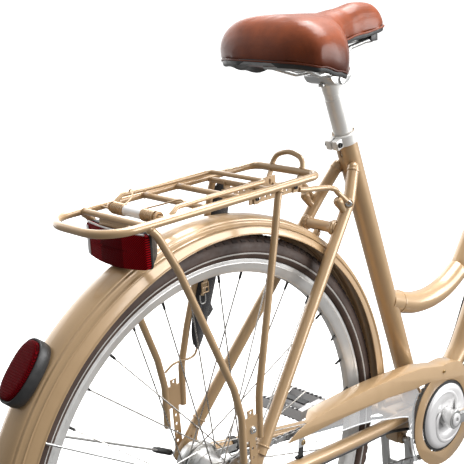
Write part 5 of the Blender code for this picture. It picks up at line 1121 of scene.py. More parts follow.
    def hub(self) -> None:
        """Hub shell with two flanges and a waist."""
        bore = AXLE_RADIUS + RUN + CONE_WALL
        flange = self.flange_holes + 0.004
        inner, outer = self.flange_offset - self.flange_thickness / 2, self.flange_offset + self.flange_thickness / 2
        half = [(self.hub_shell - 0.002, 0.0), (self.hub_shell - 0.002, 0.012), (self.hub_shell, 0.016),
                (self.hub_shell, inner - 0.006), (self.hub_shell + 0.003, inner - 0.002),
                (self.hub_shell + 0.008, inner), (flange - 0.0008, inner), (flange, inner + 0.0008),
                (flange, outer - 0.0008), (flange - 0.0008, outer), (0.0180, outer), (0.0160, outer + 0.0012),
                (0.0135, self.hub_half - 0.0008), (0.0125, self.hub_half), (bore, self.hub_half)]
        profile = [(r, -y) for r, y in reversed(half)] + half[1:]
        set_piece(self.word + "_hub_shell", turned(profile, self.centre, steps=48), self.finish.brushed, self.body,
                  self.word + "_hub", smooth=30)


class FrontWheel(Wheel):
    """The steered wheel, with the same parts on the front axle."""

    def __init__(self, finish: Finishes) -> None:
        """Places the wheel on the front axle."""
        super().__init__(finish, "front", X_AXIS * WHEELBASE)


def weld(centre: Vector, axis: Vector, radius: float, bead: float = 0.0017, ripples: int = 22) -> bmesh.types.BMesh:
    """A rippled weld bead round a tube.

    Args:
        centre: The middle of the joint.
        axis: The tube's way.
        radius: The tube's radius.
        bead: The bead's own radius.
        ripples: How many laps it has.

    Returns:
        The bead.
    """
    axis = Vector(axis).normalized()
    side = axis.orthogonal().normalized()
    other = axis.cross(side)
    rings = []
    for angle in angles(ripples * 3):
        out = side * math.cos(angle) + other * math.sin(angle)
        size = bead * (1.0 + 0.16 * math.cos(angle * ripples))
        rings.append([Vector(centre) + out * (radius + size * math.cos(turn) * 0.9) + axis * size * math.sin(turn)
                      for turn in angles(8)])
    return skin(rings, closed=True)


def hex_bolt(centre: Vector, axis: Vector, radius: float, height: float) -> bmesh.types.BMesh:
    """A bolt head with a hexagon socket, its face along the axis."""
    profile = [(radius * 0.86, 0.0), (radius, height * 0.15), (radius, height * 0.8), (radius * 0.88, height),
               (radius * 0.56, height), (radius * 0.52, height * 0.45), (0.0002, height * 0.45)]
    return turned(profile, centre, axis, 18, ring=False)


@dataclass
class BikeFrame:
    """The welded frame, its seat clamp and the headset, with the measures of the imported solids."""

    finish: Finishes
    bottom: Vector = field(default_factory=lambda: Vector((0.484, 0, -0.079)))
    front_axle: Vector = field(default_factory=lambda: X_AXIS * WHEELBASE)
    seat_angle: float = math.radians(71.3)
    head_angle: float = math.radians(70)
    seat_radius: float = 0.0174
    seat_length: float = 0.5545
    post_radius: float = 0.0150
    bore_depth: float = 0.330
    swan_radius: float = 0.019
    swan_root: float = 0.232
    head_radius: float = 0.019
    head_length: float = 0.172
    head_bore: float = 0.0155
    fork_offset: float = 0.055
    crown_rise: float = 0.400
    crown_radius: float = 0.0135
    crown_drop: float = 0.008
    fork_plate: float = 0.050
    steerer_radius: float = 0.0127
    bar_radius: float = 0.0111
    cup_height: float = 0.012
    stay_radius: float = 0.0092
    chainstay_radius: float = 0.0095
    stay_sleeve: float = 0.0107
    bridge_radius: float = 0.0085
    shell_radius: float = 0.021
    shell_half: float = 0.034
    spindle_radius: float = 0.0085
    plate_inside: float = 0.065
    plate_thickness: float = 0.006
    short_bridge: float = 0.405
    short_bridge_radius: float = 0.007
    stand_forward: float = 0.430
    stand_drop: float = 0.118
    neck: Table = ((0.0, 0.0), (0.208, 0.002), (0.368, 0.020), (0.520, 0.054), (0.688, 0.110))
    neck_room: float = 0.250
    carrier_leg: float = 0.080

    def __post_init__(self) -> None:
        """Works out the two axes and their landmarks."""
        self.seat_up = Vector((-math.cos(self.seat_angle), 0, math.sin(self.seat_angle)))
        self.seat_tilt = Matrix.Rotation(self.seat_angle - math.pi / 2, 3, "Y")
        self.steer_up = Vector((-math.cos(self.head_angle), 0, math.sin(self.head_angle)))
        down = Vector((math.sin(self.head_angle), 0, math.cos(self.head_angle)))
        self.steer_foot = self.front_axle - down * self.fork_offset
        self.head_low = self.crown_rise + 0.012 + self.cup_height + 2 * TOUCH
        self.head_high = self.head_low + self.head_length
        self.seat_top = self.on_seat(self.seat_length)
        self.plate_mid = self.plate_inside + self.plate_thickness / 2
        self.stay_foot = Vector((0.024, self.plate_mid, 0.042))
        self.lug = Vector((0.279, 0.0300, 0.348))
        self.strut_way = Vector((-0.78, 0.62, 0.10)).normalized()
        self.strut_eye = self.lug + self.strut_way * 0.0125
        self.stay_head = Vector((0.3085, 0.0155, 0.3935))
        self.chain_foot = Vector((0.030, self.plate_mid - 0.001, -0.004))
        self.chain_head = self.bottom + Vector((-0.012, 0.0230, 0.006))
        self.bridge = Vector((0.2447, 0.033, 0.3146))

    def on_seat(self, length: float) -> Vector:
        """A point on the seat tube's axis."""
        return self.bottom + self.seat_up * length

    def on_steer(self, length: float) -> Vector:
        """A point on the steering axis."""
        return self.steer_foot + self.steer_up * length

    def chainstay(self, x: float) -> Vector:
        """A point on the left chainstay's centre line."""
        return self.chain_foot.lerp(self.chain_head,
                                    (x - self.chain_foot.x) / (self.chain_head.x - self.chain_foot.x))

    def down_line(self) -> list[Vector]:
        """Centre line of the down tube."""
        return smooth_path([self.bottom + Vector((self.neck_room * share, 0, rise)) for share, rise in self.neck]
                           + [self.on_steer(self.head_low + 0.046)], 48)

    def build(self) -> None:
        """Makes the frame's pieces."""
        self.tubes()
        self.stays()
        self.plates()
        self.clamp()
        self.headset()

    def tubes(self) -> None:
        """The main tubes: seat tube with its slot, head tube, bottom bracket shell and the two swan tubes."""
        root = self.on_seat(self.swan_root)
        low = root + Vector((0.118, 0, -0.026))
        top = smooth_path([root + self.seat_up * 0.004, root + Vector((0.034, 0, -0.010)),
                           root + Vector((0.072, 0, -0.022)),
                           low, low + Vector((0.046, 0, 0.007)), low + Vector((0.088, 0, 0.026)),
                           low + Vector((0.122, 0, 0.058)), self.on_steer(self.head_high - 0.052)], 64)
        down = self.down_line()
        outer, bore, length = self.seat_radius, self.post_radius + TOUCH, self.seat_length
        seat = turned([(bore, length - self.bore_depth), (bore, length), (outer - 0.0004, length),
                       (outer, length - 0.0004),
                       (outer, 0.0), (0.002, 0.0), (0.002, length - self.bore_depth)], self.bottom, self.seat_up, 40)
        back = self.seat_top - self.seat_up * 0.012 + Vector((-outer, 0, 0))
        slot_end = back - self.seat_up * 0.023
        seat = cut(seat, block(back, (0.012, 0.003, 0.046), self.seat_tilt, 0.0002),
                   bar(slot_end, X_AXIS, 0.006, 0.006, 0.0028, 16))
        length, bore = self.head_length, self.head_bore
        head = turned([(bore, 0.0), (bore, length), (0.0205, length), (0.0205, length - 0.006),
                       (self.head_radius, length - 0.008),
                       (self.head_radius, 0.008), (0.0205, 0.006), (0.0205, 0.0)], self.on_steer(self.head_low),
                      self.steer_up, 40)
        half, bore = self.shell_half, self.spindle_radius + 0.0075
        shell = turned([(bore, -half), (bore, half), (self.shell_radius - 0.0006, half),
                        (self.shell_radius, half - 0.0006),
                        (self.shell_radius, -half + 0.0006), (self.shell_radius - 0.0006, -half)],
                       self.bottom, Y_AXIS, 40)
        void = rod(self.on_steer(self.head_low - 0.02), self.on_steer(self.head_high + 0.02), bore, 40)
        through = bar(self.bottom, Y_AXIS, 0.05, 0.05, bore, 40)
        inner = rod(self.on_seat(self.seat_length - self.bore_depth), self.seat_top, self.post_radius + TOUCH, 40)
        swans = cut(gather([tube(top, self.swan_radius, 32), tube(down[1:], self.swan_radius, 32)]),
                    void, through, inner)
        seat = cut(seat, bar(self.bottom, Y_AXIS, 0.05, 0.05, bore, 40))
        beads = [weld(top[3], top[4] - top[3], self.swan_radius, 0.0014),
                 weld(top[-4], top[-4] - top[-5], self.swan_radius),
                 weld(down[-4], down[-4] - down[-5], self.swan_radius),
                 weld(down[5], down[6] - down[5], self.swan_radius),
                 weld(self.on_seat(0.0215), self.seat_up, self.seat_radius)]
        set_piece("frame_tubes", gather([seat, head, shell, swans, *beads]), self.finish.paint, "frame", "main_frame")

    def stays(self) -> None:
        """Seat stays, chainstays, bridges, lock hooks and strut bosses, with their weld beads."""
        shells = []
        hook = smooth_path([self.lug + Vector((-0.012, 0.001, -0.014)), self.lug + Vector((-0.022, 0.003, -0.003)),
                            self.lug + Vector((-0.032, 0.003, 0.012))], 12)
        ahead = (self.chain_head - self.chain_foot).normalized()
        rise = (self.lug - self.stay_foot).normalized()
        uppers = []

        def bore() -> bmesh.types.BMesh:
            """The seat post's way through the tube."""
            return rod(self.on_seat(self.seat_length - self.bore_depth), self.seat_top + self.seat_up * 0.01,
                       self.post_radius + TOUCH, 40)

        for side in Side:
            def turn(point: Vector, side: Side = side) -> Vector:
                """Carries a point to this side."""
                return at_side(side, point)

            path = rounded([turn(self.stay_foot), turn(self.lug), turn(self.stay_head)], 0.05, 8)
            uppers += [cut(tube(path, self.stay_radius, 28), bore()),
                       cut(ball(path[-1], self.stay_radius * 0.995, 28), bore())]
            cap = path[-1].lerp(path[-2], 0.1)
            shells.append(weld(cap, path[-1] - path[-2], self.stay_radius * 0.92, 0.0022, 12))
            shells += [
                tube(smooth_path([turn(self.chain_foot), turn(self.chainstay(0.150) - Z_AXIS * 0.0020),
                                  turn(self.chainstay(0.300) - Z_AXIS * 0.0030),
                                  turn(self.chain_head)], 24), self.stay_sleeve, 28),
                tube([turn(point) for point in hook], 0.0056, 20,
                     sizes=[1.0, 1.0, 1.0, 1.0, 1.0, 1.02, 1.05, 1.12, 1.22, 1.30, 1.32, 1.22, 0.80]),
                rod(turn(self.lug), turn(self.strut_eye), 0.0055, 20),
                weld(turn(self.bridge - Vector((0, 0.0085, 0))), Y_AXIS, self.bridge_radius, 0.0030, 11),
                weld(turn(self.bridge - Vector((0, 0.0045, 0))), Y_AXIS, self.bridge_radius + 0.0012, 0.0030, 9),
                weld(turn(self.chainstay(self.short_bridge) - Vector((0, 0.008, 0))), Y_AXIS,
                     self.short_bridge_radius, 0.0016, 14),
                weld(turn(self.stay_foot + rise * 0.012), turn(rise), self.stay_radius, 0.0016),
                weld(turn(self.chain_foot + ahead * 0.012), turn(ahead), self.stay_sleeve, 0.0016),
                weld(turn(self.chain_head - ahead * 0.004), turn(ahead), self.stay_sleeve, 0.0017),
            ]
        shells += [rod(mirror(self.bridge), self.bridge, self.bridge_radius, 24),
                   rod(mirror(self.chainstay(self.short_bridge)), self.chainstay(self.short_bridge),
                       self.short_bridge_radius, 20)]
        shells += uppers
        set_piece("frame_stays", gather(shells), self.finish.paint, "frame")
        bolts = []
        for side in Side:
            way = at_side(side, self.strut_way)
            bolts.append(hex_bolt(at_side(side, self.strut_eye) + way * 0.0018, way, 0.0050, 0.0040))
        set_piece("strut_bolts", gather(bolts), self.finish.chrome, "frame")

    def plates(self) -> None:
        """Slotted wheel plates and the stand's bracket."""
        outline = [(-0.016, -0.013), (-0.018, 0.004), (-0.012, 0.016), (0.002, 0.030), (0.020, 0.052), (0.033, 0.044),
                   (0.024, 0.022), (0.028, 0.010), (0.046, 0.000), (0.043, -0.014), (0.014, -0.016)]
        slot_half = AXLE_RADIUS + TOUCH
        slot = arc((0, 0), slot_half, -math.pi / 2, math.pi / 2, 16) + [(-0.05, slot_half), (-0.05, -slot_half)]
        shells = []
        for side in Side:
            low, high = sorted((side.value * self.plate_inside,
                                side.value * (self.plate_inside + self.plate_thickness)))
            eyelet = drill(Vector((0.012, side.value * self.plate_mid, 0.030)), 0.0022, 0.02)
            shells.append(cut(prism(outline, low, high), prism(slot, low - 0.01, high + 0.01), eyelet))
        pivot = Vector((self.stand_forward, 0, -self.stand_drop))
        bottom = self.bottom
        bracket = prism([(self.short_bridge - 0.006, -0.058), (bottom.x - 0.014, -0.066), (bottom.x - 0.014, -0.096),
                         (pivot.x + 0.010, -0.123), (pivot.x - 0.010, -0.124), (pivot.x - 0.012, -0.100)],
                        -0.010, 0.010)
        lug = bar(pivot, Y_AXIS, 0.017, 0.017, 0.0095, 28)
        holes = [bar(pivot, Y_AXIS, 0.03, 0.03, 0.0055, 28) for _ in range(2)]
        clear = bar(bottom, Y_AXIS, 0.05, 0.05, self.shell_radius - 0.001, 40)
        shells += [cut(bracket, holes[0], clear), cut(lug, holes[1])]
        set_piece("frame_plates", gather(shells), self.finish.paint, "frame", bevel=0.0007, smooth=30)

    def clamp(self) -> None:
        """Split alloy collar with two ears and its bolt."""
        inner = self.seat_radius + TOUCH
        outer, half = inner + 0.0046, 0.0085
        middle = self.seat_top - self.seat_up * 0.005
        back = Vector((-math.sin(self.seat_angle), 0, -math.cos(self.seat_angle)))
        collar = turned([(inner + TOUCH, -half), (inner + TOUCH, half), (outer - 0.0012, half),
                         (outer, half - 0.0012),
                         (outer, -half + 0.0012), (outer - 0.0012, -half)], middle, self.seat_up, 48)
        gap = (middle + back * (outer + 0.004), (0.024, 0.003, 0.03), self.seat_tilt, 0.0001)
        ears = block(middle + back * (outer + 0.003), (0.014, 0.024, 2 * half - 0.002), self.seat_tilt, 0.0018)
        shells = [cut(collar, block(*gap)),
                  cut(ears, block(*gap), rod(middle - self.seat_up * 0.02, middle + self.seat_up * 0.02,
                                                           outer - 0.001, 40))]
        set_piece("clamp_collar", gather(shells), self.finish.post, "frame", "seat_clamp", smooth=30)
        bolt = middle + back * (outer + 0.0045)
        pieces = [bar(bolt, Y_AXIS, 0.0125, 0.0120, 0.0026, 20),
                  hex_bolt(bolt - Y_AXIS * 0.0118, -Y_AXIS, 0.0042, 0.0034),
                  hex_bolt(bolt + Y_AXIS * 0.0118, Y_AXIS, 0.0038, 0.0034)]
        set_piece("clamp_bolt", gather(pieces), self.finish.dark, "frame")

    def headset(self) -> None:
        """Two bearing cups with knurled rims."""
        for word, start, way in (("lower", self.head_low - TOUCH, -1), ("upper", self.head_high + TOUCH, 1)):
            bore, wide, high = self.steerer_radius + RUN, self.head_radius + 0.003, self.cup_height
            profile = [(bore, 0), (wide - 0.001, 0), (wide, 0.001), (wide, high * 0.42), (wide - 0.0012, high * 0.50),
                       (wide - 0.0012, high * 0.58), (wide - 0.0004, high * 0.66), (wide - 0.0026, high - 0.0008),
                       (wide - 0.0036, high), (bore, high)]
            set_piece("headset_cup_" + word, turned(profile, self.on_steer(start), self.steer_up * way, 48),
                      self.finish.chrome, "frame", "headset_" + word, smooth=25)


@dataclass
class Mudguards:
    """Rear and front mudguards with pressed ridges and rolled lips, their stays, and the rear reflector."""

    finish: Finishes
    shape: BikeFrame
    radius: float = 0.3798
    half: float = 0.0305
    sheet: float = 0.0016
    rear_from: float = math.radians(-4)
    rear_to: float = math.radians(180)
    front_from: float = math.radians(38)
    front_to: float = math.radians(192)
    wire: float = 0.0017
    reflector_angle: float = math.radians(138.4)
    reflector_length: float = 0.086
    reflector_width: float = 0.046
    shoulder_drop: float = 0.0090
    shallow_at: float = 62.0
    shallow_over: float = 43.0
    shallow_by: float = 0.40
    tab_radius: float = 0.006
    ridges: Table = ((0.0222, 0.0010, -0.0012), (0.0246, 0.0013, 0.0006),
                     (0.0335, 0.0010, 0.0013), (0.0357, 0.0009, -0.0005))

    def build(self) -> None:
        """Makes both mudguards and what sits on them."""
        self.shells()
        self.rear_stay()
        self.front_stays()
        self.reflector()

    def section(self) -> list[tuple[float, float]]:
        """Half of the pressed section as (across, drop from the crown), crown to rolled lip."""
        knots = [(0.0, 0, 0.0), (0.0065, 0, 0.0003), (0.0125, 0, 0.0014), (0.0175, 0, 0.0037), (0.0210, 0, 0.0075),
                 (0.0236, 0, 0.0120), (0.0256, 0, 0.0170), (0.0270, 0, 0.0220), (0.0282, 0, 0.0270),
                 (0.0292, 0, 0.0320), (0.0296, 0, 0.0338)]
        path = smooth_path(knots, 52)
        length = 0.0
        points = [(path[0].x, path[0].z)]
        for before, place, after in zip(path, path[1:], path[2:]):
            length += (place - before).length
            way = (after - before).normalized()
            relief = sum(height * math.exp(-((length - middle) / width) ** 2)
                         for middle, width, height in self.ridges)
            points.append((place.x + way.z * relief, place.z - way.x * relief))
        return points + [(path[-1].x, path[-1].z), (0.0305, 0.0345), (0.0309, 0.0356), (0.0305, 0.0366),
                         (0.0296, 0.0368)]

    def sheet_metal(self, centre: Vector, start: float, stop: float, steps: int) -> bmesh.types.BMesh:
        """One mudguard's sheet.

        Args:
            centre: The wheel's centre.
            start: The first angle.
            stop: The last angle.
            steps: Spans along it.

        Returns:
            The closed sheet.
        """
        half = self.section()
        outer = [(-y, self.radius - drop) for y, drop in reversed(half)]
        outer += [(y, self.radius - drop) for y, drop in half[1:]]
        scale = 1 - self.sheet / self.half
        body = half[:-4]
        inner = [(y * scale, self.radius - drop - self.sheet * (1 - 0.8 * y / self.half))
                 for y, drop in reversed(body)]
        inner += [(-y, r) for y, r in reversed(inner[:-1])]
        rings = []
        shoulder = self.radius - self.shoulder_drop
        for index in range(steps + 1):
            share = index / steps
            angle = start + (stop - start) * share
            out = heading(angle)
            depth = 1 - self.shallow_by * math.exp(-((math.degrees(angle) - self.shallow_at) / self.shallow_over) ** 4)
            rings.append([centre + out * (r if r > shoulder else shoulder - (shoulder - r) * depth) + Y_AXIS * y
                          for y, r in outer + inner])
        return skin(rings)

    def shells(self) -> None:
        """Both sheets and their crown tabs."""
        shape, inside = self.shape, self.radius - 0.0014
        up = Vector((shape.bridge.x, 0, shape.bridge.z))
        tab = rod(up.normalized() * inside, up.normalized() * (up.length - shape.bridge_radius - 0.0006),
                  self.tab_radius)
        rear = self.sheet_metal(ORIGIN, self.rear_from, self.rear_to, 150)
        set_piece("rear_mudguard", gather([rear, tab]), self.finish.paint, "frame", "rear_fender", smooth=55)
        axle = shape.front_axle
        lift = shape.on_steer(shape.crown_rise - shape.crown_drop - shape.crown_radius) - axle
        way = lift.normalized()
        tab = rod(axle + way * inside, axle + way * (lift.length - 0.0009), self.tab_radius)
        front = self.sheet_metal(axle, self.front_from, self.front_to, 120)
        set_piece("front_mudguard", gather([front, tab]), self.finish.paint, "steering", "front_fender", smooth=55)

    def rear_stay(self) -> None:
        """The bent wire inside the mudguard and its two black break-away clips."""
        foot = Vector((-0.036, self.shape.plate_inside + self.shape.plate_thickness + 0.0052, 0.022))
        angle, lift = math.radians(149), math.radians(2.5)

        def at(y: float, r: float, turn: float = 0.0) -> Vector:
            """A point by its place across and its distance from the axle."""
            return Vector((math.cos(angle + turn) * r, y, math.sin(angle + turn) * r))

        left = [foot, at(0.0258, 0.3405), at(0.0222, 0.3535, -lift), at(0.0145, 0.3655, -lift),
                at(0.0, 0.3695, -lift)]
        path = rounded(left + [mirror(point) for point in left[:-1]][::-1], 0.006, 8)
        set_piece("rear_stay_wire", tube(path, self.wire, 14), self.finish.steel, "frame", "rear_fender_stay")
        along = Vector((-0.86, 0, 0.5)).normalized()
        clips, screws = [], []
        for side in Side:
            body = [(0.0034, -0.020), (0.0048, -0.018), (0.0048, 0.010), (0.0036, 0.018), (0.0024, 0.0185)]
            way = at_side(side, along)
            clips.append(turned(body, at_side(side, foot), way, 8, ring=False))
            screw = at_side(side, foot - along * 0.014)
            clips.append(rod(screw, screw - side.out * 0.0048, 0.0040, 20))
            screws.append(hex_bolt(screw + side.out * 0.0036, side.out, 0.0030, 0.0022))
        set_piece("stay_clips", gather(clips), self.finish.plastic, "frame", smooth=30)
        set_piece("stay_clip_screws", gather(screws), self.finish.chrome, "frame")

    def front_stays(self) -> None:
        """Two wire stays of the front mudguard with their eyes and screws."""
        axle, angle = self.shape.front_axle, math.radians(171)
        shells = []
        for side in Side:
            foot = axle + Vector((-0.020, self.shape.fork_plate + 0.005 + TOUCH + self.wire + 0.0032, 0.007))
            near = axle + Vector((math.cos(angle) * 0.343, self.half + 0.0004, math.sin(angle) * 0.343))
            inside, outside = foot - Y_AXIS * (self.wire + 0.0032), foot + Y_AXIS * 0.003
            shells += [rod(at_side(side, foot), at_side(side, near), self.wire, 16),
                       rod(at_side(side, inside), at_side(side, outside), 0.0040, 20),
                       ball(at_side(side, near), 0.0030)]
        set_piece("front_stay_wires", gather(shells), self.finish.steel, "steering")

    def oval(self, out: Vector, levels: Sequence[tuple[float, float, float]]) -> bmesh.types.BMesh:
        """An oval pad on the crown, through levels of (height, width, length)."""
        along = Y_AXIS.cross(out).normalized()
        rings = []
        for height, width, length in levels:
            rings.append([out * height + Y_AXIS * u + along * v for u, v in squared(width / 2, length / 2, 0.8, 64)])
        return skin(rings)

    def reflector(self) -> None:
        """The rear reflector: rimmed black base and a domed red lens."""
        out = heading(self.reflector_angle)
        seat = self.radius + TOUCH
        face = seat + 0.016
        wide, long = self.reflector_width, self.reflector_length
        base = self.oval(out, [(seat, wide * 0.90, long * 0.94), (seat + 0.002, wide * 0.97, long * 0.98),
                               (seat + 0.010, wide, long), (face + 0.0012, wide * 0.99, long * 0.992),
                               (face + 0.0030, wide * 0.955, long * 0.972),
                               (face + 0.0030, wide * 0.90, long * 0.932),
                               (face + 0.0002, wide * 0.895, long * 0.928)])
        set_piece("reflector_base", base, self.finish.plastic, "frame", "fender_reflector_base", smooth=50)
        lens = self.oval(out, [(face + 0.0005, wide * 0.86, long * 0.90), (face + 0.0044, wide * 0.86, long * 0.90),
                               (face + 0.0060, wide * 0.83, long * 0.875), (face + 0.0067, wide * 0.76, long * 0.83),
                               (face + 0.0070, wide * 0.60, long * 0.70)])
        set_piece("reflector_lens", lens, self.finish.red_oval, "frame", "fender_reflector_lens", smooth=50)


@dataclass
class Carrier:
    """The tubular carrier with its hoop, legs, perforated strips, sprung flap and tail light."""

    finish: Finishes
    shape: BikeFrame
    height: float = 0.4150
    half: float = 0.065
    tube_radius: float = 0.0055
    rear: float = 0.2035
    front: float = 0.175
    cross_tube: float = 0.0042
    cross_places: tuple[float, ...] = (-0.142, -0.042, 0.018, 0.082)
    leg_radius: float = 0.0052
    strip_half: float = 0.0265
    strip_thickness: float = 0.002
    strip_low: float = 0.3885
    strip_high: float = 0.4035
    clamp_rod: float = 0.0033
    clamp_pivot: float = -0.108
    coil_turns: int = 7
    coil_radius: float = 0.0072
    coil_wire: float = 0.00115
    coil_length: float = 0.0240
    eye_place: float = 0.0460
    sleeve_half: float = 0.0175
    tail_half: float = 0.0600
    tail_back: float = 0.1500
    tail_top: float = 0.4025
    tail_height: float = 0.0490
    tail_depth: float = 0.030
    tail_bow: float = 0.0075
    tail_lift: float = 0.0040

    def build(self) -> None:
        """Makes the carrier and what it holds."""
        self.top()
        self.legs()
        self.struts()
        self.flap()
        self.springs()
        self.tail_light()

    def loop(self) -> list[Vector]:
        """Centre line of the outer loop, wide corners behind and tight ones ahead."""
        wide, tight = 0.044, 0.018
        corners = [(-self.rear + wide, self.half - wide, wide, 90), (-self.rear + wide, -self.half + wide, wide, 180),
                   (self.front - tight, -self.half + tight, tight, 270),
                   (self.front - tight, self.half - tight, tight, 0)]
        path = []
        for x, y, radius, start in corners:
            for index in range(11):
                angle = math.radians(start + 9 * index)
                path.append(Vector((x + radius * math.cos(angle), y + radius * math.sin(angle), self.height)))
        return path

    def top(self) -> None:
        """Loop, cross tubes with weld beads, hoop, eyes, strip tabs and the tail light's bracket."""
        shells = [tube(self.loop(), self.tube_radius, 24, closed=True)]
        for place in self.cross_places:
            level = self.height - (0.0 if place < 0.05 else 0.0035)
            shells.append(rod(Vector((place, -self.half, level)), Vector((place, self.half, level)),
                              self.cross_tube, 20))
            for side in Side:
                shells.append(weld(Vector((place, side.value * (self.half - self.tube_radius), level)), Y_AXIS,
                                   self.cross_tube, 0.0011, 12))
        hoop_x, foot = self.front + 0.001, self.height + self.tube_radius - 0.002
        hoop = smooth_path([(hoop_x, 0.029, foot), (hoop_x + 0.003, 0.0285, foot + 0.007),
                            (hoop_x + 0.006, 0.021, foot + 0.016),
                            (hoop_x + 0.007, 0.0, foot + 0.021), (hoop_x + 0.006, -0.021, foot + 0.016),
                            (hoop_x + 0.003, -0.0285, foot + 0.007), (hoop_x, -0.029, foot)], 36)
        shells.append(tube(hoop, 0.0039, 18))
        shells += [weld(hoop[1], hoop[2] - hoop[0], 0.0034, 0.0011, 12),
                   weld(hoop[-2], hoop[-1] - hoop[-3], 0.0034, 0.0011, 12)]
        outside = self.strip_half + self.strip_thickness / 2 + TOUCH
        bend, last = self.front - 0.020, self.cross_places[3]
        behind = self.clamp_pivot - self.clamp_rod - 0.0022
        for side in Side:
            way = side.value
            low, high = sorted((way * outside, way * (outside + 0.002)))
            shells.append(prism([(self.front - 0.006, 0.413), (self.front + 0.004, 0.413), (bend + 0.010, 0.388),
                                 (bend, 0.388)], low, high))
            shells.append(prism([(last - 0.006, 0.413), (last + 0.006, 0.413), (last + 0.005, 0.388),
                                 (last - 0.005, 0.388)],
                                low, high))
            shells.append(rod(Vector((behind, way * (self.eye_place - 0.001), self.height)),
                              Vector((behind, way * (self.half - 0.002), self.height)), 0.0017, 12))
            shells.append(washer(Vector((self.clamp_pivot + 0.0007, way * self.eye_place, self.height + 0.0005)),
                                 Y_AXIS, self.clamp_rod + 0.0012, self.clamp_rod + 0.0040, -0.0011, 0.0011, 24))
        x = self.cross_places[0]
        shells.append(slab(x - 0.0012, x + 0.0012, self.height, self.tail_top + 0.004, -0.028, 0.028))
        shells.append(block(Vector((x + 0.006, 0, self.tail_top + TOUCH + 0.0020)), (0.016, 0.056, 0.004),
                            None, 0.0006))
        set_piece("carrier_top", gather(shells), self.finish.paint, "frame", "rack_frame", smooth=38)

    def legs(self) -> None:
        """Bent legs, drilled straps and the plates between the legs, with their bolts."""
        top, out = self.height - 0.002, self.shape.carrier_leg
        rear = [(-0.140, self.half, top), (-0.1275, self.half + 0.001, 0.4000), (-0.0990, self.half + 0.003, 0.3460),
                (-0.0285, out - 0.001, 0.1640), (-0.0185, out, 0.118), (-0.0190, out, 0.052)]
        front = [(0.092, self.half, top), (0.0850, self.half + 0.001, 0.3970), (0.0745, self.half + 0.003, 0.3520),
                 (0.0310, out - 0.002, 0.1980), (0.0165, out, 0.140), (0.0140, out, 0.078)]
        shells, bolts = [], []
        for side in Side:
            for line in (rear, front):
                path = rounded([at_side(side, Vector(point)) for point in line], 0.05, 8)
                shells.append(tube(path, self.leg_radius, 20))
                shells.append(weld(path[0].lerp(path[1], 0.35), path[1] - path[0], self.leg_radius, 0.0012, 14))
            y = side.value * out
            strap = prism([(-0.0075, 0.124), (0.0035, 0.124), (0.0060, 0.030),
                           *arc((0, 0), 0.0105, 0.7, -math.pi - 0.7, 18), (-0.0060, 0.030)], y - 0.0010, y + 0.0010)
            holes = [drill(Vector((-0.0015, y, z)), 0.0023) for z in (0.066, 0.052, 0.038, 0.024, 0.109, 0.120)]
            shells.append(cut(strap, *holes, drill(Vector((0, y, 0)), AXLE_RADIUS + TOUCH, sides=24)))
            shells.append(prism([(-0.019, 0.114), (0.015, 0.114), (0.0145, 0.080), (-0.0185, 0.080)],
                                y - 0.0014, y + 0.0014))
            face = Vector((0.0, y + side.value * 0.0014, 0.094))
            bolts += [hex_bolt(face, side.out, 0.0042, 0.0036), washer(face, side.out, 0.0026, 0.0056, 0, 0.0008, 24)]
        set_piece("carrier_legs", gather(shells), self.finish.paint, "frame", smooth=38)
        set_piece("carrier_bolts", gather(bolts), self.finish.chrome, "frame")

    def struts(self) -> None:
        """Perforated strips under the carrier, their bent rods to the seat stays and the strip bolts."""
        shape, half, low, high = self.shape, self.strip_thickness / 2, self.strip_low, self.strip_high
        bolts = []
        for side in Side:
            y = side.value * self.strip_half
            strip = slab(0.070, self.front + 0.003, low, high, y - half, y + half)
            slots = []
            for x in (0.0805, 0.091, 0.102, 0.113, 0.124, 0.135, 0.146, 0.166):
                outline = arc((x, 0.3982), 0.0019, 0, math.pi, 6) + arc((x, 0.3942), 0.0019, math.pi, math.tau, 6)
                slots.append(prism(outline, y - 0.01, y + 0.01))
            eye = shape.strut_eye
            path = smooth_path([at_side(side, Vector(point)) for point in (
                (self.front - 0.004, self.strip_half, 0.3895), (0.186, self.strip_half, 0.3860),
                (0.2240, self.strip_half + 0.001, 0.3810), (0.2420, self.strip_half + 0.006, 0.3765),
                (0.2520, eye.y - 0.006, 0.3680), eye)], 36)
            pad = rod(at_side(side, eye - shape.strut_way * 0.0018), at_side(side, eye + shape.strut_way * 0.0018),
                      0.0072)
            set_piece("carrier_strut_" + side.word, gather([cut(strip, *slots), tube(path, 0.0042, 18), pad]),
                      self.finish.paint, "frame", "rack_strut_" + side.word)
            for x in (self.front - 0.014, self.cross_places[3]):
                place = Vector((x, side.value * (self.strip_half + 0.0033), 0.3955))
                bolts.append(hex_bolt(place, side.out, 0.0030, 0.0024))
        set_piece("strip_bolts", gather(bolts), self.finish.dark, "frame")

    def flap(self) -> None:
        """The bent rod of the sprung flap."""
        over = self.height + self.tube_radius + self.clamp_rod + TOUCH + 0.0008
        elbow = self.half - self.tube_radius - self.clamp_rod - TOUCH * 2
        pivot = self.clamp_pivot
        near = [(pivot, self.eye_place - 0.010, self.height), (pivot, elbow, self.height),
                (pivot + 0.011, elbow, self.height + 0.001), (-0.084, elbow, over)]
        far = [(-0.084, elbow, over), (-0.030, 0.0530, over), (0.076, 0.0545, over), (0.076, 0.0200, over)]
        left = rounded(near, 0.0026, 6)[:-1] + rounded(far, 0.009, 8)
        set_piece("flap_rod", tube(with_mirror(left), self.clamp_rod, 20, closed=True), self.finish.paint,
                  "flap", "spring_clamp")

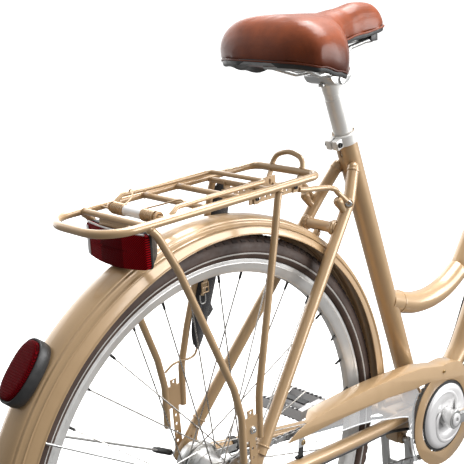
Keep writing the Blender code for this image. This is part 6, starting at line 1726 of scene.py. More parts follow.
    def springs(self) -> None:
        """Two torsion springs with hooked tails and the clear sleeve between them."""
        start, turns, steps = self.sleeve_half + self.coil_wire + TOUCH, self.coil_turns, 28
        coil = []
        for index in range(turns * steps + 1):
            angle = math.tau * index / steps + math.pi / 2
            coil.append(Vector((self.clamp_pivot + self.coil_radius * math.cos(angle),
                                start + self.coil_length * index
                                / (turns * steps), self.height + self.coil_radius * math.sin(angle))))
        over = self.height + self.tube_radius + self.clamp_rod * 2 + self.coil_wire + 0.0024
        tail = [Vector((-0.072, 0.0560, over - 0.004)), Vector((-0.072, 0.0510, over)),
                Vector((-0.075, 0.0440, over - 0.001)),
                Vector((-0.088, 0.0300, self.height + self.coil_radius + 0.003))]
        path = smooth_path([*tail, coil[0], coil[3]], 24)[:-3] + coil[2:]
        for side in Side:
            line = [at_side(side, point) for point in path]
            set_piece("flap_spring_" + side.word, tube(line, self.coil_wire, 10), self.finish.paint, "flap",
                      "clamp_spring_" + side.word, smooth=60)
        sleeve = turned(sleeve_profile(self.clamp_rod + TOUCH, 0.0071, self.sleeve_half, 0.0004),
                        Vector((self.clamp_pivot, 0, self.height)), Y_AXIS, 32)
        set_piece("flap_sleeve", sleeve, self.finish.sleeve, "flap", "clamp_sleeve", smooth=30)

    def face(self, x: float, half: float, low: float, high: float, corner: float) -> list[Vector]:
        """A rounded rectangle that faces along the bicycle, bowed back in its middle."""
        points = []
        for y, z, start in ((half - corner, high - corner, 0), (-half + corner, high - corner, 90),
                            (-half + corner, low + corner, 180), (half - corner, low + corner, 270)):
            for index in range(9):
                angle = math.radians(start + 11.25 * index)
                points.append(Vector((x, y + corner * math.cos(angle), z + corner * math.sin(angle))))
            if start in (0, 180):
                last, step = points[-1], (2 * half - 2 * corner) * (-1 if start == 0 else 1) / 14
                points += [last + Y_AXIS * step * index for index in range(1, 14)]
        for point in points:
            share = (point.y / self.tail_half) ** 2
            low_part = (self.tail_top - point.z) / self.tail_height
            point.x += self.tail_bow * share
            point.z += self.tail_lift * share * low_part
        return points

    def tail_light(self) -> None:
        """The tail light: black housing and rim, a lens bowed back, and its bright trim."""
        back, front, half = -self.tail_back, -self.tail_back + self.tail_depth, self.tail_half
        low, top = self.tail_top - self.tail_height, self.tail_top
        seat = back + 0.008
        housing = [self.face(seat, half, low, top, 0.005), self.face(seat + 0.0028, half, low, top, 0.005),
                   self.face(seat + 0.0032, half - 0.0007, low + 0.0008, top, 0.005),
                   self.face(seat + 0.0095, half - 0.0045, low + 0.0035, top, 0.006),
                   self.face(front - 0.003, half - 0.0090, low + 0.0095, top, 0.007),
                   self.face(front, half - 0.0115, low + 0.0125, top - 0.002, 0.007)]
        set_piece("tail_housing", skin(housing), self.finish.plastic, "frame", "tail_light_housing", smooth=30)
        lens = [self.face(seat - TOUCH, half - 0.0006, low + 0.0006, top - 0.0006, 0.005),
                self.face(back + 0.0022, half - 0.0006, low + 0.0006, top - 0.0006, 0.005),
                self.face(back + 0.0006, half - 0.0014, low + 0.0014, top - 0.0014, 0.0046),
                self.face(back, half - 0.0034, low + 0.0034, top - 0.0034, 0.004)]
        lens += [self.face(back, half - 0.0034 - 0.5 * inset, low + inset, top - inset, 0.0030)
                 for inset in (0.0080, 0.0130, 0.0180, 0.0225)]
        set_piece("tail_lens", skin(lens), self.finish.red, "frame", "tail_light_lens", smooth=40)
        rim = [self.face(x, half + grow, low - grow, top, 0.0052)
               for x, grow in ((seat + 0.0006, 0.0000), (seat + 0.0009, 0.0005), (seat + 0.0021, 0.0005),
                               (seat + 0.0024, 0.0000))]
        set_piece("tail_rim", skin(rim), self.finish.plastic, "frame")
        strip = Vector((back + self.tail_bow * (0.0540 / half) ** 2 - 0.0002, 0.0540, (low + top) / 2 + 0.0012))
        lean = math.atan(2 * self.tail_bow * 0.0540 / half ** 2)
        cap = block(strip, (0.0016, 0.0075, top - low - 0.0110), Matrix.Rotation(-lean, 3, "Z"), 0.0005)
        ledge = [Vector((back + self.tail_bow * (y / half) ** 2 + 0.0026, y, top - 0.0004))
                 for y in (half * (index / 12 - 1) * 0.94 for index in range(25))]
        set_piece("tail_trim", gather([cap, tube(ledge, 0.0014, 12)]), self.finish.satin, "frame", smooth=40)


@dataclass
class Drive:
    """Chain guard with its clear window, chain, sprocket, chainring, cover disc, cranks and pedals."""

    finish: Finishes
    shape: BikeFrame
    pitch: float = 0.0127
    ring_teeth: int = 38
    sprocket_teeth: int = 19
    chain_line: float = 0.045
    ring_thickness: float = 0.0016
    cover_radius: float = 0.0600
    crank_length: float = 0.170
    crank_angle: float = math.radians(-9)
    crank_plane: float = 0.079
    boss_radius: float = 0.0170
    boss_height: float = 0.009
    ring_hole: float = 0.0150
    ring_hole_circle: float = 0.044
    pin_radius: float = 0.0045
    pedal_width: float = 0.096
    pedal_length: float = 0.062
    pedal_inside: float = 0.092
    case_face: float = 0.064
    case_depth: float = 0.028
    case_sheet: float = 0.0016
    case_round: float = 0.0905
    case_shift: float = 0.0040
    case_hole: float = 0.0650

    def build(self) -> None:
        """Makes the drive."""
        self.guard()
        self.window()
        self.chain()
        self.wheels()
        self.cover()
        for side in Side:
            self.crank(side)
            self.pedal(side)

    def outline(self, grow: float) -> list[tuple[float, float]]:
        """The guard's outline, drawn in by a distance."""
        bottom = self.shape.bottom
        ring, radius = (bottom.x + self.case_shift, bottom.z), self.case_round - grow
        knots = [(0.088, 0.031), (0.110, 0.0415), (0.135, 0.0465), (0.190, 0.0485), (0.270, 0.0475), (0.350, 0.0415),
                 (0.420, 0.0335)]
        band = [(point.x, point.z - grow) for point in smooth_path([(x, 0, z) for x, z in knots], 26)]
        top = arc(ring, radius + 0.006, math.radians(96), math.radians(60), 8)
        front = arc(ring, radius, math.radians(45), math.radians(-241), 64)
        under = [(0.395, 0.0035), (0.325, 0.0145), (0.210, 0.0235), (0.131, 0.0265)]
        return band + top + front + under

    def guard(self) -> None:
        """The painted guard with a turned-in edge, its mounting plate, strap and boss."""
        bottom = self.shape.bottom
        outer = prism(self.outline(0.0), -self.case_face, -self.case_face + self.case_depth)
        inside = -self.case_face + self.case_sheet
        hollow = prism(self.outline(self.case_sheet), inside, 0.0)
        rear_open = prism([(0.05, -0.20), (bottom.x - 0.022, -0.20), (bottom.x - 0.022, 0.018), (0.350, 0.030),
                           (0.130, 0.039), (0.130, 0.06), (0.05, 0.06)], inside, 0.0)
        opening = drill(bottom - Y_AXIS * self.case_face, self.case_hole, 0.02, 72)
        notch = [(0.163, -0.026), (0.163, -0.036), (0.150, -0.044), (0.1235, -0.0622), (0.05, -0.0622), (0.05, -0.02)]
        corner = skin([[Vector((x, y, z)) for x, y in notch] for z in (0.0, 0.09)])
        body = cut(outer, hollow, rear_open, opening, corner)
        plate_out, plate_in = -self.shape.shell_half - TOUCH - 0.0020, -self.shape.shell_half - TOUCH
        high = bottom.z + self.case_round + 0.0045
        plate = prism([(bottom.x - 0.009, bottom.z + 0.018), (bottom.x + 0.009, bottom.z + 0.018),
                       (bottom.x + 0.008, high), (bottom.x - 0.012, high)], plate_out, plate_in)
        collar = washer(bottom, Y_AXIS, self.shape.spindle_radius + 0.0097, self.shape.shell_radius + 0.003,
                        plate_out, plate_in, 40)
        web = slab(bottom.x - 0.012, bottom.x + 0.008, high, high - 0.0025, -self.case_face + self.case_depth - 0.002,
                   plate_in)
        strap_z = self.shape.chainstay(0.116).z + self.shape.stay_sleeve - 0.0010
        strap_y = -self.case_face + 0.0058
        strap = prism([(0.1175, 0.0300), (0.1275, 0.0300), (0.1225, strap_z), (0.1125, strap_z)],
                      strap_y - 0.0008, strap_y + 0.0008)
        shoe = slab(0.1115, 0.1235, strap_z + 0.003, strap_z, strap_y - 0.0008, strap_y + 0.0060)
        boss = rod(Vector((0.1225, inside - 0.0008, 0.0345)), Vector((0.1225, strap_y, 0.0345)), 0.0028, 16)
        set_piece("guard_shell", gather([body, plate, collar, web, boss]), self.finish.paint, "frame", "chain_guard",
                  smooth=30, bevel=0.0006)
        set_piece("guard_strap", gather([strap, shoe]), self.finish.plastic, "frame", smooth=30)
        bolt = Vector((0.1215, -self.case_face + 0.0034, 0.0180))
        screws = [hex_bolt(bolt, -Y_AXIS, 0.0040, 0.0030),
                  hex_bolt(Vector((bottom.x - 0.002, -self.case_face - 0.0002, bottom.z + self.case_round - 0.006)),
                           -Y_AXIS, 0.0030, 0.0018)]
        set_piece("guard_screws", gather(screws), self.finish.brass, "frame")
        set_piece("strap_pad", rod(bolt + Y_AXIS * 0.0002, bolt + Y_AXIS * 0.0022, 0.0062, 24, 0.0004),
                  self.finish.plastic, "frame")

    def window(self) -> None:
        """The clear sheet, with a dark edging strip in front and a clear bead along its back edge."""
        low = -self.case_face + self.case_sheet + TOUCH
        upper = smooth_path([(0.048, 0, 0.022), (0.100, 0, 0.033), (0.150, 0, 0.0345), (0.210, 0, 0.0315),
                             (0.325, 0, 0.0225), (0.400, 0, 0.010)], 20)
        front = smooth_path([(0.4130, 0, -0.010), (0.4000, 0, -0.030), (0.3975, 0, -0.060), (0.3975, 0, -0.100),
                             (0.4080, 0, -0.135)], 16)
        back = smooth_path([(0.3990, 0, -0.135), (0.3890, 0, -0.100), (0.3830, 0, -0.050), (0.3760, 0, -0.040),
                            (0.330, 0, -0.0255), (0.270, 0, -0.0085), (0.220, 0, 0.000), (0.150, 0, 0.0075)], 28)
        outline = [(point.x, point.z) for point in [*upper, *front, *back]]
        set_piece("guard_pane", prism(outline, low, low + 0.0012), self.finish.window, "frame",
                  "chain_guard_window", smooth=25)
        edge = [Vector((point.x - 0.0012, low + 0.0019, point.z)) for point in front]
        set_piece("pane_edging", tube(edge, 0.0011, 8), self.finish.cable, "frame")
        rim = [Vector((point.x, low + 0.0006, point.z)) for point in back[8:]]
        set_piece("pane_rim", tube(rim, 0.0013, 8), self.finish.sleeve, "frame", smooth=60)

    def pitch_radius(self, teeth: int) -> float:
        """Radius on which the chain's pins lie round a toothed wheel."""
        return self.pitch / (2 * math.sin(math.pi / teeth))

    def run(self) -> tuple[list[Vector], list[Vector]]:
        """The chain's pins: their places and the way out of the loop."""
        big, small = self.pitch_radius(self.ring_teeth), self.pitch_radius(self.sprocket_teeth)
        start, stop = ORIGIN, self.shape.bottom
        span = stop - start
        lean = math.asin((big - small) / span.length)
        straight = math.sqrt(span.length ** 2 - (big - small) ** 2)
        top = math.atan2(span.z, span.x) + math.pi / 2 + lean
        wrap_big, wrap_small = math.pi + 2 * lean, math.pi - 2 * lean
        total = 2 * straight + big * wrap_big + small * wrap_small
        links = 2 * round(total / self.pitch / 2)
        places, ups = [], []
        for index in range(links):
            length = total * index / links
            if length < straight:
                angle, base, radius, along = top, start, small, length
            elif length < straight + big * wrap_big:
                angle, base, radius, along = top - (length - straight) / big, stop, big, 0.0
            elif length < 2 * straight + big * wrap_big:
                angle, base, radius, along = top - wrap_big, stop, big, length - straight - big * wrap_big
            else:
                angle = top - wrap_big - (length - 2 * straight - big * wrap_big) / small
                base, radius, along = start, small, 0.0
            out = heading(angle)
            places.append(base + out * radius + Vector((out.z, 0, -out.x)) * along - Y_AXIS * self.chain_line)
            ups.append(out)
        return places, ups

    def plate(self, across: float, thickness: float) -> bmesh.types.BMesh:
        """One waisted link plate, its pins a pitch apart along X."""
        outline = []
        for centre, start in ((self.pitch, -80), (0.0, 100)):
            outline += arc((centre, 0.0), 0.0040, math.radians(start), math.radians(start + 160), 6)
            outline.append((self.pitch / 2, 0.0030 if start < 0 else -0.0030))
        return prism(outline, across - thickness / 2, across + thickness / 2)

    def chain(self) -> None:
        """Outer plates, inner plates and rollers, set pin by pin by Geometry Nodes."""
        places, ups = self.run()
        turn = [(after - place).normalized() for place, after in zip(places, places[1:] + places[:1])]
        out = [(up - way * up.dot(way)).normalized() for up, way in zip(ups, turn)]
        wide = gather([self.plate(0.0031, 0.0008), self.plate(-0.0031, 0.0008)])
        slim = gather([self.plate(0.0021, 0.0008), self.plate(-0.0021, 0.0008)])
        pin = gather([bar(ORIGIN, Y_AXIS, 0.0038, 0.0038, 0.0014, 10)])
        shells = [repeat_along("outer_links", wide, places, turn, out, self.finish.links, 2, 0),
                  repeat_along("inner_links", slim, places, turn, out, self.finish.links, 2, 1),
                  repeat_along("pins", pin, places, turn, out, self.finish.links)]
        set_piece("chain_links", gather(shells), self.finish.links, "frame", "chain", smooth=30)
        for side in Side:
            collar = washer(ORIGIN, Y_AXIS, 0.0014, 0.0036, side.value * 0.0008, side.value * 0.0016, 10)
            rings = repeat_along("rollers", collar, places, turn, out, self.finish.steel)
            set_piece("chain_rollers_" + side.word, rings, self.finish.steel, "frame", smooth=30)

    def toothed(self, centre: Vector, teeth: int, bore: float) -> bmesh.types.BMesh:
        """A flat toothed wheel with rounded valleys."""
        radius, half = self.pitch_radius(teeth), self.ring_thickness / 2
        outline = []
        for index in range(teeth):
            for offset, reach in ((-0.62, -0.0080), (-0.5, -0.0094), (-0.38, -0.0080), (-0.16, -0.0052),
                                  (0.0, -0.0043), (0.16, -0.0052)):
                angle = math.tau * (index + offset) / teeth
                outline.append((centre.x + (radius + reach) * math.cos(angle),
                                centre.z + (radius + reach) * math.sin(angle)))
        body = prism(outline, centre.y - half, centre.y + half)
        return cut(body, drill(centre, bore, sides=40))

    def wheels(self) -> None:
        """The chainring with its windows and the rear sprocket with its driver."""
        centre = self.shape.bottom - Y_AXIS * self.chain_line
        holes = [drill(centre + heading(angle) * self.ring_hole_circle, self.ring_hole, sides=32)
                 for angle in angles(5)]
        ring = cut(self.toothed(centre, self.ring_teeth, self.boss_radius + TOUCH), *holes)
        set_piece("chainring_plate", ring, self.finish.steel, "crankset", "chainring", smooth=30)
        centre, bore = Vector((0, -self.chain_line, 0)), AXLE_RADIUS + CONE_WALL + RUN
        driver = turned([(bore, -0.0072), (0.0190, -0.0072), (0.020, -0.0062), (0.022, -0.002), (0.022, 0.002),
                         (0.019, 0.0075), (0.0182, 0.0085), (bore, 0.0085)], centre, Y_AXIS, 40)
        set_piece("sprocket_plate", gather([self.toothed(centre, self.sprocket_teeth, bore), driver]),
                  self.finish.steel, "sprocket", "rear_sprocket", smooth=30)

    def cover(self) -> None:
        """The polished disc with a dished rim and two raised swirl arms, and a black ring behind its edge that stands
        as painted shade in the gap round the disc.
        """
        centre, bore = self.shape.bottom - Y_AXIS * (self.case_face + 0.0020), self.boss_radius + TOUCH
        out = self.cover_radius
        disc = turned([(bore, 0.0000), (0.028, 0.0000), (0.0315, 0.0012), (0.034, 0.0030), (0.040, 0.0036),
                       (0.050, 0.0035), (0.0545, 0.0028), (0.0575, 0.0006), (out - 0.0006, -0.0018), (out, -0.0024),
                       (out - 0.0012, -0.0032), (0.055, -0.0012), (0.034, -0.0006),
                       (bore, -0.0032)], centre, -Y_AXIS, 96)
        arms = []
        for index in range(2):
            line, sizes = [], []
            for step in range(25):
                share = step / 24
                angle = math.pi * index + math.radians(-35) + share * math.radians(190)
                reach = 0.0225 + 0.030 * math.sin(share * math.pi / 2) ** 1.4
                line.append(centre + Vector((math.cos(angle) * reach, -0.0024 - 0.0006 * (share > 0.2),
                                             math.sin(angle) * reach)))
                sizes.append(max(0.12, math.sin(math.pi * (0.10 + 0.88 * share)) ** 0.6) * (1.25 - 0.55 * share))
            section = [(-0.0046, -0.0006), (-0.0030, 0.0012), (0.0, 0.0020), (0.0030, 0.0012), (0.0046, -0.0006)]
            arms.append(sweep(line, section, sizes=sizes, up=-Y_AXIS))
        set_piece("cover_disc", gather([disc, *arms]), self.finish.satin, "crankset", "chainring_cover", smooth=50)
        # A black ring behind the disc's edge: a dark piece put where there is only shade, in the gap between the disc
        # and the guard.
        rim = [(out - 0.0014, 0.0036), (out + 0.0026, 0.0034), (out + 0.0032, 0.0028), (out + 0.0032, 0.0016),
               (out - 0.0014, 0.0014)]
        set_piece("cover_rim", turned([(r, y - 0.0048) for r, y in rim], centre, -Y_AXIS, 96), self.finish.plastic,
                  "crankset", smooth=30)

    def towards(self, side: Side) -> Vector:
        """The way from the spindle to a pedal."""
        return heading(self.crank_angle if side is Side.RIGHT else self.crank_angle + math.pi)

    def crank(self, side: Side) -> None:
        """A forged crank arm with a rounded section, boss, eye, pedal pin and dust cap."""
        bottom, out, along = self.shape.bottom, side.out, self.towards(side)
        hub = bottom + out * self.crank_plane
        end = hub + along * self.crank_length + out * 0.004
        lift = along.cross(Y_AXIS).normalized()
        line = smooth_path([hub, hub + along * 0.030, hub + along * 0.090 + out * 0.001, end - along * 0.006,
                            end + along * 0.006], 24)
        knots = (1.62, 1.38, 1.14, 1.22, 0.95)
        sizes = [first * (1 - step / 6) + second * (step / 6) for first, second in zip(knots, knots[1:])
                 for step in range(6)] + [knots[-1]]
        boss = bar(hub, out, 0.012, self.boss_height, self.boss_radius, 40, 0.0012)
        eye = bar(end, out, 0.007, 0.007, 0.0125, 32, 0.0010)
        pin = rod(end, bottom + along * self.crank_length + out * (self.pedal_inside + self.pedal_width - 0.012),
                  self.pin_radius, 20)
        arm = sweep(line, squared(0.0065, 0.0080, 0.55, 24), sizes=sizes, up=lift)
        spindle, line_y = self.shape.spindle_radius, self.chain_line
        if side is Side.LEFT:
            shells = [arm, boss, eye, pin, rod(bottom - out * (self.crank_plane + 0.004), hub, spindle, 32)]
        else:
            neck = washer(bottom, out, spindle + TOUCH, self.boss_radius, line_y - 0.004,
                          self.crank_plane - 0.0115, 40)
            collar = washer(bottom, out, 0.016, 0.0215, line_y + self.ring_thickness / 2 + TOUCH, line_y + 0.006, 40)
            holes = [rod(bottom, bottom + out * (self.crank_plane + 0.004 + TOUCH), spindle + TOUCH, 32, 0.0001)
                     for _ in range(2)]
            shells = [cut(gather([arm]), holes[0]), cut(boss, holes[1]), eye, pin, neck, collar]
        set_piece("crank_arm_" + side.word, gather(shells), self.finish.chrome, "crankset",
                  "crank_" + side.word, smooth=35)
        cap = turned([(0.0112, 0.0), (0.0112, 0.0012), (0.0092, 0.0022), (0.0045, 0.0022), (0.0040, 0.0008),
                      (0.0002, 0.0008)],
                     hub + out * self.boss_height, out, 32, ring=False)
        set_piece("crank_cap_" + side.word, cap, self.finish.satin, "crankset")

    def pedal(self, side: Side) -> None:
        """A cage pedal: barrel, cage, rubber treads and end blocks."""
        out = side.out
        half, long = self.pedal_width / 2, self.pedal_length
        middle = self.shape.bottom + self.towards(side) * self.crank_length + out * (self.pedal_inside + half)
        barrel = turned([(0.0060, -half), (0.0095, -half + 0.002), (0.0095, -half + 0.012), (0.0078, -half + 0.016),
                         (0.0078, half - 0.016), (0.0095, half - 0.012), (0.0095, half - 0.002), (0.0075, half)],
                        middle, out, 32, ring=False)
        bores = [bar(middle, out, half + 0.01, half - 0.0045, self.pin_radius + TOUCH, 24, 0.0001) for _ in range(3)]
        shells = [cut(barrel, bores[0])]
        treads = []
        for sign in (1, -1):
            edge = middle + Vector((sign * long / 2, 0, 0))
            shells.append(block(edge, (0.003, self.pedal_width, 0.022), None, 0.0008))
            end = middle + out * sign * (half - 0.006)
            shells.append(cut(block(end, (long + 0.002, 0.012, 0.016), None, 0.0016), bores[sign]))
            for level in (1, -1):
                for step in range(9):
                    y = -half + 0.009 + step * (self.pedal_width - 0.018) / 8
                    treads.append(block(edge + Vector((-sign * 0.0006, y, level * 0.0104)),
                                        (0.0050, 0.0058, 0.0020), None, 0.0004))
        for level in (1, -1):
            treads.append(block(middle + Vector((0, 0, level * 0.0088)), (0.0150, self.pedal_width - 0.030, 0.0030),
                                None, 0.0010))
        body = side.word + "_pedal"
        set_piece("pedal_cage_" + side.word, gather(shells), self.finish.satin, body, "pedal_" + side.word, smooth=30)
        set_piece("pedal_treads_" + side.word, gather(treads), self.finish.plastic, body, smooth=30)


def evenly_meshed(bm: bmesh.types.BMesh, name: str, cell: float) -> bpy.types.Object:
    """Puts a soft piece's form in place as a skin of even cells.

    Args:
        bm: The form, from the rear axle.
        name: The piece's name.
        cell: The size of a cell.

    Returns:
        The piece.
    """
    bmesh.ops.translate(bm, verts=bm.verts, vec=REAR_AXLE)
    item = loose(bm, name)
    evenly = item.modifiers.new("evenly", "REMESH")
    evenly.mode, evenly.voxel_size = "VOXEL", cell
    bake(item)
    return item


def smoothed(item: bpy.types.Object, factor: float, rounds: int, levels: int) -> None:
    """Smooths a soft piece's skin and divides its faces."""
    soften = item.modifiers.new("soften", "SMOOTH")
    soften.factor, soften.iterations = factor, rounds
    fine = item.modifiers.new("fine", "SUBSURF")
    fine.levels = fine.render_levels = levels
    bake(item)


def fill_with_air(item: bpy.types.Object, pinned: Sequence[int], reach: float, frames: int) -> None:
    """Fills a closed skin with air as cloth, and caps how far a point moves.

    Args:
        item: The skin, already at its place.
        pinned: The points that stay where they are.
        reach: The most that a point may move.
        frames: How long the simulation runs.
    """
    rest = [vertex.co.copy() for vertex in item.data.vertices]
    item.vertex_groups.new(name="held").add(list(pinned), 1.0, "REPLACE")
    cloth = item.modifiers.new("air", "CLOTH")
    cloth.settings.use_pressure = True
    cloth.settings.uniform_pressure_force = 4.0
    cloth.settings.effector_weights.gravity = 0.0
    cloth.settings.vertex_group_mass = "held"
    cloth.settings.quality = 6
    cloth.point_cache.frame_start, cloth.point_cache.frame_end = 1, frames
    scene = bpy.context.scene
    for step in range(1, frames + 1):
        scene.frame_set(step)
    moved = evaluated_mesh(item)
    for vertex, start in zip(moved.vertices, rest):
        shift = vertex.co - start
        if shift.length > reach:
            vertex.co = start + shift.normalized() * reach
    item.modifiers.clear()
    item.data = moved
    item.vertex_groups.clear()
    scene.frame_set(1)


@dataclass
class Saddle:
    """Padded leather saddle on its moulded base, with rails, clamp head and seat post."""

    finish: Finishes
    shape: BikeFrame
    tail: float = 0.124
    nose: float = 0.393
    rail_half: float = 0.022
    rail_radius: float = 0.0035
    clamp_level: float = 0.545
    post_depth: float = 0.200
    edge_line: float = 0.0016
    edge_share: float = 0.935
    cell: float = 0.005
    puff: float = 0.006
    stations: int = 84
    frames: int = 14
    widths: Table = ((0.0, 0.0950), (0.10, 0.1005), (0.20, 0.1030), (0.29, 0.1010), (0.36, 0.0895), (0.43, 0.0650),
                     (0.50, 0.0430), (0.58, 0.0335), (0.68, 0.0290), (0.80, 0.0275), (1.0, 0.0270))
    crowns: Table = ((0.0, 0.6310), (0.15, 0.6330), (0.32, 0.6300), (0.48, 0.6280), (0.62, 0.6320), (0.78, 0.6380),
                     (0.90, 0.6365), (1.0, 0.6290))
    skirts: Table = ((0.0, 0.5795), (0.12, 0.5720), (0.24, 0.5625), (0.33, 0.5560), (0.40, 0.5635), (0.47, 0.5820),
                     (0.56, 0.5925), (0.75, 0.5975), (1.0, 0.6035))

    def build(self) -> None:
        """Makes the saddle and the seat post."""
        self.cover()
        self.edging()
        self.base()
        self.rails()
        self.post()

    @staticmethod
    def along(table: Sequence[tuple[float, float]], share: float) -> float:
        """Reads a smooth value from a table of shares and sizes."""
        for (start, first), (stop, second) in zip(table, table[1:]):
            if share <= stop:
                part = (share - start) / (stop - start)
                return first + (second - first) * part * part * (3 - 2 * part)
        return table[-1][1]

    def end_round(self, share: float, reach: float, power: float) -> float:
        """How far the form has rounded over near the tail or the nose, from 0 to 1."""
        off = max(0.0, (reach - share) / reach, (share - 1 + reach) / reach)
        return max(0.0, 1 - min(off, 1.0) ** power) ** (1 / power)

    def half(self, share: float) -> float:
        """Half width of the edge."""
        reach, power = (0.13, 2.8) if share < 0.5 else (0.095, 2.2)
        return self.along(self.widths, share) * self.end_round(share, reach, power) + 0.0004

    def place(self, share: float) -> float:
        """Distance ahead of the rear axle."""
        return self.tail + (self.nose - self.tail) * share

    def shares(self, low: float = 0.0008) -> list[float]:
        """Stations from tail to nose, closer at the ends."""
        return [low + (1 - 2 * low) * (0.5 - 0.5 * math.cos(math.pi * i / self.stations))
                for i in range(self.stations + 1)]

    def ring(self, share: float, inset: float) -> list[Vector]:
        """One cross section of the cover, drawn in by a distance."""
        x, low = self.place(share), self.along(self.skirts, share) - 0.0035
        whole = self.half(share)
        height = self.along(self.crowns, share) + 0.003 - low
        rise = height * self.end_round(share, 0.14, 2.0) + 0.0006 - inset * 0.6
        wing = max(0.0, min(1.0, (whole - 0.030) / 0.050))
        points = []
        for index in range(41):
            angle = math.pi * index / 40
            across, up = math.cos(angle), math.sin(angle)
            lift = up ** (0.84 - 0.12 * wing)
            half = max(whole - inset * min(1.0, lift / 0.25), 0.0003)
            y = half * bulge(across, 0.74 - 0.16 * wing)
            draw = 1.0 - (0.085 - 0.020 * wing) * max(0.0, 1.0 - lift / 0.40) ** 1.5
            points.append(Vector((x, y * draw, low + rise * lift)))
        for share_y in (-0.75, -0.5, -0.25, 0.0, 0.25, 0.5, 0.75):
            points.append(Vector((x, whole * share_y, low)))
        return points

    def cover(self) -> None:
        """The leather cover, filled by a short cloth simulation and smoothed."""
        bm = skin([self.ring(share, 0.0026) for share in self.shares()])
        item = evenly_meshed(bm, "saddle_leather_cover", self.cell)
        fill_with_air(item, self.held(item), self.puff, self.frames)
        smoothed(item, 0.5, 3, 2)
        item.data.materials.append(self.finish.leather)
        item.data.shade_smooth()
        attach(item, "seat")
        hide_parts("saddle_cover")
        LOG.info("%s: %d faces on seat", item.name, len(item.data.polygons))

    def held(self, item: bpy.types.Object) -> list[int]:
        """The points of the cover's lower edge, which the base holds."""
        pinned = []
        for vertex in item.data.vertices:
            share = min(max((vertex.co.x - REAR_AXLE.x - self.tail) / (self.nose - self.tail), 0.0), 1.0)
            if vertex.co.z - REAR_AXLE.z < self.along(self.skirts, share) + 0.006:
                pinned.append(vertex.index)
        return pinned

    def rim(self, drop: float, inset: float) -> list[Vector]:
        """The closed line along the cover's lower edge."""
        sides = [Vector((self.place(share), max(self.half(share) * self.edge_share - inset, 0.0),
                         self.along(self.skirts, share) - drop))
                 for share in self.shares(0.010)]
        return with_mirror(sides)

    def edging(self) -> None:
        """The rolled lower edge of the leather."""
        set_piece("saddle_edge", tube(self.rim(0.0022, 0.0010), self.edge_line, 10, closed=True), self.finish.leather,
                  "seat", smooth=60)

    def base(self) -> None:
        """The moulded black shell under the cover, with its rounded rim."""
        rings = []
        for share in self.shares(0.006):
            x, skirt = self.place(share), self.along(self.skirts, share)
            half = max(self.half(share) * self.edge_share - 0.0010, 0.001)
            middle = max(0.5640 + 0.024 * (share - 0.18) / 0.68, skirt - 0.0040)
            level = skirt - 0.0012
            row = [(1.0, level, 0.0010), (1.0, level - 0.0040, 0.0006), (1.0, level - 0.0075, 0.0014),
                   (1.0, level - 0.0088, 0.0034), (0.90, level - 0.0060, 0.0040), (0.62, middle, 0.0),
                   (0.3, middle, 0.0), (0.0, middle, 0.0)]
            half_ring = [(max(half * part - inset, 0.0001 * (8 - index)), z)
                         for index, (part, z, inset) in enumerate(row)]
            half_ring[-1] = (0.0, half_ring[-1][1])
            ring = [Vector((x, y, z)) for y, z in half_ring]
            ring += [mirror(point) for point in reversed(ring[:-1])]
            ring += [Vector((x, -half * 0.5, max(middle + 0.004, level))),
                     Vector((x, half * 0.5, max(middle + 0.004, level)))]
            rings.append(ring)
        set_piece("saddle_shell", skin(rings), self.finish.plastic, "seat", "saddle_base", smooth=40)

    def rails(self) -> None:
        """The two bright rails, bent up at the nose and into the rear bridge."""
        under = self.clamp_level
        middle, back_level, nose_level = self.on_post(under).x, 0.5655, 0.5851
        back, front = 0.182, 0.369
        left = [Vector((back, 0.034, back_level - self.rail_radius)), Vector((middle - 0.045, self.rail_half, under)),
                Vector((middle + 0.013, self.rail_half, under)), Vector((middle + 0.025, 0.0185, 0.5760)),
                Vector((front - 0.020, 0.012, nose_level - self.rail_radius)),
                Vector((front, 0.012, nose_level - self.rail_radius))]
        path = rounded(with_mirror(left), 0.018, 8)
        bridge = bar(Vector((back, 0, back_level - self.rail_radius)), Y_AXIS, 0.040, 0.040,
                     self.rail_radius + 0.0015, 20, 0.0008)
        sockets = [block(Vector((back + 0.001, side.value * 0.034, 0.5660)), (0.014, 0.012, 0.009),
                         None, 0.0016) for side in Side]
        sockets.append(block(Vector((front - 0.004, 0, 0.5855)), (0.016, 0.034, 0.011), None, 0.0016))
        set_piece("saddle_rail_sockets", gather(sockets), self.finish.plastic, "seat")
        set_piece("saddle_rail_rods", gather([tube(path, self.rail_radius, 18), bridge]), self.finish.steel, "seat",
                  "saddle_rails", smooth=40)

    def on_post(self, height: float) -> Vector:
        """A point on the post's axis at a height above the rear axle."""
        return self.shape.on_seat((height + 0.079) / math.sin(self.shape.seat_angle))

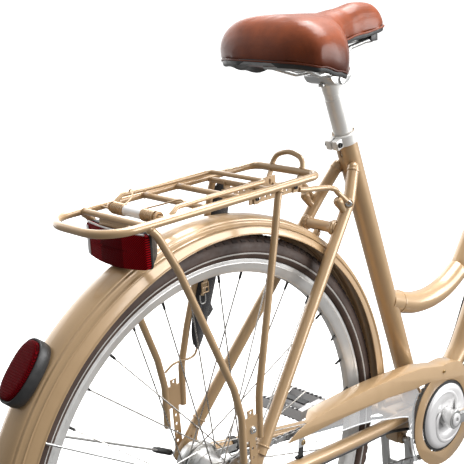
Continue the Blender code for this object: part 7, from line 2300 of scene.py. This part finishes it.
    def post(self) -> None:
        """The polished post with its turned groove, forged clamp and bolts."""
        under, up, radius = self.clamp_level, self.shape.seat_up, self.shape.post_radius
        low, top = self.shape.seat_top - up * self.post_depth, self.on_post(under - 0.012)
        length = (top - low).length
        profile = [(radius - 0.0008, 0.0), (radius, 0.0008), (radius, length - 0.030),
                   (radius - 0.0006, length - 0.0292),
                   (radius - 0.0006, length - 0.0222), (radius, length - 0.0214), (radius, length - 0.0080),
                   (radius + 0.0014, length - 0.0060), (radius + 0.0016, length - 0.0030), (radius + 0.0002, length)]
        shaft = turned(profile, low, up, 56, ring=False)
        middle = self.on_post(under)
        cradle = prism([(middle.x + x, under + z) for x, z in
                        [(-0.0235, -0.0041), (0.0235, -0.0041), (0.0225, -0.0085), (0.0150, -0.0155),
                         (0.0060, -0.0185),
                         (-0.0080, -0.0185), (-0.0170, -0.0150), (-0.0225, -0.0085)]], -0.0270, 0.0270)
        yoke = prism([(middle.x + x, under + z) for x, z in
                      [(-0.0205, 0.0041), (0.0205, 0.0041), (0.0200, 0.0070), (0.0120, 0.0113), (-0.0120, 0.0113),
                       (-0.0200, 0.0070)]], -0.0275, 0.0275)
        set_piece("post_tube", shaft, self.finish.post, "seat", "seatpost", smooth=35)
        set_piece("post_clamp", gather([cradle, yoke]), self.finish.brushed, "seat", smooth=30, bevel=0.0010)
        bolts = []
        for sign in (1, -1):
            line = middle + Vector((sign * 0.0145, 0, 0))
            bolts += [bar(line, Z_AXIS, 0.0165, 0.0150, 0.0026, 16),
                      hex_bolt(line + Z_AXIS * 0.0113, Z_AXIS, 0.0048, 0.0036),
                      hex_bolt(line - Z_AXIS * 0.0165, -Z_AXIS, 0.0050, 0.0042)]
            bolts.append(turned([(0.0, 0.0), (0.0072, 0.0), (0.0072, 0.0016), (0.0058, 0.0026), (0.0, 0.0026)],
                                middle + Vector((0.0, sign * 0.0270, -0.0105)), Y_AXIS * sign, 28))
        set_piece("post_bolts", gather(bolts), self.finish.steel, "seat", smooth=30)


@dataclass
class Pouch:
    """Slim cloth holster on the left of the carrier, with its lid, strap, slider and the tab at its tip."""

    finish: Finishes
    cell: float = 0.0032
    puff: float = 0.0035
    frames: int = 8
    levels: Table = ((0.4060, 0.1100, 0.0665, 0.0060, 0.0050), (0.4010, 0.1095, 0.0665, 0.0100, 0.0065),
                     (0.3930, 0.1075, 0.0675, 0.0150, 0.0085), (0.3780, 0.1045, 0.0690, 0.0185, 0.0105),
                     (0.3550, 0.0990, 0.0700, 0.0195, 0.0115), (0.3300, 0.0910, 0.0700, 0.0185, 0.0105),
                     (0.3050, 0.0825, 0.0700, 0.0185, 0.0105), (0.2800, 0.0745, 0.0700, 0.0185, 0.0112),
                     (0.2550, 0.0665, 0.0700, 0.0175, 0.0105), (0.2300, 0.0585, 0.0700, 0.0165, 0.0098),
                     (0.2050, 0.0505, 0.0700, 0.0150, 0.0090), (0.1850, 0.0450, 0.0700, 0.0120, 0.0075),
                     (0.1690, 0.0420, 0.0700, 0.0070, 0.0055), (0.1590, 0.0410, 0.0700, 0.0025, 0.0028))
    strap_from: float = 0.3050
    strap_to: float = 0.2430
    strap_width: float = 0.0085
    strap_shift: float = 0.0110

    def build(self) -> None:
        """Makes the holster and its fittings."""
        self.bag()
        self.strap()
        self.tip()

    def middle(self, height: float) -> tuple[float, float, float]:
        """The bag's middle and its half depth at a height."""
        for upper, lower in zip(self.levels, self.levels[1:]):
            if height >= lower[0]:
                part = min(max((upper[0] - height) / (upper[0] - lower[0]), 0.0), 1.0)
                return tuple(a + (b - a) * part
                             for a, b in zip((upper[1], upper[2], upper[4]), (lower[1], lower[2], lower[4])))
        return self.levels[-1][1], self.levels[-1][2], self.levels[-1][4]

    def bag(self) -> None:
        """The bag: a lofted skin with sagging folds, filled a little, and its side seams."""
        rings = []
        for height, x, y, half_x, half_y in self.levels:
            ring = []
            for angle in angles(36):
                across, out = math.cos(angle), math.sin(angle)
                fold = 1 + 0.07 * math.sin(height * 210 + x * 60 + 2.0 * across) * (1 - across * across)
                ring.append(Vector((x + half_x * across, y + half_y * bulge(out, 1.25) * fold, height)))
            rings.append(ring)
        item = evenly_meshed(skin(rings), "pouch_bag", self.cell)
        pinned = [vertex.index for vertex in item.data.vertices
                  if abs(vertex.co.y - REAR_AXLE.y - self.middle(vertex.co.z - REAR_AXLE.z)[1]) < 0.0016
                  or vertex.co.z - REAR_AXLE.z > 0.395]
        fill_with_air(item, pinned, self.puff, self.frames)
        smoothed(item, 0.4, 2, 1)
        item.data.materials.append(self.finish.cloth)
        item.data.shade_smooth()
        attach(item, "frame")
        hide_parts("pouch")
        self.bvh = BVHTree.FromObject(item, bpy.context.evaluated_depsgraph_get())
        LOG.info("%s: %d faces on frame", item.name, len(item.data.polygons))
        seams = []
        for way in (-1, 1):
            line = smooth_path([(x + way * (half_x + 0.0002), y, height)
                                for height, x, y, half_x, _ in self.levels[1:-1]], 60)
            seams.append(tube(line, 0.0011, 8))
        set_piece("pouch_seams", gather(seams), self.finish.plastic, "frame", smooth=60)

    def face(self, height: float, off: float) -> Vector:
        """A point just off the bag's inner face at a height."""
        x, y, half = self.middle(height)
        hit = self.bvh.ray_cast(Vector((x - self.strap_shift, y - 0.05, height)) + REAR_AXLE, Y_AXIS)[0]
        return Vector((x - self.strap_shift, (hit.y - REAR_AXLE.y if hit else y - half) - off, height))

    def strap(self) -> None:
        """The tan strap down the inner face, its slider, and the loop and patch under it."""
        heights = [self.strap_from + (self.strap_to - self.strap_from) * index / 30 for index in range(31)]
        line = [self.face(height, 0.0012) for height in heights]
        set_piece("pouch_strap", sweep(line, oblong(self.strap_width / 2, 0.0007), up=-Y_AXIS), self.finish.strap,
                  "frame", bevel=0.0003)
        slider = []
        place = self.face(0.2560, 0.0026)
        for rise in (-0.0085, -0.0010, 0.0065):
            slider.append(rod(place + Vector((-0.0062, 0, rise)), place + Vector((0.0062, 0, rise)), 0.0012, 12))
        for way in (-1, 1):
            slider.append(rod(place + Vector((way * 0.0060, 0, -0.0092)), place + Vector((way * 0.0060, 0, 0.0072)),
                              0.0012, 12))
        set_piece("pouch_slider", gather(slider), self.finish.paint, "frame")
        low = self.face(0.2370, 0.0030)
        bends = ((-0.0050, 0, 0.0085), (-0.0052, 0, 0.0), (-0.0030, 0, -0.0048), (0.0030, 0, -0.0048), (0.0052, 0, 0.0),
                 (0.0050, 0, 0.0085))
        loop = smooth_path([low + Vector(point) for point in bends], 30)
        flap = prism([(low.x - 0.016, low.z + 0.002), (low.x - 0.0135, low.z - 0.006), (low.x + 0.012, low.z - 0.030),
                      (low.x + 0.0215, low.z - 0.021), (low.x + 0.0165, low.z - 0.008)], low.y + 0.0018,
                     low.y + 0.0034)
        set_piece("pouch_loop", tube(loop, 0.0011, 10), self.finish.steel, "frame")
        set_piece("pouch_patch", flap, self.finish.cloth, "frame", bevel=0.0006)

    def tip(self) -> None:
        """The cord tab that ties the tip to the carrier's leg."""
        line = smooth_path([(0.0405, 0.0700, 0.1620), (0.0350, 0.0705, 0.1530), (0.0240, 0.0720, 0.1500),
                            (0.0120, 0.0745, 0.1505), (-0.0030, 0.0770, 0.1480), (-0.0170, 0.0780, 0.1400)], 30)
        set_piece("pouch_tie", tube(line, 0.0018, 12), self.finish.paint, "frame")


@dataclass
class Cockpit:
    """Quill stem, swept handlebar, stitched grips, brake levers, twist shifter and control cables."""

    finish: Finishes
    shape: BikeFrame
    bar_rise: float = 0.655
    bar_half: float = 0.305
    bar_sweep: float = math.radians(14)
    stem_reach: float = 0.055
    grip_length: float = 0.120
    shift_length: float = 0.040
    lever_gap: float = 0.034
    cable_radius: float = 0.0025
    standoff: float = 0.0014
    stop_inward: float = 0.0125
    stop_ahead: float = 0.026
    held_at: Table = ((0.80, 0), (0.60, 0), (0.40, 0), (0.22, -0.006))
    grip_radius: float = 0.0161
    grip_swell: float = 0.0014
    rib_circle: float = 0.0163

    def __post_init__(self) -> None:
        """Works out the landmarks of the stem and the bar."""
        lift = (self.bar_rise - self.shape.steer_foot.z) / self.shape.steer_up.z
        self.stem_top = self.shape.head_high + self.shape.cup_height + 2 * TOUCH + 0.012
        self.centre = self.shape.on_steer(lift) + Vector((self.stem_reach, 0, 0))
        self.neck_turn = self.shape.on_steer(lift - 0.018)
        self.back = Vector((-math.cos(self.bar_sweep), math.sin(self.bar_sweep), -0.05)).normalized()
        self.bar_end = self.centre + Vector((-0.215, self.bar_half, 0.050))

    def build(self) -> None:
        """Makes the cockpit."""
        self.stem()
        self.handlebar()
        for side in Side:
            self.grip(side)
            self.lever(side)
        self.shifter()
        self.cables()

    def on_bar(self, side: Side, from_end: float) -> tuple[Vector, Vector]:
        """A point on the straight end of the bar and the way to the bar's end."""
        place = self.bar_end - self.back * from_end
        return at_side(side, place), at_side(side, self.back)

    def stem(self) -> None:
        """Forged quill stem with its expander bolt and the bar clamp's bolt."""
        centre = self.centre
        path = rounded([self.shape.on_steer(self.stem_top - 0.060), self.neck_turn,
                        centre + Vector((-0.012, 0, -0.002))],
                       0.030, 14)
        neck = tube(path, self.shape.bar_radius, 32)
        profile = sleeve_profile(self.shape.bar_radius + TOUCH, 0.0166, 0.022, 0.0008)
        rooms = [bar(centre, Y_AXIS, 0.05, 0.05, self.shape.bar_radius + TOUCH, 40) for _ in range(2)]
        lugs = cut(block(centre + Vector((-0.004, 0, -0.0185)), (0.013, 0.030, 0.011), None, 0.0018),
                   block(centre + Vector((-0.004, 0, -0.0185)), (0.0024, 0.05, 0.03)), rooms[0])
        pieces = [cut(neck, rooms[1]), turned(profile, centre, Y_AXIS, 48), lugs]
        set_piece("stem_neck", gather(pieces), self.finish.chrome, "steering", "stem", smooth=35)
        bolts = [hex_bolt(centre + Vector((-0.0105, 0, -0.0190)), Vector((-1, 0, 0)), 0.0040, 0.0040),
                 hex_bolt(self.neck_turn + Vector((0.002, 0, 0.0085)), self.shape.steer_up, 0.0052, 0.0030)]
        set_piece("stem_bolts", gather(bolts), self.finish.dark, "steering")

    def handlebar(self) -> None:
        """The swept bar in one tube."""
        centre = self.centre
        start = self.bar_end - self.back * (self.grip_length + self.shift_length + 0.062)
        line = smooth_path([centre + Vector((0, 0.030, 0)), centre + Vector((0, 0.056, 0.001)),
                            centre + Vector((0.010, 0.100, 0.018)), centre + Vector((0.012, 0.165, 0.052)),
                            start + Vector((0.026, -0.030, 0.003)), start], 40) + [self.bar_end]
        set_piece("handlebar_tube", tube([mirror(point) for point in line][::-1] + line, self.shape.bar_radius, 32),
                  self.finish.chrome, "steering", "handlebar")

    def grip_reach(self, share: float) -> float:
        """A grip's radius at a share of its length."""
        return self.grip_radius + self.grip_swell * math.sin(math.pi * share) ** 2

    def grip(self, side: Side) -> None:
        """A leather grip with a stitched seam, end ring and plug."""
        place, out = self.on_bar(side, self.grip_length)
        bore, end = self.shape.bar_radius + TOUCH * 2, self.grip_length + TOUCH
        profile = [(bore, 0.0), (0.0182, 0.0), (0.0190, 0.0010), (0.0190, 0.0032), (0.0164, 0.0044)]
        for step in range(1, 24):
            share = step / 24
            y = 0.0044 + share * (end - 0.0054)
            profile.append((self.grip_reach(share) + 0.0002 * math.cos(step * math.pi), y))
        profile += [(0.0163, end - 0.001), (0.0152, end + 0.0025), (0.0115, end + 0.0044), (0.001, end + 0.0045),
                    (0.001, end), (bore, end)]
        set_piece("grip_sleeve_" + side.word, turned(profile, place, out, 64), self.finish.grip, "steering",
                  "grip_" + side.word, smooth=45)
        stitch = [bar(ORIGIN, X_AXIS, 0.0017, 0.0017, 0.00045, 8)]
        under = (out * Z_AXIS.dot(out) - Z_AXIS).normalized()
        count = 26
        places = []
        for index in range(count):
            along = 0.006 + index * (self.grip_length - 0.012) / (count - 1)
            places.append(place + out * along + under * self.grip_reach(along / end))
        seam = repeat_along("grip_stitches", gather(stitch), places, [out.cross(under) + out * 0.5] * count,
                            [under] * count, self.finish.thread)
        set_piece("grip_seam_" + side.word, seam, self.finish.thread, "steering")

    def lever_frame(self, side: Side) -> tuple[Vector, Vector, Vector]:
        """Place of a brake lever's clamp, the bar's way there and the way forward from it."""
        place, out = self.on_bar(side, self.grip_length + TOUCH + self.shift_length + 0.016)
        across = Z_AXIS.cross(out).normalized() * side.value
        forward = across if across.y > 0 else -across
        forward = (forward if side is Side.LEFT else -forward) + Vector((0, 0, -0.45))
        return place, out, forward.normalized()

    def lever(self, side: Side) -> None:
        """The clamp with its fork, cable stop and bolt, and the curved lever blade on its pin."""
        place, out, ahead = self.lever_frame(side)
        bore = self.shape.bar_radius + TOUCH * 2
        pin = out.cross(ahead).normalized()
        pivot = place + ahead * self.lever_gap
        collar = turned(sleeve_profile(bore, bore + 0.005, 0.009, 0.0008), place, out, 48)
        arms = []
        for sign in (1, -1):
            base = place + ahead * (bore + 0.002) + pin * sign * 0.0075
            arms.append(sweep([base, base.lerp(pivot + pin * sign * 0.0075, 0.6),
                               pivot + ahead * 0.006 + pin * sign * 0.0075],
                              oblong(0.007, 0.0018),
                              sizes=[1.0, 0.92, 0.78], up=pin))
        stop = place - out * self.stop_inward + ahead * self.stop_ahead
        arms += [rod(stop, stop + out * 0.010, 0.0042, 20, 0.0006),
                 bar(pivot, pin, 0.0105, 0.0105, 0.0022, 20, 0.0004)]
        set_piece("lever_bracket_" + side.word, gather([collar, *arms]), self.finish.chrome, "steering",
                  "lever_clamp_" + side.word, smooth=30, bevel=0.0004)
        bolt = [hex_bolt(place - ahead * (bore + 0.0048), -ahead, 0.0030, 0.0024),
                rod(stop - out * 0.0075, stop, 0.0036, 12)]
        set_piece("lever_bolt_" + side.word, gather(bolt), self.finish.dark, "steering")
        eye = turned(sleeve_profile(0.0022 + TOUCH, 0.0062, 0.0048, 0.0006), pivot, pin, 32)
        path = smooth_path([pivot + out * 0.0045, pivot + out * 0.030 + ahead * 0.010,
                            pivot + out * 0.070 + ahead * 0.014,
                            pivot + out * 0.110 + ahead * 0.007, pivot + out * 0.128 + ahead * 0.010], 30)
        sizes = [1.0] * 27 + [1.02, 1.06, 1.04, 0.85]
        blade = sweep(path, squared(0.0028, 0.0046, 0.6, 20, 0.5), sizes=sizes, up=pin)
        set_piece("lever_blade_" + side.word, gather([eye, blade]), self.finish.chrome, side.word + "_lever",
                  "brake_lever_" + side.word, smooth=50)

    def shifter(self) -> None:
        """Ribbed twist shifter inboard of the right grip."""
        place, out = self.on_bar(Side.RIGHT, self.grip_length + TOUCH + self.shift_length)
        bore = self.shape.bar_radius + TOUCH
        profile = [(bore, 0), (0.0180, 0), (0.0185, 0.0006), (0.0185, 0.0054), (0.0178, 0.0064), (0.0165, 0.009),
                   (0.0165, self.shift_length - 0.0006), (0.0160, self.shift_length), (bore, self.shift_length)]
        ribs = []
        side, up = out.orthogonal().normalized(), out.cross(out.orthogonal()).normalized()
        for angle in angles(28):
            way = side * math.cos(angle) + up * math.sin(angle)
            ribs.append(rod(place + out * 0.0115 + way * self.rib_circle,
                            place + out * (self.shift_length - 0.003) + way * self.rib_circle, 0.00085, 6))
        set_piece("shifter_sleeve", gather([turned(profile, place, out, 56), *ribs]), self.finish.plastic, "shifter",
                  "shift_grip", smooth=35)

    def cable_start(self, side: Side) -> tuple[Vector, Vector]:
        """Where a cable leaves its lever, and the bar's way there."""
        place, out, ahead = self.lever_frame(side)
        return place - out * self.stop_inward + ahead * self.stop_ahead, out

    def beside(self, share: float, side: int, lift: float) -> Vector:
        """A point just beside the down tube, at a share of its length."""
        line = self.shape.down_line()
        index = share * (len(line) - 1)
        low = min(int(index), len(line) - 2)
        reach = self.shape.swan_radius + self.cable_radius + self.standoff
        return line[low].lerp(line[low + 1], index - low) + Vector((0, side * reach, lift))

    def cables(self) -> None:
        """The held control cables, each with its ferrules."""
        shape, reach = self.shape, self.shape.stay_sleeve + self.cable_radius + self.standoff + 0.0022
        under = [shape.chainstay(x) - Z_AXIS * reach for x in (0.36, 0.26, 0.16)]
        start, out = self.cable_start(Side.RIGHT)
        low, high, steer, bottom = shape.head_low, shape.head_high, shape.on_steer, shape.bottom
        rear = [start, start - out * 0.045 + Vector((0.015, 0, 0.002)),
                steer(high + 0.110) + Vector((0.095, -0.050, 0)),
                steer(high - 0.020) + Vector((0.052, 0.030, 0)), steer(low + 0.045) + Vector((0.004, 0.034, 0)),
                *(self.beside(share, 1, lift) for share, lift in self.held_at),
                bottom + Vector((0.024, 0.030, -0.030)), bottom + Vector((-0.030, 0.036, -0.022)), *under,
                Vector((0.098, 0.046, -0.026)), Vector((0.050, 0.0450, -0.022))]
        start = start - out * 0.002 - Z_AXIS * 0.014
        shift = [start, start - out * 0.045 + Vector((0.010, 0, -0.006)),
                 steer(high + 0.070) + Vector((0.100, -0.046, 0)), steer(high - 0.050) + Vector((0.046, -0.034, 0)),
                 steer(low + 0.045) + Vector((0.002, -0.034, 0)),
                 *(self.beside(share, -1, lift) for share, lift in self.held_at),
                 bottom + Vector((0.024, -0.026, -0.032)), bottom + Vector((-0.034, -0.030, -0.020)),
                 *(mirror(point) for point in under), Vector((0.070, -0.0720, -0.030)),
                 Vector((0.034, -0.0830, -0.022)), Vector((0.014, -0.0860, -0.012))]
        for name, node, points in (("rear_brake_line", "rear_brake_cable", rear),
                                   ("shift_line", "shift_cable", shift)):
            path = smooth_path(points, 160)
            set_piece(name, tube(path, self.cable_radius, 14), self.finish.cable, "frame", node)
            ends = [rod(start, stop, self.cable_radius + 0.0009, 14)
                    for start, stop in ((path[0], path[2]), (path[-3], path[-1]))]
            set_piece(name + "_ferrules", gather(ends), self.finish.steel, "frame")


@dataclass
class Running:
    """Fork, headlight, drum brakes, axles, bottom bracket cartridge and the twin-leg stand."""

    finish: Finishes
    shape: BikeFrame
    stand_spread: float = 0.115
    stand_leg: float = 0.0075
    stand_half: float = 0.0255
    cooling_circle: float = 0.0275

    def build(self) -> None:
        """Makes these pieces."""
        shape = self.shape
        self.fork()
        self.headlight()
        place = shape.chainstay(0.090)
        radius = shape.chainstay_radius
        self.drum("rear", ORIGIN, 0.056, Vector((place.x - 0.001, place.y - radius - 0.0024, place.z)),
                  (place - Z_AXIS * 0.0010, (shape.chain_head - shape.chain_foot).normalized()),
                  shape.stay_sleeve + 0.0004)
        path = self.blade()
        step = len(path) // 9
        place, run = path[-2 * step - 1], (path[-step - 1] - path[-3 * step - 1]).normalized()
        self.drum("front", shape.front_axle, self.shape.fork_plate - 0.0070,
                  Vector((place.x, place.y - 0.0132, place.z)), (place, run), 0.0111)
        self.axle("rear", ORIGIN, shape.plate_inside, shape.plate_thickness, True)
        self.axle("front", shape.front_axle, self.shape.fork_plate, 0.005, False)
        self.cartridge()
        self.stand()

    @staticmethod
    def holder(word: str) -> str:
        """The CAD body that holds a wheel's axle and brake."""
        return "frame" if word == "rear" else "steering"

    def blade(self) -> list[Vector]:
        """Centre line of the left fork blade."""
        steer = self.shape.on_steer
        foot = self.shape.front_axle + Vector((-0.006, self.shape.fork_plate + 0.0045, 0.026))
        return smooth_path([steer(0.388) + Vector((0, 0.046, 0)), steer(0.280) + Vector((0, 0.050, 0)),
                            steer(0.140) + Vector((0.004, 0.0530, 0)), steer(0.070) + Vector((0.018, 0.0545, 0)),
                            foot], 54)

    def fork(self) -> None:
        """Lugged crown, steerer, raked blades with capped ends, and slotted wheel plates."""
        shape, steer = self.shape, self.shape.on_steer
        path = self.blade()
        last = len(path) - 1
        sizes = [1.0 - 0.36 * (index / last) ** 1.5 for index in range(last + 1)]
        rise, top = shape.crown_rise, shape.head_high + shape.cup_height + 2 * TOUCH
        room = rod(steer(top - 0.070), steer(top + 0.05), self.shape.bar_radius + TOUCH, 32)
        post = cut(rod(steer(rise - 0.006), steer(top + 0.012), self.shape.steerer_radius, 40), room)
        nut = cut(rod(steer(top), steer(top + 0.010), shape.head_radius - 0.002, 8),
                  rod(steer(top - 0.02), steer(top + 0.03),
                                                                                       self.shape.steerer_radius, 32))
        crown = tube(smooth_path([steer(rise - 0.018) - Y_AXIS * 0.048, steer(rise - 0.010) - Y_AXIS * 0.030,
                                  steer(rise - self.shape.crown_drop), steer(rise - 0.010) + Y_AXIS * 0.030,
                                  steer(rise - 0.018) + Y_AXIS * 0.048], 40), self.shape.crown_radius, 32)
        shells = [crown, rod(steer(rise - 0.004), steer(rise + 0.012), shape.head_radius, 48, 0.0008)]
        for turn in (Vector, mirror):
            line = [turn(point) for point in path]
            shells += [tube(line, 0.0130, 28, sizes=sizes), ball(line[-1], 0.0083, 20)]
            shells += [weld(line[0] + (line[3] - line[0]) * 0.9, line[1] - line[0], 0.0128, 0.0012)]
        outline = [(-0.014, 0.036), (0.004, 0.034), (0.013, 0.012), (0.013, -0.004), (0.008, -0.014),
                   (-0.008, -0.014), (-0.024, 0.000), (-0.026, 0.012)]
        wide, x = AXLE_RADIUS + TOUCH, shape.front_axle.x
        slot = arc((x, 0), wide, 0, math.pi, 12) + [(x - wide, -0.05), (x + wide, -0.05)]
        for low, high in ((self.shape.fork_plate, self.shape.fork_plate + 0.005),
                          (-self.shape.fork_plate - 0.005, -self.shape.fork_plate)):
            shells.append(cut(prism([(x + out, z) for out, z in outline], low, high),
                              prism(slot, low - 0.01, high + 0.01)))
        set_piece("fork_blades", gather(shells), self.finish.paint, "steering", "fork", smooth=40)
        set_piece("steerer_tube", gather([post, nut]), self.finish.steel, "steering", smooth=30)

    def headlight(self) -> None:
        """Domed lamp shell with a bright rim, its bracket and ribbed lens."""
        shape = self.shape
        crown = shape.on_steer(shape.crown_rise)
        centre, ahead = crown + Vector((0.078, 0, 0.062)), Vector((1, 0, -0.06)).normalized()
        curve = smooth_path([(0.001, 0, -0.0525), (0.011, 0, -0.050), (0.020, 0, -0.046), (0.029, 0, -0.030),
                             (0.0332, 0, -0.012), (0.0334, 0, -0.003)], 20)
        shell = turned([(point.x, point.z) for point in curve] + [(0.0330, 0.002), (0.004, 0.002)],
                       centre, ahead, 48, ring=False)
        forward = Vector((shape.steer_up.z, 0, -shape.steer_up.x))
        route = rounded([crown + shape.steer_up * 0.004 + forward * (shape.head_radius + TOUCH),
                         crown + Vector((0.038, 0, 0.012)),
                         centre + Vector((-0.016, 0, -0.028)), centre + Vector((-0.014, 0, -0.010))], 0.008, 6)
        arm = sweep(route, oblong(0.009, 0.0012), up=Vector((0.3, 0, 1)))
        set_piece("headlight_shell", gather([shell, arm]), self.finish.plastic, "steering", "headlight", smooth=40)
        rim = turned([(0.0326, -0.0030), (0.0340, -0.0026), (0.0340, 0.0036), (0.0332, 0.0042), (0.0326, 0.0042)],
                     centre, ahead, 56)
        set_piece("headlight_rim", rim, self.finish.chrome, "steering", smooth=30)
        profile = [(0.0324, 0.004 + TOUCH), (0.0324, 0.0066), (0.0315, 0.0076)]
        profile += [(0.030 - 0.002 * step, 0.0086 + 0.0042 * (1 - ((0.030 - 0.002 * step) / 0.030) ** 2)
                     + 0.0002 * (step % 2))
                    for step in range(15)]
        set_piece("headlight_glass", turned(profile + [(0.0005, 0.0128)], centre, ahead, 56, ring=False),
                  self.finish.glass, "steering", "headlight_lens", smooth=30)

    def drum(self, word: str, centre: Vector, high: float, arm_end: Vector, clamp: tuple[Vector, Vector],
             bore: float) -> None:
        """A drum brake with a slotted cooling rim and its reaction arm.

        Args:
            word: Which wheel it brakes.
            centre: The axle's middle.
            high: How far out its face stands.
            arm_end: Where the arm reaches the stay.
            clamp: The middle of the band round the stay, and the stay's way.
            bore: The band's bore.
        """
        low, inner = HUB_HALF + 0.0006, AXLE_RADIUS + CONE_WALL + TOUCH
        profile = [(inner, low), (0.030, low), (0.0335, low + 0.0022), (0.034, low + 0.003), (0.034, low + 0.006),
                   (0.0315, low + 0.0075), (0.031, low + 0.009), (0.031, high - 0.0042), (0.0296, high - 0.0024),
                   (0.0262, high - 0.0012), (0.024, high), (0.0150, high), (0.0140, high - 0.0012),
                   (inner, high - 0.0012)]
        slots = []
        for angle in angles(12):
            place = centre + Vector((math.cos(angle) * self.cooling_circle, high,
                                     math.sin(angle) * self.cooling_circle))
            slots.append(bar(place, Y_AXIS, 0.0022, 0.004, 0.0017, 12))
        body = turned(profile, centre, Y_AXIS, 64)
        start = centre + Y_AXIS * ((low + high) / 2 + 0.003) + (arm_end - centre).normalized() * 0.022
        start.y = arm_end.y
        arm = sweep([start, start.lerp(arm_end, 0.5), arm_end],
                    oblong(0.0012, 0.006), sizes=[1.0, 0.86, 0.80], up=Z_AXIS)
        place, run = clamp
        band = turned([(bore, -0.005), (bore + 0.0018, -0.005), (bore + 0.002, -0.0046), (bore + 0.002, 0.0046),
                       (bore + 0.0018, 0.005), (bore, 0.005)], place, run, 40)
        set_piece(word + "_drum_plate", gather([cut(body, *slots), arm]), self.finish.brushed,
                  self.holder(word), word + "_brake", smooth=30)
        set_piece(word + "_drum_band", band, self.finish.dark, self.holder(word), smooth=30)

    def axle(self, word: str, centre: Vector, inside: float, thickness: float, strap: bool) -> None:
        """Threaded axle with cones, washers and domed nuts.

        Args:
            word: Which wheel it carries.
            centre: The axle's middle.
            inside: Where the wheel plate's inner face stands.
            thickness: The wheel plate's thickness.
            strap: Whether the carrier's leg sits on it as well.
        """
        radius, cone = AXLE_RADIUS, AXLE_RADIUS + CONE_WALL
        plate_in, plate_out = inside - TOUCH, inside + thickness + TOUCH
        half = [(cone, 0), (cone, plate_in), (radius, plate_in), (radius, plate_out), (0.0092, plate_out),
                (0.0092, plate_out + 0.0014)]
        if strap:
            leg = self.shape.carrier_leg
            low, high = leg - 0.0010 - TOUCH, leg + 0.0010 + TOUCH
            half += [(0.0080, plate_out + 0.0016), (0.0080, low), (radius, low), (radius, high), (0.0092, high),
                     (0.0092, high + 0.0014), (0.0082, high + 0.0016), (0.0082, high + 0.0056)]
            end = high + 0.009
        else:
            half += [(0.0082, plate_out + 0.0016), (0.0082, plate_out + 0.0064)]
            end = plate_out + 0.010
        half += [(0.0070, end - 0.0022), (0.0050, end - 0.0006), (0.0004, end)]
        profile = [(r, -y) for r, y in reversed(half[1:])] + half[1:]
        set_piece(word + "_axle_rod", turned(profile, centre, Y_AXIS, 36, ring=False), self.finish.steel,
                  self.holder(word), word + "_axle", smooth=30)

    def cartridge(self) -> None:
        """Bottom bracket cartridge with splined cups at both ends."""
        shape = self.shape
        bore, outer = shape.spindle_radius + 0.0006, shape.spindle_radius + 0.0075 - TOUCH
        half = shape.shell_half + TOUCH
        edge = outer + 0.0012
        body = turned([(bore, -half - 0.003), (edge, -half - 0.003), (edge, -half), (outer, -half), (outer, half),
                       (edge, half), (edge, half + 0.003), (bore, half + 0.003)], shape.bottom, Y_AXIS, 48)
        notches = []
        for sign in (1, -1):
            for angle in angles(16):
                place = shape.bottom + heading(angle) * (edge - 0.0006) + Y_AXIS * sign * (half + 0.003)
                notches.append(bar(place, Y_AXIS, 0.0025, 0.0025, 0.0009, 8))
        set_piece("crank_bearing", cut(body, *notches), self.finish.steel, "frame", "bottom_bracket", smooth=30)

    def stand(self) -> None:
        """Twin tubular legs on one pivot shaft, with a cross plate and rubber feet."""
        shape = self.shape
        pivot = Vector((shape.stand_forward, 0, -shape.stand_drop))
        foot = Vector((pivot.x + 0.022, self.stand_spread, 0.006 - WHEEL_RADIUS))
        path = rounded([pivot + Vector((0, self.stand_half, 0)), pivot + Vector((0.005, 0.0260, -0.070)),
                        pivot + Vector((0.010, 0.045, -0.130)), foot + Z_AXIS * 0.004], 0.03, 10)
        shells = [bar(pivot, Y_AXIS, self.stand_half, self.stand_half, 0.0055 - TOUCH, 28)]
        feet = []
        for turn in (Vector, mirror):
            shells += [tube([turn(point) for point in path], self.stand_leg, 24),
                       ball(turn(path[0]), self.stand_leg, 20)]
            feet.append(block(turn(foot), (0.030, 0.026, 0.012), None, 0.0030))
        shells.append(block(pivot + Vector((0.0045, 0, -0.060)), (0.0040, 0.052, 0.016), None, 0.0012))
        set_piece("stand_tubes", gather(shells), self.finish.brushed, "stand", "stand_legs", smooth=40)
        set_piece("stand_feet", gather(feet), self.finish.plastic, "stand", smooth=30)


def build_all(finish: Finishes) -> None:
    """Builds each sub-assembly in order."""
    Wheel(finish).build()
    FrontWheel(finish).build()
    shape = BikeFrame(finish)
    shape.build()
    for assembly in (Mudguards, Carrier, Drive, Saddle, Cockpit, Running):
        assembly(finish, shape).build()
    Pouch(finish).build()


def main() -> None:
    """Builds the studio and the bicycle, sub-assembly by sub-assembly."""
    logging.basicConfig(level=logging.INFO, format="%(name)s: %(message)s")
    random.seed(7)
    Studio().build()
    finish = Finishes()
    redress("front_brake_cable", finish.cable)
    build_all(finish)


if __name__ == "__main__":
    main()
